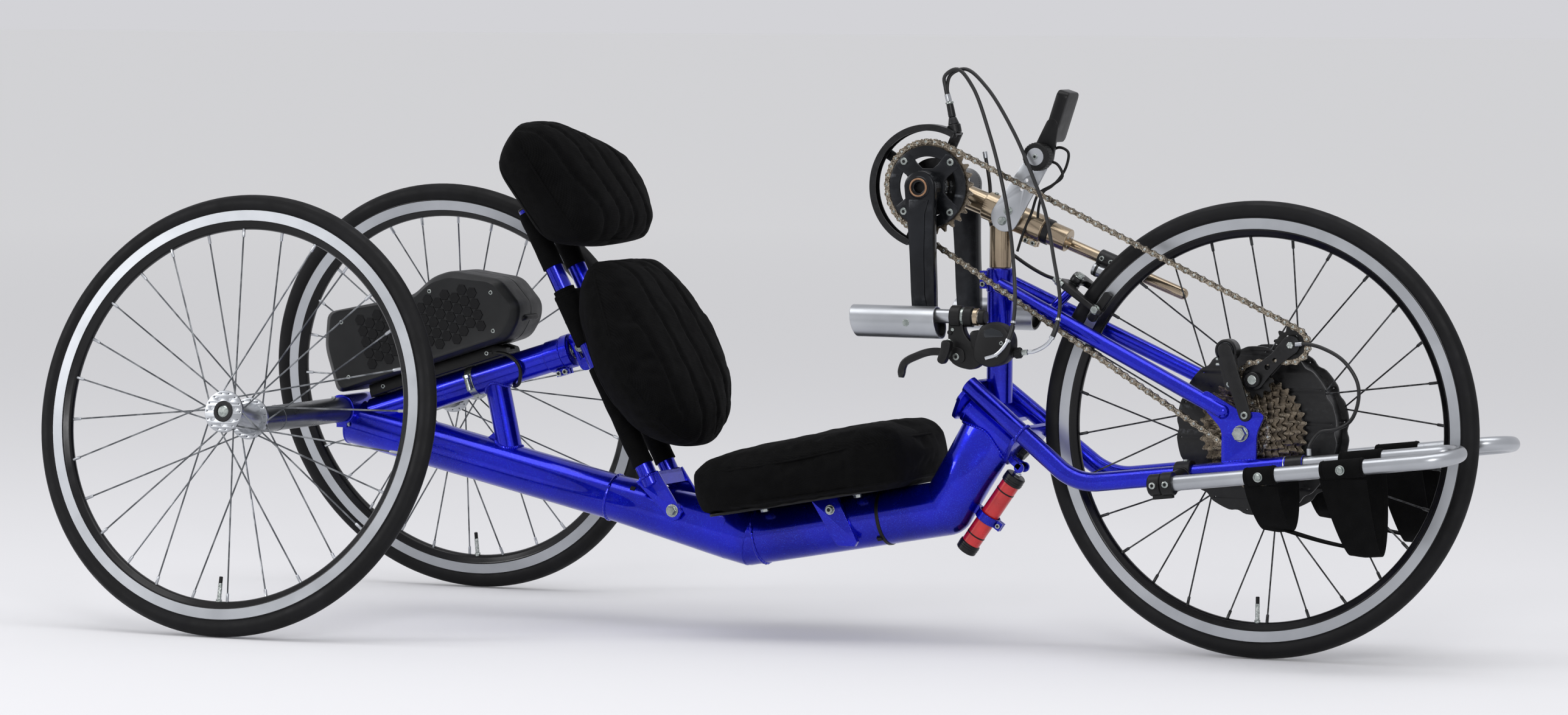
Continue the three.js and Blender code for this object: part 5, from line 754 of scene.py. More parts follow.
for side in SIDES:
    mark = SUFFIX[side]
    wheel_body = "rear_wheel_right" if side < 0 else "rear_wheel_left"
    place = rear_place(side)
    make_tyre(f"tyre_rear_{mark}", wheel_body, place, f"rear_tyre_{mark}")
    make_rim(f"rim_rear_{mark}", wheel_body, place, f"rear_rim_{mark}")
    make_rear_hub(f"hub_rear_{mark}", wheel_body, place, f"rear_hub_{mark}")
    make_spokes(f"spokes_rear_{mark}", wheel_body, place, HUB_HOLES, HUB_OUTER, HUB_INNER, REAR_LEAN,
                "axle_grey", "satin_aluminium")

# Front wheel round a motor with scalloped spoke flanges

MOTOR_RADIUS = 111
MOTOR_NEAR, MOTOR_FAR = -20, 56
FLANGE_NEAR, FLANGE_FAR, FLANGE_HOLES = -12, 40, 105.5
front_place = Matrix.Translation((0, 0, WHEEL_RADIUS))


def scalloped(radius, depth, count):
    """A circle with shallow round bites out of its edge."""
    steps = 12
    outline = []
    for i in range(count * steps):
        share = i / steps
        dip = max(0, math.cos(2 * math.pi * share)) ** 2 * depth
        angle = 2 * math.pi * share / count
        outline.append(((radius - dip) * math.cos(angle), (radius - dip) * math.sin(angle)))
    return outline


def make_motor():
    shape = Shape()
    casing = [(6.6, MOTOR_NEAR), (20, MOTOR_NEAR), (22, MOTOR_NEAR + 2), (58, MOTOR_NEAR + 2.6),
              (64, MOTOR_NEAR + 3.4), (72, -12), (98, -10.5), (102, -9), (103.5, -6), (103.5, 34), (102, 38),
              (98, 39), (72, 41), (62, 47), (26, 51), (20, 53), (20, MOTOR_FAR), (6.6, MOTOR_FAR)]
    shape.add(lathe(casing, steps=96, closed=True))
    for middle in (FLANGE_NEAR, FLANGE_FAR):
        holes = holes_round(0, 0, FLANGE_HOLES, SPOKES // 2, math.pi / SPOKES, 1.7, 10)
        shape.add(side_plate([scalloped(MOTOR_RADIUS, 3.4, SPOKES // 2)] + holes, middle - 2.4, middle + 2.4,
                             0.8))
    screws = 88
    for a in angles(8, 0.3):
        for y, way, height in ((-11, -ACROSS, 2.4), (39, ACROSS, 3.0)):
            at = Vector((screws * math.cos(a), y, screws * math.sin(a)))
            socket_head(shape, at, way, 3.6, height, 1, 1)
    piece("motor_casing", shape, "front_wheel", "black_metal", "crank_grey", replaces="motor_hub",
          move=front_place, bevel=0.4)


make_motor()
make_tyre("tyre_front", "front_wheel", front_place, "front_tyre")
make_rim("rim_front", "front_wheel", front_place, "front_rim")
make_spokes("spokes_front", "front_wheel", front_place, FLANGE_HOLES, FLANGE_NEAR, FLANGE_FAR, MOTOR_LEAN,
            "black_metal", "black_metal")


# Main beam and its fittings

RECEIVER_Z, RECEIVER_RADIUS = REAR_HUB_Z - 10.9, 21
REAR_END = Vector((-WHEELBASE, 0, RECEIVER_Z - 18))
BEND = Vector((-734, 0, 130))
REAR_TUBE, SEAT_TUBE, GUSSET = 31.8, 37.5, 40
NECK_TALL, NECK_THIN = 41, 21
SEAT_RISE = math.radians(10.3)
SEAT_WAY = toward(SEAT_RISE)
SEAT_UP = upright(SEAT_WAY)
REAR_WAY = (REAR_END - BEND).normalized()
NECK_FOOT = BEND + SEAT_WAY * ((-445 - BEND.x) / math.cos(SEAT_RISE))
LUG_X = -609
HINGE = Vector((-836, 0, 166))

PIVOT_ANGLE = math.radians(38)
PIVOT_WAY = toward(-PIVOT_ANGLE)
PIVOT_UP = upright(PIVOT_WAY)
PIVOT_START = Vector((-425, 0, 331))
HEAD_RADIUS, HEAD_START, HEAD_END = 22, 15, 104
UPPER_PLATE, LOWER_PLATE, YOKE = 8.7, 104.3, 6


def on_pivot(along, rise=0.0, y=0.0):
    """A place by its way down the steering axis, its rise off it and its side."""
    return PIVOT_START + PIVOT_WAY * along + PIVOT_UP * rise + ACROSS * y


HEAD_MIDDLE = on_pivot((HEAD_START + HEAD_END) / 2)
DAMPER_ANGLE = math.radians(55)
DAMPER_WAY = -toward(DAMPER_ANGLE)
ROD_END_ALONG, ROD_END_RISE = 124, -17
DAMPER_LINE = on_pivot(ROD_END_ALONG, ROD_END_RISE) + DAMPER_WAY * 18
DAMPER_LENGTH, DAMPER_RADIUS = 118, 13
DAMPER_LUG = DAMPER_LINE + DAMPER_WAY * (DAMPER_LENGTH * 0.56)


def seat_top(x):
    """The height of the seat tube's top line at x."""
    return BEND.z + (x - BEND.x) * math.tan(SEAT_RISE) + SEAT_TUBE / math.cos(SEAT_RISE)


def neck_seam(way, across):
    """The line where the oval end of the neck meets the head tube."""
    drop = way - PIVOT_WAY * way.dot(PIVOT_WAY)
    line = []
    for a in angles(72):
        at = HEAD_MIDDLE + across * (NECK_TALL * math.cos(a)) + ACROSS * (NECK_THIN * math.sin(a))
        off = at - HEAD_MIDDLE
        off = off - PIVOT_WAY * off.dot(PIVOT_WAY)
        reach = math.sqrt(max(HEAD_RADIUS ** 2 - (NECK_THIN * math.sin(a)) ** 2, 9))
        line.append(at - way * (reach / drop.length + off.dot(drop.normalized()) / drop.length))
    return line


def make_main_frame():
    shape = Shape()
    gusset_start = BEND + REAR_WAY * 215
    shape.add(rod(REAR_END, gusset_start, REAR_TUBE, 64, 1))
    shape.add(rod(gusset_start, BEND + REAR_WAY * 30, REAR_TUBE + 0.3, 64, 0.5, GUSSET - 1))
    shape.add(ball(BEND + Vector((-8, 0, 2)), SEAT_TUBE + 0.8, 64))
    shape.add(rod(BEND + REAR_WAY * 34, BEND - REAR_WAY * 4, GUSSET - 1.2, 64, 1))
    shape.add(rod(BEND - SEAT_WAY * 8, NECK_FOOT, SEAT_TUBE, 64, 1))
    ring_bead(shape, gusset_start, REAR_WAY, REAR_TUBE, 2.6)
    ring_bead(shape, BEND + SEAT_WAY * 16, SEAT_WAY, SEAT_TUBE, 2.8)
    neck_way = (HEAD_MIDDLE - NECK_FOOT).normalized()
    neck_across = ACROSS.cross(neck_way)
    rings = []
    for i in range(17):
        share = i / 16
        ease = max(0, (share - 0.35) / 0.65)
        ease = ease * ease * (3 - 2 * ease)
        at = NECK_FOOT.lerp(HEAD_MIDDLE, share)
        tall, thin = (NECK_TALL - SEAT_TUBE) * ease, (SEAT_TUBE - NECK_THIN) * ease
        rings.append(oval(at, neck_across, SEAT_TUBE + tall, ACROSS, SEAT_TUBE - thin, 48))
    shape.add(loft(rings))
    shape.add(ball(NECK_FOOT, SEAT_TUBE, 64))
    shape.add(sleeve(on_pivot(HEAD_START), on_pivot(HEAD_END), HEAD_RADIUS, 7, 64, 1))
    for along in (HEAD_START + 1, HEAD_END - 7):
        shape.add(sleeve(on_pivot(along), on_pivot(along + 6), HEAD_RADIUS + 0.8, 7, 64, 0.8))
    bead(shape, neck_seam(neck_way, neck_across), 2.8)
    ends = [(-WHEELBASE, y, RECEIVER_Z) for y in (-40, 40)]
    shape.add(sleeve(*ends, RECEIVER_RADIUS, 8, 56, 1))
    weld(shape, BEND, REAR_WAY, REAR_TUBE, (-WHEELBASE, 0, RECEIVER_Z), ACROSS, RECEIVER_RADIUS)
    shape.add(rod(REAR_END - REAR_WAY * 3, REAR_END - REAR_WAY * 0.4, REAR_TUBE + 1, 64, 0.8))
    for side in SIDES:
        shape.add(block((-WHEELBASE, side * 32, RECEIVER_Z - 25), AHEAD, ACROSS, (-8, -5, 0), (8, 5, 10)))
        socket_head(shape, (-WHEELBASE + 8, side * 32, RECEIVER_Z - 20), AHEAD, 4, 3.5, 1, 2)
        rear, front = LUG_X - 18, LUG_X + 18
        bottom = BEND.z + (LUG_X - BEND.x) * math.tan(SEAT_RISE) - 24
        outline = [(rear, seat_top(rear) - 0.4), (front, seat_top(front) - 0.4), (front + 30, bottom + 6),
                   (front + 26, bottom), (rear + 40, bottom), (rear + 34, bottom + 5)]
        shape.add(side_plate([outline], *sorted((side * 32.5, side * 42.5)), 0.8))
        bolt = Vector((LUG_X + 9, side * 42.5, seat_top(LUG_X) - 14))
        shape.add(rod(bolt, bolt + ACROSS * side * 1.5, 7, 28, 0.4), 1)
        socket_head(shape, bolt + ACROSS * side * 1.5, ACROSS * side, 5, 4, 1, 2)
        shape.add(rod(HINGE + ACROSS * side * 24, HINGE + ACROSS * side * 37.2, 11, 36, 0.8))
    lug_across = DAMPER_WAY.cross(ACROSS)
    shape.add(sleeve(DAMPER_LUG - DAMPER_WAY * 6, DAMPER_LUG + DAMPER_WAY * 6, 17, 15.1, 48, 0.7))
    shape.add(block(DAMPER_LUG, lug_across, ACROSS, (-46, -6, -6), (-15.5, 6, 6)))
    for rise in (-1, 1):
        at = DAMPER_LUG + lug_across * 15.5
        shape.add(block(at, lug_across, ACROSS, (0, 3 * rise - 2, -6), (9, 3 * rise + 2, 6)))
    socket_head(shape, DAMPER_LUG + lug_across * 20 - ACROSS * 5, -ACROSS, 3.4, 3, 1, 2)
    piece("main_beam", shape, "rear_frame", "blue_paint", "zinc_steel", "black_metal",
          replaces="main_frame", bevel=0.5)


make_main_frame()


def make_pivot_bolt():
    shape = Shape()
    hexagon_head(shape, on_pivot(UPPER_PLATE - 0.4), -PIVOT_WAY, 14, 12, 0, 10)
    shape.add(rod(on_pivot(2), on_pivot(LOWER_PLATE + YOKE + 8.6), 6, 32))
    hexagon_head(shape, on_pivot(LOWER_PLATE + YOKE + 0.3), PIVOT_WAY, 17, 7.4, 0, 10.4)
    piece("pivot_bolt_steel", shape, "rear_frame", "black_metal", replaces="pivot_bolt", bevel=0.3)


make_pivot_bolt()


def make_damper():
    shape = Shape()
    end = DAMPER_LINE + DAMPER_WAY * DAMPER_LENGTH
    shape.add(rod(DAMPER_LINE, end, DAMPER_RADIUS, 48, 0.8))
    for start, way in ((DAMPER_LINE, -DAMPER_WAY), (end, DAMPER_WAY)):
        shape.add(lathe([(0, -9), (DAMPER_RADIUS + 0.4, -9), (DAMPER_RADIUS + 1.4, -8), (14.4, 3.6),
                         (13, 5), (6, 5), (0, 5)], start, way, 48), 1)
        for back in (6, 3):
            ring = lathe([(14.1, -back), (14.9, -back + 0.7), (14.1, -back + 1.4)], start, way, 48)
            shape.add(ring, 1)
    shape.add(rod(DAMPER_LINE + DAMPER_WAY * 5, DAMPER_LINE - DAMPER_WAY * 17, 4, 28), 2)
    shape.add(rod(DAMPER_LINE - DAMPER_WAY * 5, DAMPER_LINE - DAMPER_WAY * 9, 6, 6, 0.4), 2)
    for share in (0.18, 0.8):
        at = DAMPER_LINE + DAMPER_WAY * (DAMPER_LENGTH * share)
        shape.add(rod(at, at + DAMPER_WAY * 2.2, DAMPER_RADIUS + 0.25, 48, 0.2), 3)
    shape.add(rod(DAMPER_LUG + PIVOT_WAY * 14, DAMPER_LUG + PIVOT_WAY * 19, 3, 20), 2)
    piece("spring_unit", shape, "damper", "red_paint", "black_metal", "bright_chrome", "black_plastic",
          replaces="steer_damper", bevel=0.3)


make_damper()


def make_axle_tube(side):
    shape = Shape()
    outward = Vector((0, side * math.cos(CAMBER), math.sin(CAMBER)))
    hub = Vector((-WHEELBASE, side * HALF_TRACK, REAR_HUB_Z))
    tube_end = hub - outward * (HUB_INNER + 2.5 + 2)
    start = Vector((-WHEELBASE, side * 40.3, RECEIVER_Z))
    axis = ACROSS * side
    shape.add(rod((-WHEELBASE, side * 10, RECEIVER_Z), (-WHEELBASE, side * 45, RECEIVER_Z), 7.5, 32), 1)
    rings = []
    for radius, inset in ((17.0, -1), (17.5, 0)):
        rings.append([start + axis * (inset + 1) + AHEAD * (radius * math.cos(a))
                      + UP * (radius * math.sin(a)) for a in angles(48)])
    for radius, inset in ((17.5, 0.6), (16.9, 0)):
        ring = []
        for a in angles(48):
            at = start + AHEAD * (radius * math.cos(a)) + UP * (radius * math.sin(a))
            reach = (tube_end - outward * inset - at).dot(outward) / axis.dot(outward)
            ring.append(at + axis * reach)
        rings.append(ring)
    shape.add(loft(rings))
    ring_bead(shape, start + axis * 190, axis, 17.3, 0.9)
    bolt = start + axis * 20 + UP * 17
    socket_head(shape, bolt, UP, 3.5, 2.6, 1, 2)
    shape.add(rod(tube_end - outward * 10, hub + outward * HUB_INNER, 7.4, 32), 1)
    shape.add(rod(tube_end - outward * 0.2, tube_end + outward * 1.8, 10.5, 6, 0.3), 1)
    piece(f"axle_{SUFFIX[side]}", shape, "rear_frame", "axle_grey", "zinc_steel", "black_metal",
          replaces=f"axle_tube_{SUFFIX[side]}", bevel=0.3)


for side in SIDES:
    make_axle_tube(side)


# Battery beam, strut, gusset, dock and case

BATTERY_ANGLE = math.radians(17.5)
BATTERY_WAY = toward(BATTERY_ANGLE)
BATTERY_UP = upright(BATTERY_WAY)
BATTERY_FRONT = Vector((-1016, 0, 377))
BEAM_RADIUS, BEAM_LENGTH = 21, 322
STRUT_FOOT, STRUT_HEAD, STRUT_RADIUS = -1100, -1129, 17.5
DOCK_BACK, DOCK_LENGTH, DOCK_HALF, DOCK_TOP = 82, 250, 26, 38


def on_battery(along, rise=0.0, y=0.0):
    """A place by its way forward from the battery beam's front end, its rise off the axis and its side."""
    return BATTERY_FRONT + BATTERY_WAY * along + BATTERY_UP * rise + ACROSS * y


def rear_tube_z(x):
    return BEND.lerp(REAR_END, (BEND.x - x) / (BEND.x - REAR_END.x)).z


def battery_z(x):
    return BATTERY_FRONT.z - (BATTERY_FRONT.x - x) * math.tan(BATTERY_ANGLE)


def strap_round(shape, centre, way, radius, width, kind, wall=1.2, knot=None):
    """A cable tie or band round a tube, with a lock where knot points."""
    way = Vector(way).normalized()
    start = Vector(centre) - way * width / 2
    shape.add(sleeve(start, start + way * width, radius + wall, radius - 0.2, 40, 0.4), kind)
    if knot is not None:
        knot = Vector(knot).normalized()
        shape.add(block(Vector(centre) + knot * (radius + wall - 0.6), way, knot.cross(way),
                        (-width * 0.7, -3, -2.4), (width * 0.7, 3, 2.4)), kind)


def make_battery_beam():
    shape = Shape()
    back = on_battery(-BEAM_LENGTH + 4)
    shape.add(rod(back, on_battery(0), BEAM_RADIUS, 56, 1))
    shape.add(sleeve(on_battery(-5), on_battery(9), 24, 12.8, 56, 1.4))
    shape.add(sleeve(on_battery(-30), on_battery(-5), BEAM_RADIUS + 1.4, 13, 56, 1))
    foot = Vector((STRUT_FOOT, 0, rear_tube_z(STRUT_FOOT)))
    head = Vector((STRUT_HEAD, 0, battery_z(STRUT_HEAD)))
    way = (head - foot).normalized()
    shape.add(rod(foot + way * 20, head, STRUT_RADIUS, 48))
    weld(shape, head, -way, STRUT_RADIUS, BEND, REAR_WAY, REAR_TUBE, size=2.8)
    weld(shape, foot, way, STRUT_RADIUS, BATTERY_FRONT, BATTERY_WAY, BEAM_RADIUS)
    seat_x, seat_z = STRUT_FOOT - STRUT_RADIUS / 2, rear_tube_z(STRUT_FOOT) + REAR_TUBE
    reach, height, wall = 62, 68, 2.6
    turns = [math.pi / 2 * i / 16 for i in range(17)]
    arc = [(seat_x - reach * (1 - math.sin(a)), seat_z + height * (1 - math.cos(a))) for a in turns]
    outline = [(seat_x + 4, seat_z - 3), (seat_x - reach, seat_z + 9)] + arc + [(seat_x + 4, seat_z + height)]
    shape.add(side_plate([outline], -wall, wall, 0.8))
    weld(shape, on_battery(0), -BATTERY_WAY, BEAM_RADIUS, (-WHEELBASE, 0, RECEIVER_Z), ACROSS,
         RECEIVER_RADIUS)
    under = on_battery(-14, -23)
    shape.add(block(under, BATTERY_WAY, ACROSS, (-10, -7, -7), (10, -2, 4)))
    shape.add(block(under, BATTERY_WAY, ACROSS, (-10, 2, -7), (10, 7, 4)))
    for along in (-5, 5):
        at = under + BATTERY_WAY * along - BATTERY_UP * 3
        socket_head(shape, at - ACROSS * 7, -ACROSS, 4, 4, 1, 2)
        shape.add(rod(at, at + ACROSS * 9, 2.4, 16), 1)
    band = on_battery(-BEAM_LENGTH * 0.47)
    strap_round(shape, band, BATTERY_WAY, BEAM_RADIUS, 11, 1, 0.9)
    screw = band - ACROSS * (BEAM_RADIUS + 3.5) - BATTERY_UP * 4
    shape.add(rod(screw - BATTERY_UP * 9, screw + BATTERY_UP * 9, 4, 20), 1)
    shape.add(rod(screw + BATTERY_UP * 9, screw + BATTERY_UP * 14, 4.6, 6, 0.4), 1)
    for x in (-1235, -905):
        at = Vector((x, 0, rear_tube_z(x)))
        strap_round(shape, at, REAR_WAY, REAR_TUBE, 5, 3, 1.2, -ACROSS + UP)
    piece("battery_beam_steel", shape, "rear_frame", "blue_paint", "zinc_steel", "black_metal",
          "black_plastic", replaces="battery_beam", bevel=0.4)


make_battery_beam()


def make_dock():
    shape = Shape()
    start, end = -DOCK_BACK - DOCK_LENGTH, -DOCK_BACK
    half, foot, top, groove_half = DOCK_HALF, 22, DOCK_TOP - 0.4, 8.6
    section = [(-half, foot), (-half, 33), (2 - half, top), (-groove_half, top), (-groove_half, 32),
               (groove_half, 32), (groove_half, top), (half - 2, top), (half, 33), (half, foot), (20, 21),
               (16, 24), (-16, 24), (-20, 21)]
    rings = [[on_battery(along, z, y) for y, z in section] for along in (start + 30, end - 14)]
    rings.append([on_battery(end, foot + (z - foot) * 0.5, y * 0.8) for y, z in section])
    shape.add(loft(rings))
    shape.add(block(on_battery(start + 30), BATTERY_WAY, ACROSS, (-4, -20, 20), (2, 20, 30)))
    for along in (-110, -200, -280):
        for side in SIDES:
            socket_head(shape, on_battery(along, 30, side * 25.6), ACROSS * side, 3.2, 1.6, 1, 0)
    cable = curve_through([on_battery(end - 24, 30, -22), on_battery(end + 4, 18, -27),
                           on_battery(end + 16, -2, -27), on_battery(end + 6, -22, -20),
                           on_battery(end - 8, -24, -8), on_battery(end - 12, -20, 0)], 40)
    shape.add(tube(cable, 2.6, 14))
    shape.add(rod(cable[0] - BATTERY_WAY * 4, cable[2], 4.4, 20))
    piece("dock_rail", shape, "rear_frame", "black_plastic", "zinc_steel", replaces="battery_dock",
          bevel=0.5)


make_dock()

CASE_BACK, CASE_LENGTH = -35.2, 312
CASE_HALF = 46
CASE_TAIL, CASE_BOTTOM = CASE_BACK - CASE_LENGTH, DOCK_TOP + 0.3
PANEL_CELL = 9.2
CASE_OUTLINE = [(0, 0), (0.9, 0), (0.975, 0.18), (1, 0.36), (0.94, 0.72), (0.72, 1), (0.62, 1), (0.5, 0.86),
                (0.06, 0.84), (0, 0.5)]


def case_height(along):
    return 136 if along < 0.5 else 116


def case_point(along, rise, inset, y):
    """A place on the case: along runs 0 at the tail to 1 at the nose, rise 0 at the dock to 1 on top."""
    x = CASE_TAIL + inset + along * (CASE_LENGTH - 2 * inset)
    z = CASE_BOTTOM + inset + rise * (case_height(along) - 2 * inset)
    return on_battery(x, z, y)


def rounded_outline(points, radius, steps=5):
    """Corners of a flat outline turned round."""
    count = len(points)
    made = []
    for i in range(count):
        before, at, after = (Vector(points[(i + k) % count]) for k in (-1, 0, 1))
        into, out = (before - at), (after - at)
        cut = min(radius, into.length * 0.45, out.length * 0.45)
        a, b = at + into.normalized() * cut, at + out.normalized() * cut
        made += [a.lerp(at, k / steps).lerp(at.lerp(b, k / steps), k / steps) for k in range(steps + 1)]
    return made


def add_panel(shape, side):
    """The plain hexagon cells on one side of the case."""
    profile = [(0, 0), (PANEL_CELL * 0.9, 0), (PANEL_CELL * 0.82, 0.9), (0, 0.9)]
    for row in range(-3, 4):
        for column in range(-8, 9):
            x = column * PANEL_CELL * 1.5
            z = (row + (column % 2) / 2) * PANEL_CELL * math.sqrt(3)
            spot = Vector((0.49 * CASE_LENGTH + x, 55 + z + x * -0.02))
            if 62 < spot.x < 262 and 22 < spot.y < 92:
                centre = on_battery(CASE_TAIL + spot.x, DOCK_TOP + spot.y, side * (CASE_HALF - 0.2))
                shape.add(lathe(profile, centre, ACROSS * side, 6), 1)


def make_case():
    shape = Shape()
    flat = [(along * CASE_LENGTH, rise * case_height(along)) for along, rise in CASE_OUTLINE]
    flat = rounded_outline(flat, 12)
    middle = Vector((sum(p.x for p in flat) / len(flat), sum(p.y for p in flat) / len(flat)))
    rounds = ((15, 0.5), (12, 0), (10, 0.2), (3, 6.5), (0.6, 10), (0, 13))
    near = [(inset, back - CASE_HALF) for inset, back in rounds] + [(0, -1.2), (1, -0.6)]
    rings = []
    for inset, y in near + [(inset, -y) for inset, y in reversed(near)]:
        ring = []
        for p in flat:
            way = p - middle
            spot = middle + way * (1 - inset / max(way.length, 60) * 1.05)
            ring.append(on_battery(CASE_TAIL + spot.x, CASE_BOTTOM + spot.y, y))
        rings.append(ring)
    shape.add(loft(rings))
    for side in SIDES:
        add_panel(shape, side)
        for along, rise in ((0.08, 0.1), (0.12, 0.7), (0.86, 0.12), (0.9, 0.6), (0.6, 0.86)):
            at = case_point(along, rise, 4, side * 40)
            shape.add(rod(at, at + ACROSS * side * 4.6, 4.6, 24, 0.4), 2)
            socket_head(shape, at + ACROSS * side * 3.4, ACROSS * side, 3.1, 2.6, 3, 2)
    handle = [on_battery(CASE_BACK - 16, 62, y) for y in (-22, 22)]
    grip = rounded_path([handle[0] - BATTERY_WAY * 14, handle[0] + BATTERY_WAY * 9,
                         handle[1] + BATTERY_WAY * 9, handle[1] - BATTERY_WAY * 14], 7)
    shape.add(tube(grip, 4.2, 16), 2)
    shape.add(block(on_battery(CASE_TAIL - 1, 70, 0), BATTERY_WAY, ACROSS, (0, -14, -9), (4, 14, 9)), 2)
    light = on_battery(CASE_BACK - CASE_LENGTH * 0.7, DOCK_TOP + 114, 0)
    shape.add(rod(light, light + BATTERY_UP * 1.6, 6, 28, 0.4), 2)
    shape.add(block(on_battery(-DOCK_BACK - DOCK_LENGTH * 0.8, 32.6, 0), BATTERY_WAY, ACROSS, (0, -7, 0),
                    (175, 7, 8)), 2)
    piece("battery_shell", shape, "battery", "case_plastic", "gloss_plastic", "black_plastic", "zinc_steel",
          replaces="battery_case", bevel=0.6)


make_case()


# Backrest frame, hinge bolt and adjuster

BACK_SPACING, BACK_START, BACK_LENGTH, BACK_TUBE, BACK_SETBACK = 72, 45, 470, 12.5, 14
ADJUSTER_PIN = on_battery(25)

# Rises on the back tubes: of the wide band, and of the fabric wrapped round each tube

BAND_LOW, BAND_HIGH = 262, 338
PIN_RISE = (ADJUSTER_PIN - HINGE).dot(BACK_UP)
WRAPS = (76, PIN_RISE - 34), (PIN_RISE + 30, 346), (378, 466)


def on_back(rise, forward=0.0, y=0.0):
    """A place by its way up the back tubes, its distance in front of their axes and its side."""
    return HINGE + BACK_UP * rise + BACK_FORWARD * (forward - BACK_SETBACK) + ACROSS * y


def make_hinge_bolt():
    shape = Shape()
    shape.add(rod(HINGE - ACROSS * 44, HINGE + ACROSS * 44, 5, 28))
    for side in SIDES:
        hexagon_head(shape, HINGE + ACROSS * (side * 42.8), ACROSS * side, 11, 5, 0, 9)
    piece("hinge_bolt_steel", shape, "rear_frame", "zinc_steel", replaces="hinge_bolt", bevel=0.3)


make_hinge_bolt()


def make_back_frame():
    shape = Shape()
    for side in SIDES:
        y = side * BACK_SPACING / 2
        end = on_back(BACK_LENGTH, 0, y)
        shape.add(rod(on_back(BACK_START, 0, y), end, BACK_TUBE, 48, 0.8))
        shape.add(rod(on_back(BACK_LENGTH - 3, 0, y), end, BACK_TUBE + 0.6, 48, 0.8), 1)
    for share in (0.25, 0.93):
        rise = BACK_START + share * (BACK_LENGTH - BACK_START)
        a, b = on_back(rise, 0, -36), on_back(rise, 0, 36)
        shape.add(rod(a, b, 8, 32))
        for start, way, other in ((b, a - b, a), (a, b - a, b)):
            weld(shape, start, way, 8, other, BACK_UP, BACK_TUBE, size=2.2)
    top, back = on_back(58, 17), on_back(58, -17)
    ear = [(HINGE.x + 13, HINGE.z - 2), (top.x, top.z), (back.x, back.z), (HINGE.x - 13, HINGE.z - 2),
           (HINGE.x - 8, HINGE.z - 11), (HINGE.x, HINGE.z - 14), (HINGE.x + 8, HINGE.z - 11)]
    hole = disc(HINGE.x, HINGE.z, 5.4, 24)
    for low, high in ((-42.5, -37.5), (37.5, 42.5)):
        shape.add(side_plate([ear, hole], low, high, 0.8))
    shape.add(block(on_back(0), BACK_FORWARD, BACK_UP, (-17, 53, -42.5), (17, 58, 42.5)))
    shape.add(block(on_back(0), BACK_FORWARD, BACK_UP, (12, 38, -42.5), (17, 58, 42.5)))
    for side in SIDES:
        ring_bead(shape, on_back(58.5, 0, side * 36), BACK_UP, BACK_TUBE, 2.6)
    pin_rise = (ADJUSTER_PIN - on_back(0)).dot(BACK_UP)
    pin_forward = (ADJUSTER_PIN - on_back(0)).dot(BACK_FORWARD)
    low, high = pin_rise - 37.2, pin_rise + 24.8
    slot = [(pin_forward - 5.8, pin_rise - 16), (pin_forward + 5.8, pin_rise - 16),
            (pin_forward + 5.8, pin_rise + 6), (pin_forward - 5.8, pin_rise + 6)]
    slot = rounded_outline(slot, 5)
    cheek = rounded_outline(((pin_forward - 12, low + 6), (0, low), (0, high),
                                                 (pin_forward - 12, high - 4)), 8)
    for side in SIDES:
        a, b = sorted((side * 7.3, side * 12.3))
        shape.add(plate([cheek, slot], a, b, on_back(0), BACK_FORWARD, BACK_UP, 0.7))
    for a, b in ((low, pin_rise - 16), (pin_rise + 6, high)):
        shape.add(block(on_back(0), BACK_FORWARD, BACK_UP, (-5, a, -36), (5, b, 36)))
    for low, high in WRAPS:
        for side in SIDES:
            rises = [low + 6 * i for i in range(int((high - low) / 6) + 1)]
            line = [on_back(rise, 0, side * BACK_SPACING / 2) for rise in rises]
            folds = [BACK_TUBE + 2.4 + 0.9 * noise.noise(Vector((rise * 0.05, side, 0))) for rise in rises]
            shape.add(tube(line, folds, 32), 2)
    band = [belt(-36, 0, reach, 36, 0, reach, 20) for reach in (BACK_TUBE + 3.4, BACK_TUBE + 0.6)]
    shape.add(plate(band, -BAND_HIGH, -BAND_LOW, on_back(0), ACROSS, BACK_FORWARD, 1.2), 2)
    for rise in (BAND_LOW + 4, (BAND_LOW + BAND_HIGH) / 2, BAND_HIGH - 4):
        rib = [belt(-36, 0, reach, 36, 0, reach, 20) for reach in (BACK_TUBE + 4.2, BACK_TUBE + 2.6)]
        shape.add(plate(rib, -rise - 1.6, -rise + 1.6, on_back(0), ACROSS, BACK_FORWARD, 0.7), 2)
    piece("backrest_tubes", shape, "backrest", "blue_paint", "black_plastic", "side_fabric",
          replaces="back_frame", bevel=0.5)


make_back_frame()


def make_adjuster():
    shape = Shape()
    shape.add(rod(on_battery(-90), on_battery(9.6), 12, 36))
    shape.add(rod(on_battery(0), ADJUSTER_PIN, 6.8, 32))
    shape.add(rod(ADJUSTER_PIN - ACROSS * 7, ADJUSTER_PIN + ACROSS * 7, 9, 36))
    shape.add(rod(ADJUSTER_PIN - ACROSS * 18, ADJUSTER_PIN + ACROSS * 18, 4, 24))
    for side in SIDES:
        shape.add(rod(ADJUSTER_PIN + ACROSS * (side * 14), ADJUSTER_PIN + ACROSS * (side * 17), 6.4, 24, 0.5))
    piece("adjuster_steel", shape, "adjuster", "zinc_steel", replaces="adjuster_rod", bevel=0.3)


make_adjuster()


# Seat pan

SEAT_REAR = Vector((-762, 0, seat_top(-762)))
SEAT_LENGTH, SEAT_REAR_HALF, SEAT_FRONT_HALF = 290, 140, 105
SEAT_TIE_X = -533


def on_seat(forward, rise=0.0, y=0.0):
    """A place by its way forward on the seat tube, its rise off the tube and its side."""
    return SEAT_REAR + SEAT_WAY * forward + SEAT_UP * rise + ACROSS * y


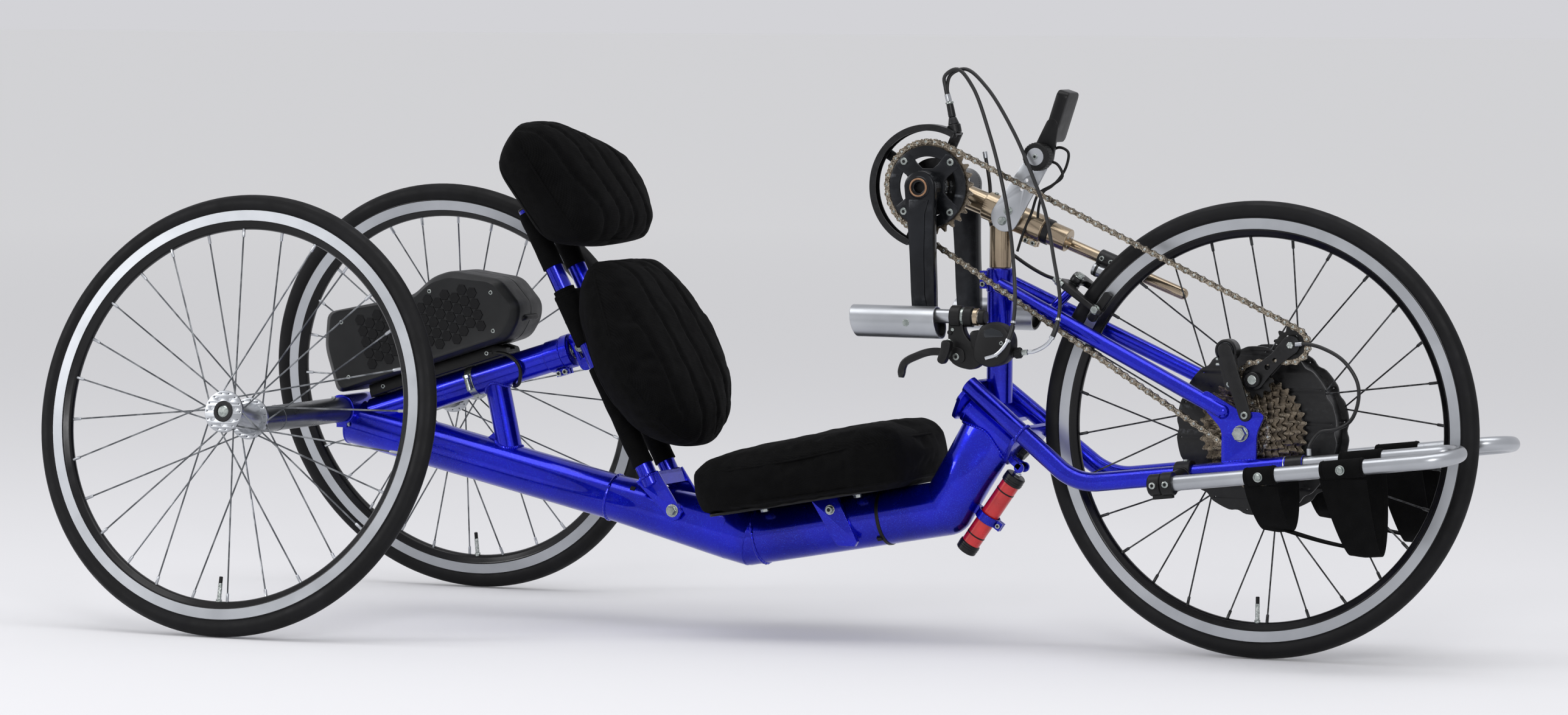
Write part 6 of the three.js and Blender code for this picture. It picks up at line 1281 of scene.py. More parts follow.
def make_seat_pan():
    inset = 14
    front, rear_half, front_half = SEAT_LENGTH - 2 * inset, SEAT_REAR_HALF - inset, SEAT_FRONT_HALF - inset
    corners = [(inset, -rear_half), (front, -front_half), (front, front_half), (inset, rear_half)]
    outline = rounded_outline(corners, 26, 8)
    holes = [disc(x, y, 9, 28) for x in (60, 140, 210) for y in (-62, 62)]
    shape = Shape().add(plate([outline] + holes, 0.3, 4.3, on_seat(0), SEAT_WAY, ACROSS, 0.8))
    for side in SIDES:
        for forward in (60, 200):
            at = on_seat(forward, 0.3, side * 30)
            hexagon_head(shape, at - SEAT_UP * 0.2, -SEAT_UP, 10, 4, 1, 8)
    tie = Vector((SEAT_TIE_X, 0, seat_top(SEAT_TIE_X) - SEAT_TUBE / math.cos(SEAT_RISE)))
    strap_round(shape, tie, SEAT_WAY, SEAT_TUBE, 5, 0, 1.2, -ACROSS - UP)
    piece("seat_panel", shape, "rear_frame", "black_plastic", "zinc_steel", replaces="seat_pan", bevel=0.3)


make_seat_pan()


# Fork: yoke plates, saddle, mast and lower stays

MAST_X, MAST_RADIUS, MAST_TOP = -371, 17.5, 509
LOWER_STAY, UPPER_STAY = 12.7, 10.5
STAY_FRONT_ANGLE = math.radians(6.8)
STAY_FORWARD = toward(STAY_FRONT_ANGLE)
STAY_TURN = on_pivot(214, 36)
STAY_END_X = 89
STAY_FRONT = STAY_TURN + STAY_FORWARD * ((STAY_END_X - STAY_TURN.x) / math.cos(STAY_FRONT_ANGLE))
AXLE = Vector((0, 0, WHEEL_RADIUS))
DROP_IN, DROP_OUT = 67.5, 73.5


def stay_corners(side):
    """Where a lower stay starts, turns and ends."""
    return (on_pivot(UPPER_PLATE, 36, side * 48), STAY_TURN + ACROSS * (side * 64),
            STAY_FRONT + ACROSS * (side * 72))


def stay_height(x):
    """The height of the lower stays' axis at x, in front of their turn."""
    return STAY_FRONT.z - (STAY_FRONT.x - x) * math.tan(STAY_FRONT_ANGLE)


def stay_along(side):
    _, turn, end = stay_corners(side)
    return (end - turn).normalized()


def make_fork_frame():
    shape = Shape()
    top, half = 42.4, 58
    corners = [(-half, top - 24), (-half + 12, top), (half - 12, top), (half, top - 24), (34, -10), (22, -22),
               (-22, -22), (-34, -10)]
    outline = rounded_outline(corners, 9)
    for start in (UPPER_PLATE, LOWER_PLATE):
        shape.add(plate([outline, disc(0, 0, 6.4, 28)], 0, YOKE, on_pivot(start), ACROSS, PIVOT_UP, 0.8))
    shape.add(block(on_pivot(HEAD_START, HEAD_RADIUS + 0.6), PIVOT_WAY, ACROSS, (-6, -48, 0), (62, 48, 8)))
    for side in SIDES:
        a, b = sorted((side * 8, side * 12))
        base = on_pivot(LOWER_PLATE)
        shape.add(block(base, PIVOT_WAY, ACROSS, (3, a, -20), (21, b, -12)))
        inside, outside = (on_pivot(ROD_END_ALONG, ROD_END_RISE, side * y) for y in (8, 12))
        shape.add(rod(inside, outside, 7, 28, 0.5))
        path = rounded_path(stay_corners(side), 80, 16)
        shape.add(tube(path, LOWER_STAY, 36))
        end, along = stay_corners(side)[2], stay_along(side)
        shape.add(sleeve(end - along * 27, end - along * 25.4, LOWER_STAY + 0.5, 11, 40, 0.4), 1)
        shape.add(sleeve(end - along * 25.4, end + along * 0.5, LOWER_STAY + 0.2, 10.4, 40, 1.4), 2)
        below = on_pivot(LOWER_PLATE + YOKE + 0.6, 36, side * 56.3)
        ring_bead(shape, below, PIVOT_WAY, LOWER_STAY + 0.4, 2.4)
    foot = on_pivot((MAST_X + 425) / math.cos(PIVOT_ANGLE) - 30 * math.tan(PIVOT_ANGLE), 30)
    shape.add(rod((MAST_X, 0, foot.z), (MAST_X, 0, MAST_TOP), MAST_RADIUS, 48, 0.8))
    shape.add(sleeve((MAST_X, 0, MAST_TOP - 32), (MAST_X, 0, MAST_TOP - 1), MAST_RADIUS + 1.2, 15, 48, 0.8))
    ear = Vector((MAST_X - 22, 0, MAST_TOP - 16))
    for side in SIDES:
        shape.add(block(ear, AHEAD, ACROSS, (-5, side * 5 - 2.6, -12), (8, side * 5 + 2.6, 12)))
    for rise in (-6, 6):
        at = ear + UP * rise
        socket_head(shape, at - ACROSS * 7.6, -ACROSS, 3.8, 3.6, 1, 2)
        shape.add(rod(at, at + ACROSS * 9.5, 2.4, 16), 1)
    weld(shape, (MAST_X, 0, MAST_TOP), -UP, MAST_RADIUS, on_pivot(0, HEAD_RADIUS + 0.6 - MAST_RADIUS),
         PIVOT_WAY, MAST_RADIUS + 8)
    piece("fork_yoke", shape, "front_frame", "blue_paint", "zinc_steel", "black_metal",
          replaces="fork_frame", bevel=0.5)


make_fork_frame()

BRAKE_ANGLE = math.radians(144.5)
BRAKE_OUT = toward(BRAKE_ANGLE)
BRAKE_ALONG = Vector((math.sin(BRAKE_ANGLE), 0, -math.cos(BRAKE_ANGLE)))
BRAKE_REACH = WHEEL_RADIUS + 20


def on_brake(radius, along=0.0, y=0.0):
    """A place by its radius from the front axle toward the brake, its way round the wheel and its side."""
    return AXLE + BRAKE_OUT * radius + BRAKE_ALONG * along + ACROSS * y


def stay_high(side):
    return Vector((MAST_X + 8.75, side * 25.25, 487))


def stay_low(side):
    return Vector((-26, side * 70.5, WHEEL_RADIUS + 28))


def make_upper_fork():
    shape = Shape()
    foot = stay_height(0) - 6
    hub = WHEEL_RADIUS
    corners = [(-26, foot), (21, foot), (21, hub), (31, hub + 23), (26, hub + 28), (0, hub + 28),
               (-52, hub + 56), (-57, hub + 38), (-26, hub + 5)]
    outline = rounded_outline(corners, 9)
    for side in SIDES:
        a, b = sorted((side * DROP_IN, side * DROP_OUT))
        shape.add(side_plate([outline, disc(0, hub, 6.3, 28)], a, b, 0.8))
        shape.add(tube([stay_high(side), stay_low(side)], UPPER_STAY, 36))
        shape.add(ball(stay_low(side), UPPER_STAY, 28))
        way = (stay_low(side) - stay_high(side)).normalized()
        weld(shape, stay_low(side), -way, UPPER_STAY, (MAST_X, 0, 0), UP, MAST_RADIUS, size=2.4)
        line = [Vector((x, side * (DROP_OUT - 1), stay_height(x) + 12.2)) for x in range(-25, 22, 3)]
        bead(shape, line, 2.4, False)
    ends = [stay_high(side).lerp(stay_low(side), 0.2) for side in SIDES]
    middle = (ends[0] + ends[1]) / 2
    shape.add(tube(ends, 7, 28))
    stand = on_brake(BRAKE_REACH, -16)
    shape.add(rod(middle, stand, 7, 28))
    shape.add(ball(stand, 7, 24))
    shape.add(rod(stand, on_brake(BRAKE_REACH, 13), 5, 24), 1)
    hexagon_head(shape, on_brake(BRAKE_REACH, 9.4), BRAKE_ALONG, 10, 5, 1, 7)
    piece("fork_stays", shape, "front_frame", "blue_paint", "zinc_steel", replaces="upper_fork", bevel=0.5)


make_upper_fork()


def make_front_axle():
    shape = Shape().add(rod(AXLE - ACROSS * 84, AXLE + ACROSS * 84, 6, 32))
    for side in SIDES:
        out = ACROSS * side
        hexagon_head(shape, AXLE + out * (DROP_OUT + 0.3), out, 17, 8.5, 0, 11)
        add_bars(shape, AXLE, out, ((DROP_OUT + 8.2, DROP_OUT + 10.4, 5.4, 24, 0.3, 1),
                                    (DROP_IN - 3.8, DROP_IN - 0.3, 10.4, 6, 0.3, 0)))
    piece("wheel_axle", shape, "front_frame", "zinc_steel", "black_metal", replaces="front_axle", bevel=0.3)


make_front_axle()


# Mast post, sleeve, boom, support rod

CRANK = Vector((-455, 0, 618))
BOOM_ANGLE = math.radians(21.1)
BOOM_WAY = toward(-BOOM_ANGLE)
BOOM_UP = upright(BOOM_WAY)
BOOM_RADIUS = 15.9
BOOM_AT_MAST = (MAST_X - CRANK.x) / math.cos(BOOM_ANGLE)
SLEEVE_START = BOOM_AT_MAST - 22
COLLAR_END = SLEEVE_START + 90
POST_RADIUS, BOOM_END, SHELL_HALF, SHELL_RADIUS = 14.8, 195, 36, 20.5


def on_boom(along, rise=0.0, y=0.0):
    """A place by its way down the boom from the cranks, its rise off the boom's axis and its side."""
    return CRANK + BOOM_WAY * along + BOOM_UP * rise + ACROSS * y


def make_boom_post():
    shape = Shape()
    shape.add(rod((MAST_X, 0, MAST_TOP - 36), (MAST_X, 0, MAST_TOP + 2), 11.4, 40))
    shape.add(rod((MAST_X, 0, MAST_TOP + 0.4), (MAST_X, 0, 566), POST_RADIUS, 48, 0.8))
    shape.add(sleeve(on_boom(SLEEVE_START), on_boom(SLEEVE_START + 44), 19, 16.2, 56, 1))
    shape.add(sleeve(on_boom(SLEEVE_START + 43.6), on_boom(COLLAR_END), 18.5, 16.2, 56, 1))
    weld(shape, (MAST_X, 0, 520), UP, POST_RADIUS, on_boom(0), BOOM_WAY, 19, size=2.2)
    for low in (-6, 1.4):
        ear = on_boom(COLLAR_END - 24, -18.5 - 7)
        shape.add(block(ear, BOOM_WAY, ACROSS, (0, low, 0), (22, low + 4.6, 9)))
    for along in (-18, -7):
        at = on_boom(COLLAR_END + along, -21.5)
        socket_head(shape, at - ACROSS * 6, -ACROSS, 3.4, 3.4, 1, 2)
        shape.add(rod(at, at + ACROSS * 7.6, 2.2, 16), 1)
    for along in (8, 30):
        socket_head(shape, on_boom(SLEEVE_START + along, 18.6), BOOM_UP, 3.2, 2.2, 1, 2)
    piece("mast_post", shape, "front_frame", "nickel_plate", "zinc_steel", "black_metal",
          replaces="boom_post", bevel=0.4)


def make_boom():
    shape = Shape()
    shape.add(rod(on_boom(4), on_boom(BOOM_END), BOOM_RADIUS, 48, 0.8))
    shape.add(rod(on_boom(COLLAR_END + 0.8), on_boom(COLLAR_END + 10.8), 17.5, 48, 1.2), 2)
    shape.add(sleeve(CRANK - ACROSS * SHELL_HALF, CRANK + ACROSS * SHELL_HALF, SHELL_RADIUS, 11.6, 56, 1))
    weld(shape, on_boom(60), -BOOM_WAY, BOOM_RADIUS, CRANK, ACROSS, SHELL_RADIUS, size=2.2)
    for side in SIDES:
        out = ACROSS * side
        shape.add(sleeve(CRANK + out * SHELL_HALF, CRANK + out * (SHELL_HALF + 7), 22, 11.8, 56, 0.8), 1)
        for a in angles(16):
            at = CRANK + out * 39.6 + (AHEAD * math.cos(a) + UP * math.sin(a)) * 21.6
            shape.add(rod(at - out * 2.6, at + out * 2.6, 1.5, 8, 0.2), 1)
    for a in angles(3, 0.5):
        at = on_boom(BOOM_END) + (ACROSS * math.cos(a) + BOOM_UP * math.sin(a)) * 8
        shape.add(rod(at, at + BOOM_WAY * 0.8, 1.6, 12, 0.2), 1)
    piece("boom_tube", shape, "front_frame", "nickel_plate", "bright_chrome", "black_metal",
          replaces="boom", bevel=0.3)


def make_support_rod():
    def at(along, rise=0.0, y=0.0):
        return on_boom(176 + along, -9 + rise, 30 + y)

    shape = Shape()
    shape.add(rod(at(0), at(185), 8, 36, 0.8))
    shape.add(ball(at(185), 7.9, 24))
    shape.add(rod(at(58), at(88), 12, 40, 1.2), 1)
    drop, inward = 16.2, -8.5
    shape.add(block(at(73, -drop * 0.6, -4), BOOM_WAY, ACROSS, (-11, -6, -8), (11, 6, 8)), 1)
    for along in (66, 80):
        socket_head(shape, at(along, 2, -12), -ACROSS, 3.6, 3, 3, 1)
    shape.add(rod(at(58, -drop, inward), at(120, -drop, inward), 8.5, 36, 0.8), 2)
    for along in (62, 112):
        shape.add(rod(at(along, -drop, inward), at(along + 4, -drop, inward), 9, 36, 0.4), 1)
    shape.add(rod(at(8), at(8, 9, -22), 8, 28))
    piece("support_bar", shape, "front_frame", "nickel_plate", "black_metal", "satin_aluminium",
          "zinc_steel", replaces="support_rod", bevel=0.3)


make_boom_post()
make_boom()
make_support_rod()


# Console plate, knob and display

PLATE_SIDE = 23
PLATE_ROOT = on_boom(BOOM_AT_MAST + 44 * 0.4, 0, -PLATE_SIDE)
PLATE_ANGLE = math.radians(58)
PLATE_WAY = toward(PLATE_ANGLE)
KNOB = PLATE_ROOT + PLATE_WAY * 96


def make_console():
    shape = Shape()
    outline = belt(PLATE_ROOT.x, PLATE_ROOT.z, 19.6, KNOB.x, KNOB.z, 15, 18)
    holes = [disc(PLATE_ROOT.x + PLATE_WAY.x * d, PLATE_ROOT.z + PLATE_WAY.z * d, 3.2, 16) for d in (44, 58)]
    shape.add(side_plate([outline] + holes, -PLATE_SIDE - 4, -PLATE_SIDE, 0.7))
    for d in (-7, 9):
        at = PLATE_ROOT + PLATE_WAY * d - ACROSS * 4
        hexagon_head(shape, at, -ACROSS, 9, 4, 1, 6)
    shape.add(rod(PLATE_ROOT - ACROSS * 2, PLATE_ROOT + ACROSS * 4, 7.5, 24))
    near = Vector((KNOB.x, -PLATE_SIDE, KNOB.z))
    profile = [(0, 0.3), (14, 0.3), (14, 4), (18.5, 5), (18.5, 22), (17.4, 24), (12.4, 24), (12.4, 23.2)]
    shape.add(lathe(profile, near, -ACROSS, 60), 2)
    for a in angles(30):
        at = near + (AHEAD * math.cos(a) + UP * math.sin(a)) * 18.3
        shape.add(rod(at - ACROSS * 6, at - ACROSS * 21.5, 0.9, 8, 0.2), 2)
    shape.add(lathe([(12.4, 23.2), (11.6, 24.6), (0, 25)], near, -ACROSS, 48), 0)
    socket_head(shape, near - ACROSS * 24.8, -ACROSS, 3.6, 1.8, 1, 2)
    loops = (((2, 2), (20, 12), (33, 6), (31, -12), (22, -28), (10, -40), (-2, -48), (-8, -66), (-10, -84)),
             ((4, -6), (20, -10), (28, -26), (14, -38), (-6, -50), (-16, -76), (-28, -104), (-36, -128)))
    for y, places in zip((-11, -18), loops):
        line = curve_through([(KNOB.x + x, y, KNOB.z + z) for x, z in places], 60)
        shape.add(tube(line, 1.9, 12), 2)
    piece("console_plate", shape, "front_frame", "satin_aluminium", "zinc_steel", "black_plastic",
          replaces="console_bracket", bevel=0.3)


def make_display():
    way = toward(math.radians(72))
    pivot = Vector((KNOB.x, 0, KNOB.z))
    far = pivot + way * 44
    low, high = -PLATE_SIDE + 0.4, -PLATE_SIDE + 7
    shape = Shape().add(side_plate([belt(pivot.x, pivot.z, 15, far.x, far.z, 8, 16)], low, high, 0.8))
    socket_head(shape, (pivot.x, high, pivot.z), ACROSS, 6, 3, 2, 0)
    face = way.cross(ACROSS)
    outline = rounded_outline(((-20, -20), (46, -20), (46, 20), (-20, 20)), 7)
    shape.add(plate([outline], -9, 7.4, far, way, ACROSS, 2.2))
    window = rounded_outline(((-11, -15.5), (40, -15.5), (40, 15.5), (-11, 15.5)), 3)
    sign = -1 if face.x > 0 else 1
    lift = sign * 8.6
    shape.add(plate([window], lift - 0.5, lift + 0.5, far, way, ACROSS, 0.3), 1)
    for y in (-9, 0, 9):
        at = far - way * 15.5 + ACROSS * y + face * lift
        shape.add(rod(at, at + face * (sign * 1.2), 2.6, 20, 0.3), 1)
    piece("display_unit", shape, "console", "gloss_plastic", "screen", "zinc_steel", replaces="display",
          bevel=0.3)


make_console()
make_display()


# Chain guard with its three brackets and the rotating cable guide

CHAIN_LINE = -50
GUARD_RADIUS, GUARD_WALL, GUARD_HALF = 84, 2.5, 8
GUARD_START, GUARD_END = math.radians(62), math.radians(250)
GUARD_ARM = -30
GUARD_LIP = 7.5


def make_guard():
    shape = Shape()
    steps, middle = 90, GUARD_RADIUS - GUARD_WALL / 2
    turns = [GUARD_START + (GUARD_END - GUARD_START) * i / steps for i in range(steps + 1)]
    path = [CRANK + toward(a) * middle + ACROSS * CHAIN_LINE for a in turns]
    wall, half, lip = GUARD_WALL / 2, GUARD_HALF, GUARD_LIP
    section = [(-half, -wall), (half, -wall), (half, lip), (half - 2, lip), (half - 2, wall),
               (2 - half, wall), (2 - half, lip), (-half, lip)]
    shape.add(sweep(path, lambda i: section, start_up=-(path[0] - CRANK - ACROSS * CHAIN_LINE)))
    top_angle, shell = GUARD_START + math.radians(3.4), 24.8
    for angle in (top_angle, math.radians(147.6), GUARD_END - math.radians(5.7)):
        way = toward(angle)
        root = CRANK + way * shell
        reach = middle - shell
        shape.add(block(root, way, ACROSS, (0, GUARD_ARM - 3, -7), (reach, GUARD_ARM, 7)))
        shape.add(block(root, way, ACROSS, (reach - 3, CHAIN_LINE - 4, -7), (reach, GUARD_ARM, 7)))
        at = root + way * (reach - 0.4) + ACROSS * (CHAIN_LINE + 3)
        socket_head(shape, at, way, 3.2, 2.2, 1, 0)
    shape.add(sleeve(CRANK + ACROSS * (GUARD_ARM - 3), CRANK + ACROSS * GUARD_ARM, 38.5, 21, 56, 0.4))
    foot = CRANK + toward(top_angle) * (GUARD_RADIUS - GUARD_WALL)
    foot = foot + ACROSS * (CHAIN_LINE + GUARD_HALF)
    head = foot + Vector((-8.8, 0, 40))
    way = (head - foot).normalized()
    shape.add(rod(foot - way * 2, foot + way * 10, 9, 36, 1))
    shape.add(rod(foot + way * 10, foot + way * 20, 7.6, 32, 0.8, 5.2))
    shape.add(rod(foot + way * 20, head, 5.2, 32, 0.8, 4.6))
    shape.add(rod(head - way * 3, head, 5.6, 32, 0.6), 1)
    piece("guard_hoop", shape, "front_frame", "black_metal", "zinc_steel", replaces="chain_guard", bevel=0.3)


make_guard()


# Chain: links along the route, then the toothed wheels set in phase with its rollers

CHAIN_PITCH = 12.7
RING_TEETH, COG_TEETH, PULLEY_TEETH = 30, 15, 11
RING_HALF, SPIDER_GAP, SPIDER_THICK = 1.5, 0.3, 5
GUIDE = Vector((12, 0, 374))
TENSION = Vector((61.6, 0, 420.6))


def pitch_radius(teeth):
    return CHAIN_PITCH / 2 / math.sin(math.pi / teeth)


CHAIN_WHEELS = [
    (CRANK.x, CRANK.z, pitch_radius(RING_TEETH), 1),
    (TENSION.x, TENSION.z, pitch_radius(PULLEY_TEETH), 1),
    (GUIDE.x, GUIDE.z, pitch_radius(PULLEY_TEETH), -1),
    (0, WHEEL_RADIUS, pitch_radius(COG_TEETH), 1),
]


def run_between(first, second):
    """The angles at which the chain leaves one wheel and meets the next."""
    x1, z1, r1, way1 = first
    x2, z2, r2, way2 = second
    heading = math.atan2(z2 - z1, x2 - x1)
    normal = heading + math.acos((way1 * r1 - way2 * r2) / math.hypot(x2 - x1, z2 - z1))
    return (normal if way1 > 0 else normal + math.pi), (normal if way2 > 0 else normal + math.pi)


def chain_pins():
    """The places of the chain's pins, evenly spaced round its route."""
    count = len(CHAIN_WHEELS)
    runs = [run_between(CHAIN_WHEELS[i], CHAIN_WHEELS[(i + 1) % count]) for i in range(count)]
    line = []
    for i, (x, z, r, way) in enumerate(CHAIN_WHEELS):
        arrive, leave = runs[i - 1][1], runs[i][0]
        turn = (arrive - leave) if way > 0 else (leave - arrive)
        around = turn % (2 * math.pi)
        steps = max(8, round(around * r / 2))
        for k in range(steps + 1):
            a = arrive - way * around * k / steps
            line.append(Vector((x + r * math.cos(a), CHAIN_LINE, z + r * math.sin(a))))
    line.append(line[0])
    total = sum((b - a).length for a, b in zip(line, line[1:]))
    links = round(total / CHAIN_PITCH / 2) * 2
    return evenly(line, links)[:-1]


PINS = chain_pins()


def prism(outline, low, high):
    """A flat outline in the side view made thick from y = low to y = high."""
    count = len(outline)
    points = [(x, y, z) for y in (low, high) for x, z in outline]
    faces = [(i, (i + 1) % count, count + (i + 1) % count, count + i) for i in range(count)]
    return points, faces + [tuple(reversed(range(count))), tuple(range(count, 2 * count))]


def link_outline(a, b, end, waist):
    """A link plate: two round ends and a waist between them."""
    along = (b - a).normalized()
    up = upright(along)
    reach = (b - a).length
    left = [(-end * math.cos(t), end * math.sin(t)) for t in (0, 0.6, 1.2, 1.7, 2.2)]
    right = [(reach - x, z) for x, z in reversed(left)]
    top = left + [(reach / 2, waist)] + right
    bottom = [(x, -z) for x, z in reversed(top[1:-1])]
    return [((a + along * x + up * z).x, (a + along * x + up * z).z) for x, z in top + bottom]


def make_chain():
    shape = Shape()
    count = len(PINS)
    for i, a in enumerate(PINS):
        b = PINS[(i + 1) % count]
        inner, outer = ((1.25, 2.15), (2.2, 3.0))[i % 2]
        outline = link_outline(a, b, 4.2 if i % 2 else 4.0, 2.7)
        for side in SIDES:
            low, high = sorted((CHAIN_LINE + side * inner, CHAIN_LINE + side * outer))
            shape.add(prism(outline, low, high), 0)
        shape.add(lathe([(0, -1.2), (3.7, -1.2), (3.9, -0.9), (3.9, 0.9), (3.7, 1.2), (0, 1.2)], a,
                        ACROSS, 14), 1)
        shape.add(rod(a - ACROSS * 3.3, a + ACROSS * 3.3, 1.8, 10, 0.3), 1)
    piece("drive_chain", shape, "front_frame", "chain_steel", "zinc_steel", replaces="chain")


make_chain()


def phase_of(x, z, teeth):
    """The start angle that puts a wheel's gaps on the chain's rollers."""
    centre = Vector((x, CHAIN_LINE, z))
    near = [p for p in PINS if abs((p - centre).length - pitch_radius(teeth)) < 0.35]
    middle = near[len(near) // 2]
    return math.atan2(middle.z - z, middle.x - x) + math.pi / teeth


def toothed_outline(x, z, teeth, start, high_by=3.4):
    """Teeth that rise above the pitch circle by high_by, with gaps between them."""
    low_by = 3.9
    radius = pitch_radius(teeth)
    turn = 2 * math.pi / teeth
    points = []
    for i in range(teeth):
        for reach, share in ((-low_by * 0.72, -0.31), (0.2, -0.19), (high_by, -0.06), (high_by, 0.06),
                             (0.2, 0.19), (-low_by * 0.72, 0.31), (-low_by, 0.5)):
            angle = start + turn * (i + share)
            points.append((x + (radius + reach) * math.cos(angle), z + (radius + reach) * math.sin(angle)))
    return points


def make_chainring():
    start = phase_of(CRANK.x, CRANK.z, RING_TEETH)
    outline = toothed_outline(CRANK.x, CRANK.z, RING_TEETH, start)
    inside = disc(CRANK.x, CRANK.z, 46.5, 96)
    shape = Shape().add(side_plate([outline, inside], CHAIN_LINE - RING_HALF, CHAIN_LINE + RING_HALF, 0.5))
    for i in range(4):
        for a in (i * math.pi / 2 - math.radians(22), i * math.pi / 2 + math.radians(22)):
            at = CRANK + toward(a) * 51.5
            low, high = at + ACROSS * (CHAIN_LINE - 2.1), at + ACROSS * (CHAIN_LINE + 2.1)
            shape.add(rod(low, high, 1.6, 12, 0.2), 1)
    piece("ring_teeth", shape, "cranks", "chain_steel", "black_metal", replaces="chainring")


make_chainring()

CRANK_FACE, CRANK_THICK, CRANK_LENGTH = 88, 17, 178
CRANK_HEAD, CRANK_FOOT, RIDGE = 19.4, 13.6, 1.8
SPINDLE_END, SPINDLE_HUB = 79.5, 22
PEDAL = Vector((CRANK.x + 8, 0, CRANK.z - math.sqrt(CRANK_LENGTH ** 2 - 64)))


def crank_outline():
    """Round ends with sides that draw in between them."""
    down = (PEDAL - CRANK).normalized()
    side = upright(down)
    outline = [CRANK + side * (CRANK_HEAD * math.cos(a)) - down * (CRANK_HEAD * math.sin(a))
               for a in angles(24, 0, math.pi)]
    shares = [i / 14 for i in range(1, 14)]
    waist = 1.6
    widths = [CRANK_HEAD + (CRANK_FOOT - CRANK_HEAD) * t - waist * math.sin(math.pi * min(t * 1.3, 1))
              for t in shares]
    outline += [CRANK.lerp(PEDAL, t) - side * w for t, w in zip(shares, widths)]
    outline += [PEDAL - side * (CRANK_FOOT * math.cos(a)) + down * (CRANK_FOOT * math.sin(a))
                for a in angles(24, 0, math.pi)]
    outline += [CRANK.lerp(PEDAL, t) + side * w for t, w in reversed(list(zip(shares, widths)))]
    return [(p.x, p.z) for p in outline]


def crank_ridge():
    """The raised strip down the crank's face, which leaves a slope along its trailing edge."""
    points = []
    for share, front, rear in ((0.1, -13, 12), (0.2, -14, 6), (0.5, -12, 3), (0.8, -10.5, 2), (0.9, -9.5, 5)):
        at = CRANK.lerp(PEDAL, share)
        points.append(((at.x + front, at.z), (at.x + rear, at.z)))
    return [p for p, _ in points] + [q for _, q in reversed(points)]


def add_spider(shape):
    """Four arms and a ring behind the chainring, with its bolts and the hub that carries it."""
    low = CHAIN_LINE - RING_HALF - SPIDER_GAP - SPIDER_THICK
    high = low + SPIDER_THICK
    middles = [math.pi / 4 + i * math.pi / 2 for i in range(4)]
    arm = ((25, -0.46), (34, -0.30), (51, -0.24), (53.5, -0.12), (53.5, 0.12), (51, 0.24), (34, 0.30),
           (25, 0.46))
    outline = [(CRANK.x + reach * math.cos(middle + a), CRANK.z + reach * math.sin(middle + a))
               for middle in middles for reach, a in arm]
    shape.add(side_plate([outline, disc(CRANK.x, CRANK.z, 11.6, 40)], low, high, 1))
    rim = [disc(CRANK.x, CRANK.z, 54.6, 96), disc(CRANK.x, CRANK.z, 41.5, 96)]
    shape.add(side_plate(rim, low + 0.6, high - 0.3, 0.8))
    shape.add(sleeve(CRANK - ACROSS * SPINDLE_END, CRANK + ACROSS * high, SPINDLE_HUB, 11.6, 56, 1))
    for middle in middles:
        at = CRANK + toward(middle) * 47.5 + ACROSS * low
        shape.add(rod(at + ACROSS * 2, at - ACROSS * 2.4, 5, 28, 0.6), 3)
        shape.add(rod(at - ACROSS * 2.2, at - ACROSS * 2.8, 2.4, 6, 0.2), 2)


def make_crank(side):
    shape = Shape()
    out = ACROSS * side
    low, high = sorted((side * (CRANK_FACE - CRANK_THICK), side * (CRANK_FACE - RIDGE)))
    shape.add(side_plate([crank_outline(), disc(PEDAL.x, PEDAL.z, 7.6, 32), disc(CRANK.x, CRANK.z, 9.4, 32)],
                         low, high, 2.6))
    face = sorted((side * (CRANK_FACE - RIDGE - 2), side * CRANK_FACE))
    shape.add(side_plate([crank_ridge()], face[0], face[1], RIDGE * 0.9))
    for near, far, radius, inner, edge, kind in ((-6, 0, 15.4, 12.4, 1.2, 0), (-3, 1.2, 12.7, 10.4, 0.5, 1),
                                                 (-14, -0.6, 10.8, 9.0, 0.4, 4)):
        start, end = CRANK + out * (CRANK_FACE + near), CRANK + out * (CRANK_FACE + far)
        shape.add(sleeve(start, end, radius, inner, 48, edge), kind)
    shape.add(rod(CRANK + out * (CRANK_FACE - 16), CRANK + out * (CRANK_FACE - 12), 9.8, 40, 0.5), 4)
    if side < 0:
        add_spider(shape)
    else:
        add_bars(shape, CRANK, ACROSS, ((-74.2, SPINDLE_END, 11, 48, 0.6, 0),
                                        (44, SPINDLE_END, SPINDLE_HUB, 56, 1, 0)))
    piece(f"crank_arm_{SUFFIX[side]}", shape, "cranks", "crank_grey", "bronze_ring", "black_metal",
          "zinc_steel", "black_plastic", replaces=f"crank_{SUFFIX[side]}", bevel=0.3)


for side in SIDES:
    make_crank(side)


# Cassette, derailleur and its pulleys

CASSETTE_TEETH = (36, 32, 28, 24, 21, 18, 15, 13, 11)
COG_SPACING, COG_HALF = 4.35, 0.9
WORKING = CASSETTE_TEETH.index(COG_TEETH)


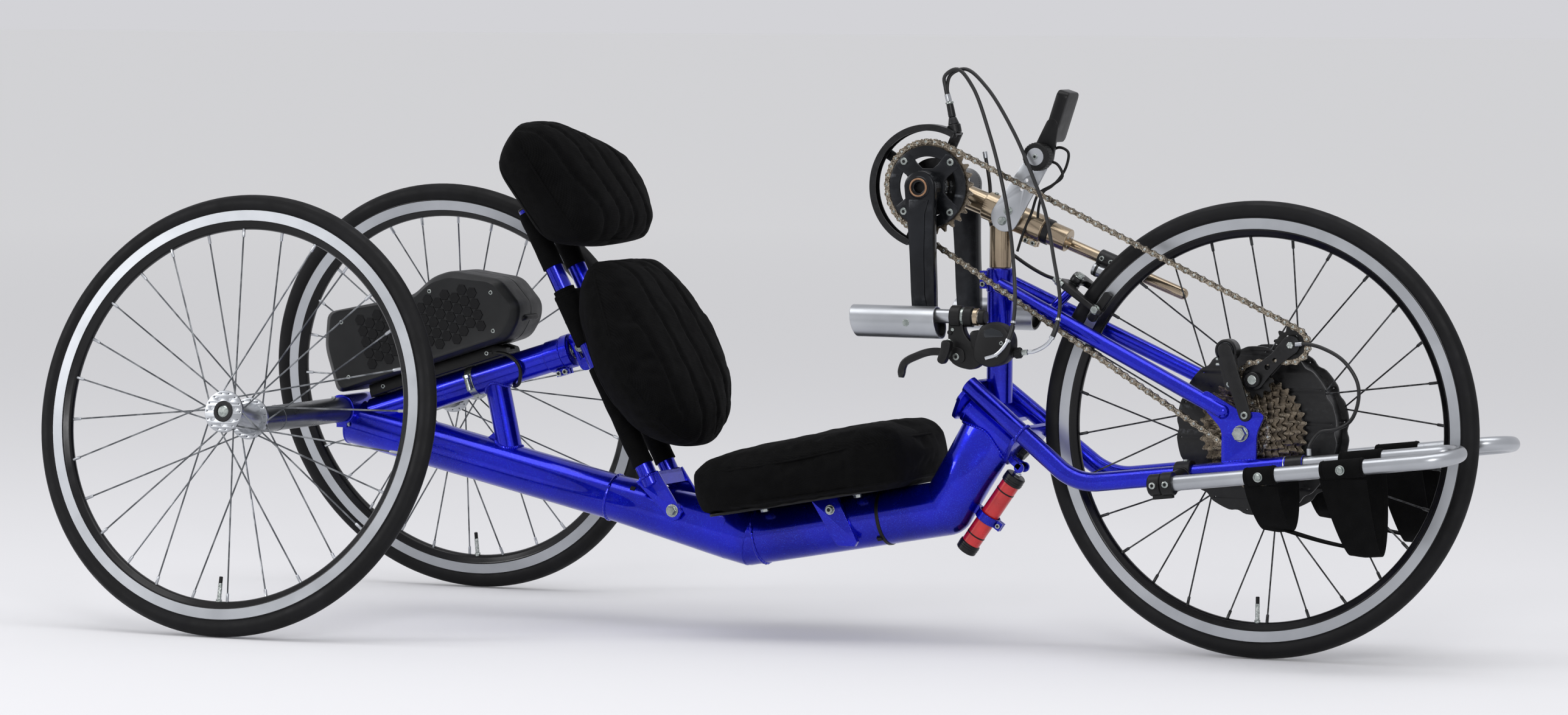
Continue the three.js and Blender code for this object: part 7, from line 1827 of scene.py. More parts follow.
def make_cassette():
    shape = Shape()
    for i, teeth in enumerate(CASSETTE_TEETH):
        y = CHAIN_LINE + (WORKING - i) * COG_SPACING
        start = phase_of(0, WHEEL_RADIUS, COG_TEETH) if i == WORKING else i
        outlines = [toothed_outline(0, WHEEL_RADIUS, teeth, start, 3.4 if i == WORKING else 2.4)]
        radius = pitch_radius(teeth)
        for fewest, inward, size in ((20, 9.5, 1.8), (30, 16.5, 2.2)):
            if teeth > fewest:
                outlines += holes_round(0, WHEEL_RADIUS, radius - inward, teeth // 2, i, size, 10)
        shape.add(side_plate(outlines, y - COG_HALF, y + COG_HALF, 0.3))
    outer = CHAIN_LINE + (WORKING - len(CASSETTE_TEETH)) * COG_SPACING
    inner = CHAIN_LINE + WORKING * COG_SPACING + 1.2
    shape.add(sleeve(AXLE + ACROSS * (outer + 2), AXLE + ACROSS * inner, 17, 6.6, 36, 0.4), 1)
    shape.add(sleeve(AXLE + ACROSS * outer, AXLE + ACROSS * (outer + 3), 17.4, 11.5, 48, 0.6), 2)
    shape.add(sleeve(AXLE + ACROSS * (outer + 1), AXLE + ACROSS * (outer + 4), 12, 6.6, 12, 0.4), 1)
    piece("cog_stack", shape, "cassette_body", "chain_steel", "black_metal", "zinc_steel",
          replaces="cassette")


make_cassette()


def make_pulley(name, centre, body, node):
    start = phase_of(centre.x, centre.z, PULLEY_TEETH)
    outlines = [toothed_outline(centre.x, centre.z, PULLEY_TEETH, start, 2.6),
                disc(centre.x, centre.z, 4.2, 24)]
    outlines += holes_round(centre.x, centre.z, 12, 6, 0.0, 2.4, 14)
    shape = Shape().add(side_plate(outlines, CHAIN_LINE - 1.1, CHAIN_LINE + 1.1, 0.4))
    shape.add(sleeve(centre + ACROSS * (CHAIN_LINE - 3.4), centre + ACROSS * (CHAIN_LINE + 3.4), 7.4, 3.9, 36,
                     0.5), 1)
    piece(name, shape, body, "black_plastic", "zinc_steel", replaces=node)


make_pulley("pulley_guide", GUIDE, "guide_wheel", "guide_pulley")
make_pulley("pulley_tension", TENSION, "tension_wheel", "tension_pulley")

CAGE_NEAR, CAGE_FAR = CHAIN_LINE - 4.7, CHAIN_LINE + 4.7
CAGE_OUTER = CAGE_NEAR - 2
KNUCKLE_LOW = CAGE_OUTER - 0.3 - 9


def make_cage():
    shape = Shape()
    way = (TENSION - GUIDE).normalized()
    up = upright(way)
    reach = (TENSION - GUIDE).length
    big, small = 13, 12
    edge = [(big * math.cos(t), big * math.sin(t)) for t in angles(14, math.pi / 2, math.pi)]
    edge += [(0, -big), (reach * 0.3, -10), (reach * 0.6, -8.5)]
    edge += [(reach + small * math.cos(t), small * math.sin(t)) for t in angles(14, -math.pi / 2, math.pi)]
    edge += [(reach, small), (reach * 0.6, 9), (reach * 0.3, 11), (0, big)]
    outline = [((GUIDE + way * a + up * b).x, (GUIDE + way * a + up * b).z) for a, b in edge]
    for low, high in ((CAGE_OUTER, CAGE_NEAR), (CAGE_FAR, CAGE_FAR + 2)):
        holes = []
        for share, size in ((0.36, 4.2), (0.56, 3.4)):
            at = GUIDE + way * (reach * share)
            holes.append(disc(at.x, at.z, size, 20))
        shape.add(side_plate([outline] + holes, low, high, 0.4))
    for centre in (GUIDE, TENSION):
        shape.add(rod(centre + ACROSS * CAGE_OUTER, centre + ACROSS * (CAGE_FAR + 2), 3.6, 24), 1)
    hexagon_head(shape, TENSION + ACROSS * (CAGE_OUTER + 0.2), -ACROSS, 8.6, 3, 1)
    hexagon_head(shape, TENSION + ACROSS * (CAGE_FAR + 1.8), ACROSS, 8, 2.4, 1)
    hexagon_head(shape, GUIDE + ACROSS * (CAGE_FAR + 1.8), ACROSS, 8, 2.4, 1)
    stop = GUIDE + way * (reach * 0.46) + up * 9
    shape.add(rod(stop + ACROSS * CAGE_NEAR, stop + ACROSS * CAGE_FAR, 1.8, 16, 0.3), 1)
    piece("cage_plates", shape, "cage", "black_metal", "zinc_steel", replaces="derailleur_cage")


def make_moving_knuckle():
    shape = Shape()
    boss = GUIDE + ACROSS * (CAGE_OUTER - 0.3)
    shape.add(rod(GUIDE + ACROSS * KNUCKLE_LOW, boss, 10.4, 40, 1))
    add_bars(shape, GUIDE, ACROSS, [(KNUCKLE_LOW - 1.2, KNUCKLE_LOW + 0.4, 6.2, 28, 0.4, 1)])
    piece("moving_knuckle", shape, "derailleur", "black_metal", "zinc_steel", replaces="derailleur_link",
          bevel=0.4)


def make_knuckle():
    shape = Shape()
    hub = Vector((-22, 0, 412))
    low = KNUCKLE_LOW - 9
    add_bars(shape, hub, ACROSS, ((low, low + 20, 15, 48, 1.6, 0), (low - 1.4, low + 1, 11.4, 40, 0.8, 1),
                                  (low - 2, low, 4.4, 6, 0.3, 2)))
    shape.add(side_plate([belt(hub.x, hub.z, 12, -15, 368, 7.5)], low, KNUCKLE_LOW, 1.2))
    shape.add(side_plate([belt(hub.x, hub.z, 9, 7, 328, 7.5)], -78.3, -73.8, 1))
    socket_head(shape, (7, -78.3, 328), -ACROSS, 5, 3.4, 2, 0)
    socket_head(shape, (-15, low, 368), -ACROSS, 4.4, 2.6, 2, 0)
    stop = Vector((-34, low + 8, 400))
    for drop in (0, 7):
        at = stop - UP * drop
        shape.add(rod(at - AHEAD * 3.5, at + AHEAD * 2, 1.8, 12, 0.3), 2)
    piece("fixed_knuckle", shape, "front_frame", "black_metal", "crank_grey", "zinc_steel",
          replaces="derailleur_knuckle", bevel=0.4)


make_cage()
make_moving_knuckle()
make_knuckle()


# Rim brake: two arms on one post, each with its pad


def make_brake_arm(side):
    shape = Shape()
    layer = (0.3, 9) if side > 0 else (-9, -0.3)
    gap, pad_radius = 19, 279.2 - 7
    corners = [(BRAKE_REACH - 6.5, -6.5), (BRAKE_REACH + 6.5, -6.5), (BRAKE_REACH + 13, gap * 1.2),
               (BRAKE_REACH + 4.3, gap + 13), (WHEEL_RADIUS - 12, gap + 10.4), (pad_radius - 9, gap + 6.5),
               (pad_radius - 9, gap), (WHEEL_RADIUS, gap), (BRAKE_REACH - 6.5, gap * 0.7)]
    outline = rounded_outline([Vector((r, side * y)) for r, y in corners], 6)
    bore = [(BRAKE_REACH + x, y) for x, y in disc(0, 0, 5.4, 24)]
    low, high = layer
    shape.add(plate([outline, bore], -high, -low, on_brake(0), BRAKE_OUT, ACROSS, 1.2))
    inner = RIM_HALF + 2.4
    run = sorted((side * inner, side * (inner + 8)))
    pad = rounded_outline(((-22, -4.6), (22, -4.6), (22, 4.6), (-22, 4.6)), 3)
    curved = [(x, z + x * x / 900) for x, z in pad]
    centre = on_brake(pad_radius)
    shape.add(plate([curved], run[0], run[1], centre, BRAKE_ALONG, -BRAKE_OUT, 0.8), 1)
    middle = (low + high) / 2
    stem = on_brake(pad_radius, middle)
    shape.add(rod(stem + ACROSS * side * (inner + 4), stem + ACROSS * side * (gap + 6.5), 3, 20, 0.3), 2)
    hexagon_head(shape, stem + ACROSS * side * (gap + 6), ACROSS * side, 10, 5, 2, 6.6)
    if side < 0:
        top = on_brake(BRAKE_REACH + 3, middle, -gap - 12)
        shape.add(rod(top, top + BRAKE_OUT * 16, 4, 24, 0.4), 2)
        shape.add(rod(top + BRAKE_OUT * 5, top + BRAKE_OUT * 11, 5.6, 28, 0.8), 2)
    piece(f"brake_caliper_{SUFFIX[side]}", shape, "caliper_right" if side < 0 else "caliper_left",
          "black_metal", "black_plastic", "zinc_steel", replaces=f"brake_arm_{SUFFIX[side]}", bevel=0.3)


for side in SIDES:
    make_brake_arm(side)


# Handles: an open grip tube on a spindle, and on the near one the bar with the controls

GRIP_SIDE, GRIP_RADIUS = 125, 21.5
BAR_RISE, BAR_RADIUS = 9, 9.5


def grip_tube(shape, centre, facing):
    """A tube with both ends cut at a slant and a dark lip in each."""
    def ring(x, radius):
        return [centre + AHEAD * (x - facing * 4 * math.sin(a)) + ACROSS * (radius * math.cos(a))
                + UP * (radius * math.sin(a)) for a in angles(56)]

    rear, front = -facing * 81, facing * 40
    low, high = min(rear, front), max(rear, front)
    rings = [ring(low, 20.2), ring(low, 21.1), ring(low + 0.5, GRIP_RADIUS), ring(high - 0.5, GRIP_RADIUS),
             ring(high, 21.1), ring(high, 20.2), ring(high - 30, 20), ring(low + 30, 20)]
    shape.add(loft(rings, closed=True))
    for at, way in ((low, 1), (high, -1)):
        lining = [ring(at + way * 0.3, 20.1), ring(at + way * 0.3, 17.6), ring(at + way * 9, 17.2),
                  ring(at + way * 9, 20.1)]
        shape.add(loft(lining, closed=True), 1)
        shape.add(loft([ring(at + way * 7, 17.4), ring(at + way * 9, 17.4)]), 1)


def make_handle(side, facing, body, node):
    shape = Shape()
    out = ACROSS * side
    centre = PEDAL + out * GRIP_SIDE
    grip_tube(shape, centre, facing)
    add_bars(shape, PEDAL, out, ((66, 106, 6.9, 28, 0.6, 2), (88.4, 104.5, 11.2, 36, 0.8, 1),
                                 (65, 69, 9.5, 6, 0.3, 2)))
    add_bars(shape, centre, out, [(GRIP_RADIUS - 2.4, GRIP_RADIUS + 0.4, 5, 24, 0.5, 2)])
    if side < 0:
        add_bars(shape, centre + UP * BAR_RISE, AHEAD, ((-20, 99, BAR_RADIUS, 36, 0.6, 0),
                                                        (90, 97, 11.8, 36, 0.8, 3),
                                                        (97, 106.6, 10.5, 36, 1.6, 1)))
    piece(f"grip_{SUFFIX[side]}", shape, body, "satin_aluminium", "black_plastic", "zinc_steel",
          "nickel_plate", replaces=node, bevel=0.2)


make_handle(-1, 1, "right_handle", "handle_r")
make_handle(1, -1, "left_handle", "handle_l")


# Brake lever body, shifter pod, blade and paddle


LEVER_X, LEVER_Z = PEDAL.x + 68, PEDAL.z - 44


def from_pedal(points):
    return [(PEDAL.x + x, PEDAL.z + z) for x, z in points]


def strip(points, widths):
    """An outline that follows a line in the side view with a width at each point."""
    left, right = [], []
    for i, (p, width) in enumerate(zip(points, widths)):
        before, after = Vector(points[max(i - 1, 0)]), Vector(points[min(i + 1, len(points) - 1)])
        way = (after - before).normalized()
        side = Vector((-way.y, way.x)) * (width / 2)
        left.append(Vector(p) + side)
        right.append(Vector(p) - side)
    return left + list(reversed(right))


def make_control_body():
    shape = Shape()
    bar = PEDAL - ACROSS * GRIP_SIDE + UP * BAR_RISE
    middle = -GRIP_SIDE
    shape.add(sleeve(bar + AHEAD * 58, bar + AHEAD * 73, 15, 10, 48, 1.2))
    shape.add(sleeve(bar + AHEAD * 73, bar + AHEAD * 77, 12.4, 10, 48, 0.4), 1)
    shape.add(sleeve(bar + AHEAD * 77, bar + AHEAD * 89, 13.5, 10, 48, 1), 0)
    body = from_pedal([(58, 8), (73, 8), (75, -12), (84, -24), (101, -34), (103, -50), (90, -59), (72, -56),
                       (60, -50), (57, -20)])
    shape.add(side_plate([rounded_outline(body, 7)], middle - 8, middle + 8, 2.6))
    ears = from_pedal([(58, -30), (78, -34), (80, -50), (66, -53), (57, -47)])
    outline = rounded_outline(ears, 6)
    for side in SIDES:
        a, b = sorted((middle + side * 6.4, middle + side * 10))
        shape.add(side_plate([outline], a, b, 0.9))
    pod = from_pedal([(96, -44), (100, -22), (106, -6), (118, -1), (134, -5), (143, -17), (143, -34),
                      (134, -47), (114, -53)])
    shape.add(side_plate([rounded_outline(pod, 9)], middle - 14, middle + 14, 5))
    rib = from_pedal([(88, -12), (108, -10), (110, -30), (92, -34)])
    shape.add(side_plate([rounded_outline(rib, 5)], middle - 9, middle + 9, 3))
    window = from_pedal([(109, -8), (120, -4.5), (133, -8.5), (138, -15), (110, -17)])
    shape.add(side_plate([rounded_outline(window, 3)], middle - 14.5, middle - 12, 0.3), 2)
    for x, z in ((134, -24), (127, -40)):
        at = Vector((PEDAL.x + x, middle - 13.6, PEDAL.z + z))
        socket_head(shape, at, -ACROSS, 2.8, 1.4, 1, 0)
    for x, z, size in ((62, -8, 2.4), (58, -12, 3.4)):
        at = Vector((PEDAL.x + x, middle - 8, PEDAL.z + z))
        shape.add(rod(at + ACROSS * 2, at - ACROSS * 1.6, size, 24, 0.5), 1 if size < 3 else 0)
    start = Vector((PEDAL.x + 134, middle, PEDAL.z - 39))
    end = Vector((PEDAL.x + 166, middle, PEDAL.z - 35.4))
    way = (end - start).normalized()
    add_bars(shape, start, way, ((0, 14, 5.6, 28, 0.8, 0), (14, 24, 6.6, 28, 0.8, 0)))
    u, v, _ = basis(way)
    for a in angles(12):
        at = start + (u * math.cos(a) + v * math.sin(a)) * 6.5
        shape.add(rod(at + way * 15, at + way * 23, 0.9, 8, 0.2))
    shape.add(rod(start + way * 24, end, 4.2, 6, 0.4), 1)
    pivot = Vector((LEVER_X, middle, LEVER_Z))
    for side in SIDES:
        socket_head(shape, pivot + ACROSS * (side * 10), ACROSS * side, 4.6, 1.6, 1, 0)
    shape.add(rod(pivot - ACROSS * 10, pivot + ACROSS * 10, 2, 16), 1)
    piece("lever_body", shape, "right_handle", "black_plastic", "zinc_steel", "screen",
          replaces="control_body", bevel=0.4)


def make_brake_lever():
    line = [(70, -44), (58, -41.5), (45, -39), (32, -38.5), (19, -41), (6, -46), (-4, -50.5), (-10, -55),
            (-13.5, -63), (-14.5, -73)]
    flat = [(p.x, p.z) for p in curve_through([(x, 0, z) for x, z in line], 36)]
    widths = [13, 13, 11, 9, 8] + [7] * 22 + [6.8, 6.8, 6.8, 6.8, 6.8, 6.8, 7, 7, 6, 4]
    outline = from_pedal(strip(flat, widths[:len(flat)]))
    hole = disc(LEVER_X, LEVER_Z, 2.3, 20)
    shape = Shape().add(side_plate([outline, hole], -GRIP_SIDE - 3.8, -GRIP_SIDE + 3.8, 1.6))
    boss = [disc(LEVER_X, LEVER_Z, 7, 32), hole]
    shape.add(side_plate(boss, -GRIP_SIDE - 5.4, -GRIP_SIDE + 5.4, 0.8))
    piece("lever_blade", shape, "lever", "black_metal", replaces="brake_lever")


def make_paddle():
    pivot = Vector((PEDAL.x + 61, -147.3, PEDAL.z - 24))
    tip = pivot + Vector((-7.8, 0, -26))
    line = [(pivot.x, pivot.z), (pivot.x - 1, pivot.z - 9), (pivot.x - 4, pivot.z - 18), (tip.x, tip.z)]
    outline = rounded_outline([Vector(p) for p in strip(line, [9.4, 8.6, 8.4, 7])], 3)
    shape = Shape().add(side_plate([outline], pivot.y - 8, pivot.y + 5, 2.4))
    shape.add(rod(pivot + ACROSS * 8, pivot + ACROSS * 2, 4, 24, 0.5), 1)
    piece("shift_lever", shape, "shifter", "black_plastic", "zinc_steel", replaces="shift_paddle")


make_control_body()
make_brake_lever()
make_paddle()


# Cables: the same lines as the frame's, with metal noodles, ferrules and end caps

BRAKE_CABLE = [(-334, -141.8, 396), (-318, -142, 402), (-301, -142, 423), (-298, -130, 458), (-318, -88, 531),
               (-335, -68, 592), (-350, -60, 643), (-368, -52, 692), (-394, -47, 752), (-418, -44, 776),
               (-436, -44.5, 766), (-434.4, -44.8, 750), (-430.3, -44.8, 733)]
SHIFT_CABLE = [(-280, -125, 405.1), (-272, -125, 406), (-250, -124, 420), (-241, -112, 463), (-262, -84, 532),
               (-280, -70, 590), (-304, -60, 640), (-334, -50, 694), (-376, -42, 752), (-408, -38, 776),
               (-430, -38, 768), (-434.4, -39.2, 750), (-430.3, -39.2, 733)]
CALIPER_CABLE = [(-405, 24, 664), (-396, 21, 620), (-392, 21, 560), (-378, 26, 538), (-350, 30, 516),
                 (-318, 26, 500), (-292, 14, 494)]
DERAILLEUR_CABLE = [(94, -71, 277.8), (94, -70, 290), (106, -66, 308), (128, -65, 313), (148, -66, 324),
                    (159, -67, 348), (158, -67, 375), (138, -66, 403), (106, -62, 419), (84, -60, 423),
                    (70, -59.6, 422)]
CABLE_RADIUS, CABLE_POINTS = 2.5, 160


def make_cable(name, places, node, noodle=0.0):
    """noodle is the length in millimetres of the bent metal pipe that the line starts in."""
    line = curve_through(places, CABLE_POINTS)
    length = sum((b - a).length for a, b in zip(line, line[1:]))
    step = length / CABLE_POINTS
    bare = round(noodle / step)
    shape = Shape()
    if bare:
        shape.add(tube(line[:bare + 1], 2.6, 16), 1)
        shape.add(tube(line[bare - 1:bare + round(20 / step)], 3.5, 20), 0)
        shape.add(tube(line[bare - 2:bare], 3.9, 20), 1)
        shape.add(tube(line[bare + round(19 / step):bare + round(21 / step) + 1], 3.7, 20), 2)
    else:
        shape.add(tube(line[:round(9 / step) + 1], 3.2, 18), 2)
    shape.add(tube(line[bare:], CABLE_RADIUS, 16), 0)
    shape.add(tube(line[-round(9 / step) - 1:], 3.1, 18), 2)
    piece(name, shape, "front_frame", "cable_rubber", "bright_chrome", "satin_aluminium", replaces=node)


make_cable("cable_brake", BRAKE_CABLE, "brake_cable", 48)
make_cable("cable_shift", SHIFT_CABLE, "shift_cable", 44)
make_cable("cable_caliper", CALIPER_CABLE, "caliper_cable")
make_cable("cable_derailleur", DERAILLEUR_CABLE, "derailleur_cable")


# Footrests: the outer leg ends in a clamp and the inner leg goes into the lower stay

FOOT_RADIUS, FOOT_SPREAD, FOOT_DROP = 10, 150, 7
FOOT_REAR, FOOT_FRONT = -78, 311
SLING_LEAN, SLING_STEPS = 0.2, 40


def outer_leg(x, side):
    return Vector((x, side * FOOT_SPREAD, stay_height(x) - FOOT_DROP))


def inner_leg(x, side):
    end, along = stay_corners(side)[2], stay_along(side)
    return end + along * ((x - end.x) / along.x)


def make_footrest(side):
    front = inner_leg(FOOT_FRONT, side)
    end, along = stay_corners(side)[2], stay_along(side)
    corners = [outer_leg(FOOT_REAR, side), outer_leg(FOOT_FRONT, side), front, end - along * 40]
    radius = (FOOT_SPREAD - abs(front.y)) / 2 - 0.3
    shape = Shape().add(tube(rounded_path(corners, radius, 14), FOOT_RADIUS, 36))
    for x in (150, 214):
        add_bars(shape, inner_leg(x, side), -UP, [(10.3, 8, 2.6, 16, 0.3, 1)])
    piece(f"footrest_tube_{SUFFIX[side]}", shape, "front_frame", "satin_aluminium", "black_metal",
          replaces=f"footrest_{SUFFIX[side]}")


def make_foot_clamp(side):
    outer, out = outer_leg(FOOT_REAR, side), ACROSS * side
    on_stay = inner_leg(FOOT_REAR, side)
    along = stay_along(side)
    shape = Shape()
    shape.add(rod(outer - STAY_FORWARD * 20, outer - STAY_FORWARD * 1, 14.4, 40, 2.4))
    shape.add(sleeve(outer - STAY_FORWARD * 1.4, outer + STAY_FORWARD * 15, 15.5, 10.2, 40, 1.2))
    shape.add(sleeve(on_stay - along * 11.5, on_stay + along * 11.5, 18.2, 12.9, 40, 1))
    way = (on_stay - outer).normalized()
    shape.add(rod(outer + way * 8, on_stay - way * 14, 11, 32, 0.8))
    shape.add(rod(outer + way * 10, outer + way * 15, 12.6, 32, 0.8))
    shape.add(rod(on_stay - way * 19, on_stay - way * 14, 12.6, 32, 0.8))
    for along_by in (-10, 8):
        at = outer + STAY_FORWARD * along_by + out * 12
        shape.add(rod(at, at + out * 3.4, 5.6, 24, 0.6), 0)
        socket_head(shape, at + out * 3, out, 4.4, 4, 1, 0)
    shape.add(block(outer - UP * 14, STAY_FORWARD, ACROSS, (-14, -4.6, -5), (13, 4.6, 3)))
    socket_head(shape, on_stay + UP * 17, UP, 3.6, 3, 1, 0)
    piece(f"clamp_foot_{SUFFIX[side]}", shape, "front_frame", "black_plastic", "zinc_steel",
          replaces=f"foot_clamp_{SUFFIX[side]}", bevel=0.4)


def sling_line(x, side, sag):
    """Places on the sling from the inner leg to the outer one. It leans forward as it falls."""
    start = inner_leg(x, side)
    end = outer_leg(x, side)
    line = []
    for i in range(SLING_STEPS + 1):
        share = i / SLING_STEPS
        hang = math.sin(math.pi * share) ** 0.6 * sag
        at = start.lerp(end, share)
        at.x = x + SLING_LEAN * hang
        line.append(at - UP * (12.4 + hang))
    return line


def make_sling(side):
    """Two bands that hang between the legs, hemmed, looped over the outer leg, the front one over the inner
    leg too, and joined by a strap below.
    """
    shape = Shape()
    for x, width, narrow, sag in ((56, 46, 40, 62), (168, 64, 44, 104)):
        line = sling_line(x, side, sag)
        rings = []
        for i, at in enumerate(line):
            after = line[min(i + 1, SLING_STEPS)] - line[max(i - 1, 0)]
            normal = AHEAD.cross(after.normalized())
            if normal.z < 0:
                normal = -normal
            share = math.sin(math.pi * i / SLING_STEPS) ** 0.8
            half = (width + (narrow - width) * share) / 2
            wave = 1.3 * math.sin(i * 0.55 + x) * share
            ring = []
            for across, lift in ((-1, 0.6), (-0.93, 1.8), (-0.8, 1.7), (-0.78, 0.9), (-0.4, 0.9 + wave),
                                 (0, 1.0 + wave * 1.6), (0.4, 0.9 + wave), (0.78, 0.9), (0.8, 1.7),
                                 (0.93, 1.8), (1, 0.6), (1, -0.6), (0.4, -1.0 + wave), (0, -1.0 + wave * 1.6),
                                 (-0.4, -1.0 + wave), (-1, -0.6)):
                ring.append(at + AHEAD * (across * half) + normal * (lift - 1.6))
            rings.append(ring)
        shape.add(loft(rings))
        outer = outer_leg(x, side)
        loops = [(outer, STAY_FORWARD)]
        if x > STAY_END_X:
            loops.append((inner_leg(x, side), stay_along(side)))
        half = width * 0.46
        for centre, way in loops:
            shape.add(sleeve(centre - way * half, centre + way * half, 12.4, 10.2, 40, 0.8))
            for edge in (-half + 3.5, half - 3.5):
                shape.add(sleeve(centre + way * (edge - 0.7), centre + way * (edge + 0.7), 12.9, 12, 40, 0.3))
        out = ACROSS * side
        bolt = outer + out * 12 - UP * 1
        shape.add(rod(bolt, bolt + out * 1.4, 6.4, 28, 0.4), 1)
        shape.add(rod(bolt + out * 1.2, bolt + out * 4.2, 4.4, 24, 1.2), 1)
    middle = (abs(inner_leg(100, side).y) + FOOT_SPREAD) / 2 * side
    low = [Vector((x, middle, stay_height(x) - 16 - sag)) for x, sag in ((64, 61), (126, 84), (193, 103))]
    curve = curve_through(low, 12)
    section = [(-10, -1.2), (10, -1.2), (10, 1.2), (-10, 1.2)]
    shape.add(sweep(curve, lambda i: section, start_up=UP))
    piece(f"sling_{SUFFIX[side]}", shape, "front_frame", "webbing", "zinc_steel",
          replaces=f"foot_sling_{SUFFIX[side]}", bevel=0.3)


for side in SIDES:
    make_footrest(side)
    make_foot_clamp(side)
    make_sling(side)


# Cushions: cloth blown up over a drawn shape, then channels sewn in and the seams piped

BACK_SHARES = [
    (0, -0.22, 0.16), (0.05, -0.52, 0.42), (0.14, -0.74, 0.68), (0.27, -0.9, 0.9), (0.42, -0.98, 1),
    (0.57, -0.97, 0.99), (0.7, -0.89, 0.9), (0.83, -0.8, 0.78), (0.94, -0.7, 0.62), (1, -0.55, 0.4),
]
SHOULDER_SHARES = [
    (0, -0.5, 0.5), (0.06, -0.7, 0.72), (0.18, -0.78, 0.82), (0.36, -0.87, 0.88), (0.54, -0.95, 0.82),
    (0.68, -1.02, 0.66), (0.8, -1.07, 0.36), (0.9, -1.06, 0.02), (0.97, -0.92, -0.3), (1, -0.76, -0.48),
]
SEAT_SHARES = [
    (0, -0.72, 0.72), (0.04, -0.9, 0.9), (0.15, -1, 1), (0.35, -0.99, 0.99), (0.55, -0.93, 0.93),
    (0.75, -0.85, 0.85), (0.9, -0.78, 0.78), (0.97, -0.68, 0.68), (1, -0.5, 0.5),
]
CLOTH_CELL = 5.0
CLOTH_FRAMES = 20
CLOTH_PRESSURE = 4.0
CLOTH_LIMIT = 5 * MM


def softened(points, times=2):
    """Corners of a closed outline cut again and again, so that it turns evenly."""
    for _ in range(times):
        made = []
        for i, a in enumerate(points):
            b = points[(i + 1) % len(points)]
            made += [a.lerp(b, 0.25), a.lerp(b, 0.75)]
        points = made
    return points


class Cushion:
    """A cushion on a flat base: its outline is in (along, across) and it rises off the base."""

    def __init__(self, name, node, body, place, shares, length, half_width, edge, crown, back, shrink,
                 hollow):
        self.name, self.node, self.body, self.place = name, node, body, place
        self.edge, self.crown, self.back = edge, crown, back
        right = [Vector((along * length, high * half_width)) for along, _, high in shares]
        left = [Vector((along * length, low * half_width)) for along, low, _ in shares]
        self.outline = softened(right + left[::-1], 1)
        count = len(self.outline)
        self.middle = sum(self.outline, Vector((0, 0))) / count
        self.outline = [p + (self.middle - p).normalized() * shrink for p in self.outline]
        self.hollow = hollow

    def ring(self, scale, rise):
        """The outline drawn in or out about its middle, at a rise off the base."""
        ring = []
        for p in self.outline:
            q = self.middle + (p - self.middle) * scale
            ring.append(self.place(q.x, rise, q.y))
        return ring

    def base(self):
        """The drawn body: a hollow back, sides that swell a little, and a crowned face."""
        edge, crown, low = self.edge, self.crown, self.hollow
        rows = [(0.02, 0), (self.back * 0.5, low * 0.15), (self.back * 0.85, low * 0.6), (self.back, low)]
        for k in range(1, 6):
            share = k / 6
            rows.append((self.back + (1 - self.back) * share ** 0.8 + 0.02 * math.sin(math.pi * share),
                         low + 1 + (edge - low - 5) * share))
        rows += [(1.0, edge - 3), (0.985, edge)]
        for k in range(1, 12):
            scale = 0.97 * (1 - k / 11.5)
            rows.append((scale, edge + crown * (1 - scale ** 3.4) ** 0.7))
        return loft([self.ring(scale, rise) for scale, rise in rows])

    def surface(self):
        """The blown-up cloth as a mesh in millimetres."""
        points, faces = self.base()
        mesh = bpy.data.meshes.new(self.name)
        mesh.from_pydata([tuple(p * MM) for p in points], [], faces)
        held = bpy.data.objects.new(self.name + "_cloth", mesh)
        bpy.context.scene.collection.objects.link(held)
        voxels = held.modifiers.new("voxels", "REMESH")
        voxels.mode = "VOXEL"
        voxels.voxel_size = CLOTH_CELL * MM
        start = bpy.data.meshes.new_from_object(held.evaluated_get(bpy.context.evaluated_depsgraph_get()))
        held.modifiers.remove(voxels)
        held.data = start
        rest = [v.co.copy() for v in start.vertices]
        moved = rest
        moved = self.blown(held)
        made = []
        for a, b in zip(rest, moved):
            step = b - a
            if step.length > CLOTH_LIMIT:
                step = step.normalized() * CLOTH_LIMIT
            made.append((a + step) / MM)
        polygons = [tuple(p.vertices) for p in start.polygons]
        bpy.data.objects.remove(held)
        return made, polygons

    def blown(self, held):
        """Where the cloth's points lie after the simulation."""
        cloth = held.modifiers.new("cloth", "CLOTH")
        cloth.settings.quality = 5
        cloth.settings.mass = 0.3
        cloth.settings.tension_stiffness = 18
        cloth.settings.compression_stiffness = 12
        cloth.settings.shear_stiffness = 8
        cloth.settings.bending_stiffness = 0.8
        cloth.settings.air_damping = 3
        cloth.settings.use_pressure = True
        cloth.settings.uniform_pressure_force = CLOTH_PRESSURE
        cloth.settings.effector_weights.gravity = 0
        cloth.collision_settings.use_collision = False
        cloth.point_cache.frame_start, cloth.point_cache.frame_end = 1, CLOTH_FRAMES
        scene = bpy.context.scene
        for frame_number in range(1, CLOTH_FRAMES + 1):
            scene.frame_set(frame_number)
        done = held.evaluated_get(bpy.context.evaluated_depsgraph_get())
        moved = [v.co.copy() for v in done.data.vertices]
        held.modifiers.remove(cloth)
        scene.frame_set(1)
        return moved


def groove(distance, width):
    """The depth of a round-bottomed groove, 1 in its middle."""
    return math.exp(-(distance / width) ** 2)


CHANNEL_WIDTH, SEAM_WIDTH = 3.2, 3.0
TABLE_ROWS = 60


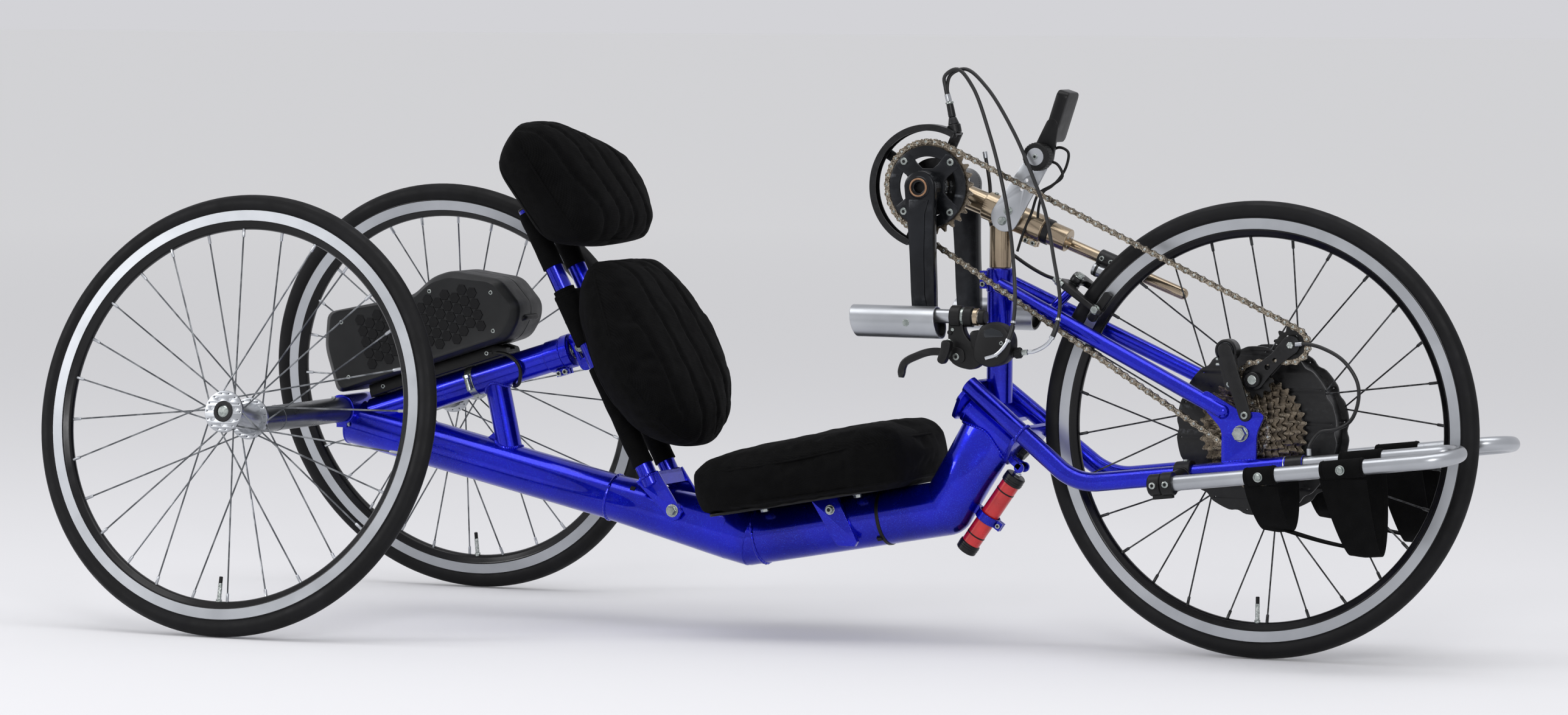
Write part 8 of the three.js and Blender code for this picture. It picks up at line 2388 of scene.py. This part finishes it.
def make_cushion(cushion, channels, spread, depth, seams=()):
    """channels are shares of the width where seams run along the face; spread turns them to a slant."""
    points, faces = cushion.surface()
    zero = cushion.place(0, 0, 0)
    along_way = (cushion.place(1, 0, 0) - zero).normalized()
    rise_way = (cushion.place(0, 1, 0) - zero).normalized()
    rows = sorted(p.x for p in cushion.outline)
    length = rows[-1] - rows[0]

    def span(along):
        near = sorted(cushion.outline, key=lambda p: abs(p.x - along))[:14]
        return min(p.y for p in near), max(p.y for p in near)

    table = [span(rows[0] + length * k / TABLE_ROWS) for k in range(TABLE_ROWS + 1)]
    shaped = []
    for p in points:
        off = p - zero
        along, rise, across = off.dot(along_way), off.dot(rise_way), off.y
        low, high = table[max(0, min(TABLE_ROWS, round((along - rows[0]) / length * TABLE_ROWS)))]
        share = (across - low) / max(high - low, 1)
        front = max(0, min(1, (rise - cushion.edge * 0.9) / 14))
        slant = (along - rows[0]) / length - 0.5
        dip = 0
        for channel in channels:
            gap = (share - channel - spread * slant) * (high - low)
            dip = max(dip, groove(gap, CHANNEL_WIDTH))
        for seam in seams:
            dip = max(dip, groove(along - seam, SEAM_WIDTH) * 0.8)
        wrinkle = noise.noise(Vector((along, across, rise)) * 0.035) * 1.6
        wrinkle += noise.noise(Vector((along * 2, across, rise)) * 0.09) * 0.7
        shaped.append(p + rise_way * (front * (depth * 0.35 - depth * dip) + front * wrinkle)
                      + ACROSS * (wrinkle * (1 - front)))
    tree = BVHTree.FromPolygons([tuple(p) for p in shaped], faces)
    shape = Shape()
    shape.points, shape.faces = shaped, faces
    for face in faces:
        centre = sum((shaped[i] for i in face), Vector()) / len(face)
        rise = (centre - zero).dot(rise_way)
        shape.kinds.append(0 if rise > cushion.edge * 0.93 else 1)

    def pipe(scale, rise, radius):
        line = [tree.find_nearest(p)[0] for p in cushion.ring(scale, rise)]
        count = len(line)
        for _ in range(2):
            line = [(line[i - 1] + line[i] * 2 + line[(i + 1) % count]) / 4 for i in range(count)]
        fine = evenly(line + [line[0]], 220)[:-1]
        shape.add(tube(fine, radius, 10, True), 1)

    pipe(1.06, cushion.edge * 0.97, 1.7)
    pipe(cushion.back * 1.06, cushion.hollow + 2, 1.4)
    made = piece(cushion.name, shape, cushion.body, "mesh_fabric", "side_fabric", "black_plastic",
                 replaces=cushion.node)
    fine = made.modifiers.new("fine", "SUBSURF")
    fine.levels = 1
    fine.render_levels = 1
    return made


def back_place(bottom):
    lift = BACK_TUBE * math.cos(math.pi / 10) + 0.3
    return lambda along, rise, y: on_back(bottom + along, lift + rise, y)


def seat_place(along, rise, y):
    lift = 1 + 9 / 58 * (along / SEAT_LENGTH) ** 2
    return on_seat(along - 8, 4.6 + rise * lift, y)


back_cushion = Cushion("cushion_back", "back_cushion", "backrest", back_place(60), BACK_SHARES, 297, 160, 74,
                       34, 0.7, 2, 15)
shoulder_cushion = Cushion("cushion_shoulder", "shoulder_cushion", "backrest", back_place(370),
                           SHOULDER_SHARES, 192, 160, 78, 38, 0.7, 2, 17)
seat_cushion = Cushion("cushion_seat", "seat_cushion", "rear_frame", seat_place, SEAT_SHARES, 308,
                       SEAT_REAR_HALF + 3, 58, 18, 0.98, 2, 0)
CHANNELS = (1 / 6, 1 / 3, 1 / 2, 2 / 3, 5 / 6)
make_cushion(back_cushion, CHANNELS, -0.12, 5)
make_cushion(shoulder_cushion, CHANNELS, -0.2, 5)
make_cushion(seat_cushion, (0.5,), 0.0, 1.5, (250,))


# Stage: one wide pale floor that runs to the horizon, painted lighter with distance as painted light, under
# plain soft light

FLOOR_REACH, FLOOR_SIDES = 160.0, 96
# The far paper colour is lighter than the near one: painted light on the far floor
NEAR_PAPER, FAR_PAPER_PAINTED_LIGHT, HORIZON = "e4e4e8", "f6f6f9", "d3d3d7"


def make_stage():
    ring = [(FLOOR_REACH * math.cos(a), FLOOR_REACH * math.sin(a), -0.0005) for a in angles(FLOOR_SIDES)]
    mesh = bpy.data.meshes.new("floor")
    mesh.from_pydata(ring, [], [tuple(range(FLOOR_SIDES))])
    floor = bpy.data.objects.new("floor", mesh)
    look = Finish("floor_paper", 0.9)
    look.shader.inputs["Specular IOR Level"].default_value = 0.1
    reach = look.node("ShaderNodeVectorMath")
    reach.operation = "LENGTH"
    look.tree.links.new(look.node("ShaderNodeTexCoord").outputs["Object"], reach.inputs[0])
    # The floor is painted lighter with distance from the object: painted light standing in for a brighter lit
    # far floor
    far = look.spread(reach.outputs["Value"], 0, 1, 2, 14)
    look.colour(look.mix(far, linear(NEAR_PAPER), linear(FAR_PAPER_PAINTED_LIGHT)))
    mesh.materials.append(look.data)
    bpy.context.scene.collection.objects.link(floor)


def add_light(name, place, target, size, power, tall=None):
    data = bpy.data.lights.new(name, "AREA")
    data.shape = "RECTANGLE"
    data.size = size
    data.size_y = tall or size
    data.energy = power
    lamp = bpy.data.objects.new(name, data)
    way = Vector(target) - Vector(place)
    lamp.matrix_world = Matrix.Translation(place) @ way.to_track_quat("-Z", "Y").to_matrix().to_4x4()
    bpy.context.scene.collection.objects.link(lamp)


def make_light():
    world = bpy.data.worlds.new("surround")
    bpy.context.scene.world = world
    world.use_nodes = True
    tree = world.node_tree
    sky = tree.nodes["Background"]
    sky.inputs["Color"].default_value = (1, 1, 1, 1)
    sky.inputs["Strength"].default_value = 0.7
    seen = tree.nodes.new("ShaderNodeBackground")
    seen.inputs["Color"].default_value = linear(HORIZON)
    rays = tree.nodes.new("ShaderNodeLightPath")
    share = rays.outputs["Is Camera Ray"]
    for name in ("Is Glossy Ray", "Is Transmission Ray"):
        either = tree.nodes.new("ShaderNodeMath")
        either.operation = "MAXIMUM"
        tree.links.new(share, either.inputs[0])
        tree.links.new(rays.outputs[name], either.inputs[1])
        share = either.outputs[0]
    blend = tree.nodes.new("ShaderNodeMixShader")
    tree.links.new(share, blend.inputs[0])
    tree.links.new(sky.outputs[0], blend.inputs[1])
    tree.links.new(seen.outputs[0], blend.inputs[2])
    tree.links.new(blend.outputs[0], tree.nodes["World Output"].inputs["Surface"])
    add_light("overhead", (0.2, -0.6, 4.2), (0, 0, 0.3), 5.0, 70, tall=2.2)
    add_light("front_side", (2.6, -5.4, 2.6), (0, 0, 0.4), 1.6, 80)
    add_light("rear_side", (-4.0, -3.4, 2.2), (-0.4, 0, 0.4), 1.4, 50)


bpy.context.scene.view_settings.view_transform = "Standard"
make_stage()
make_light()
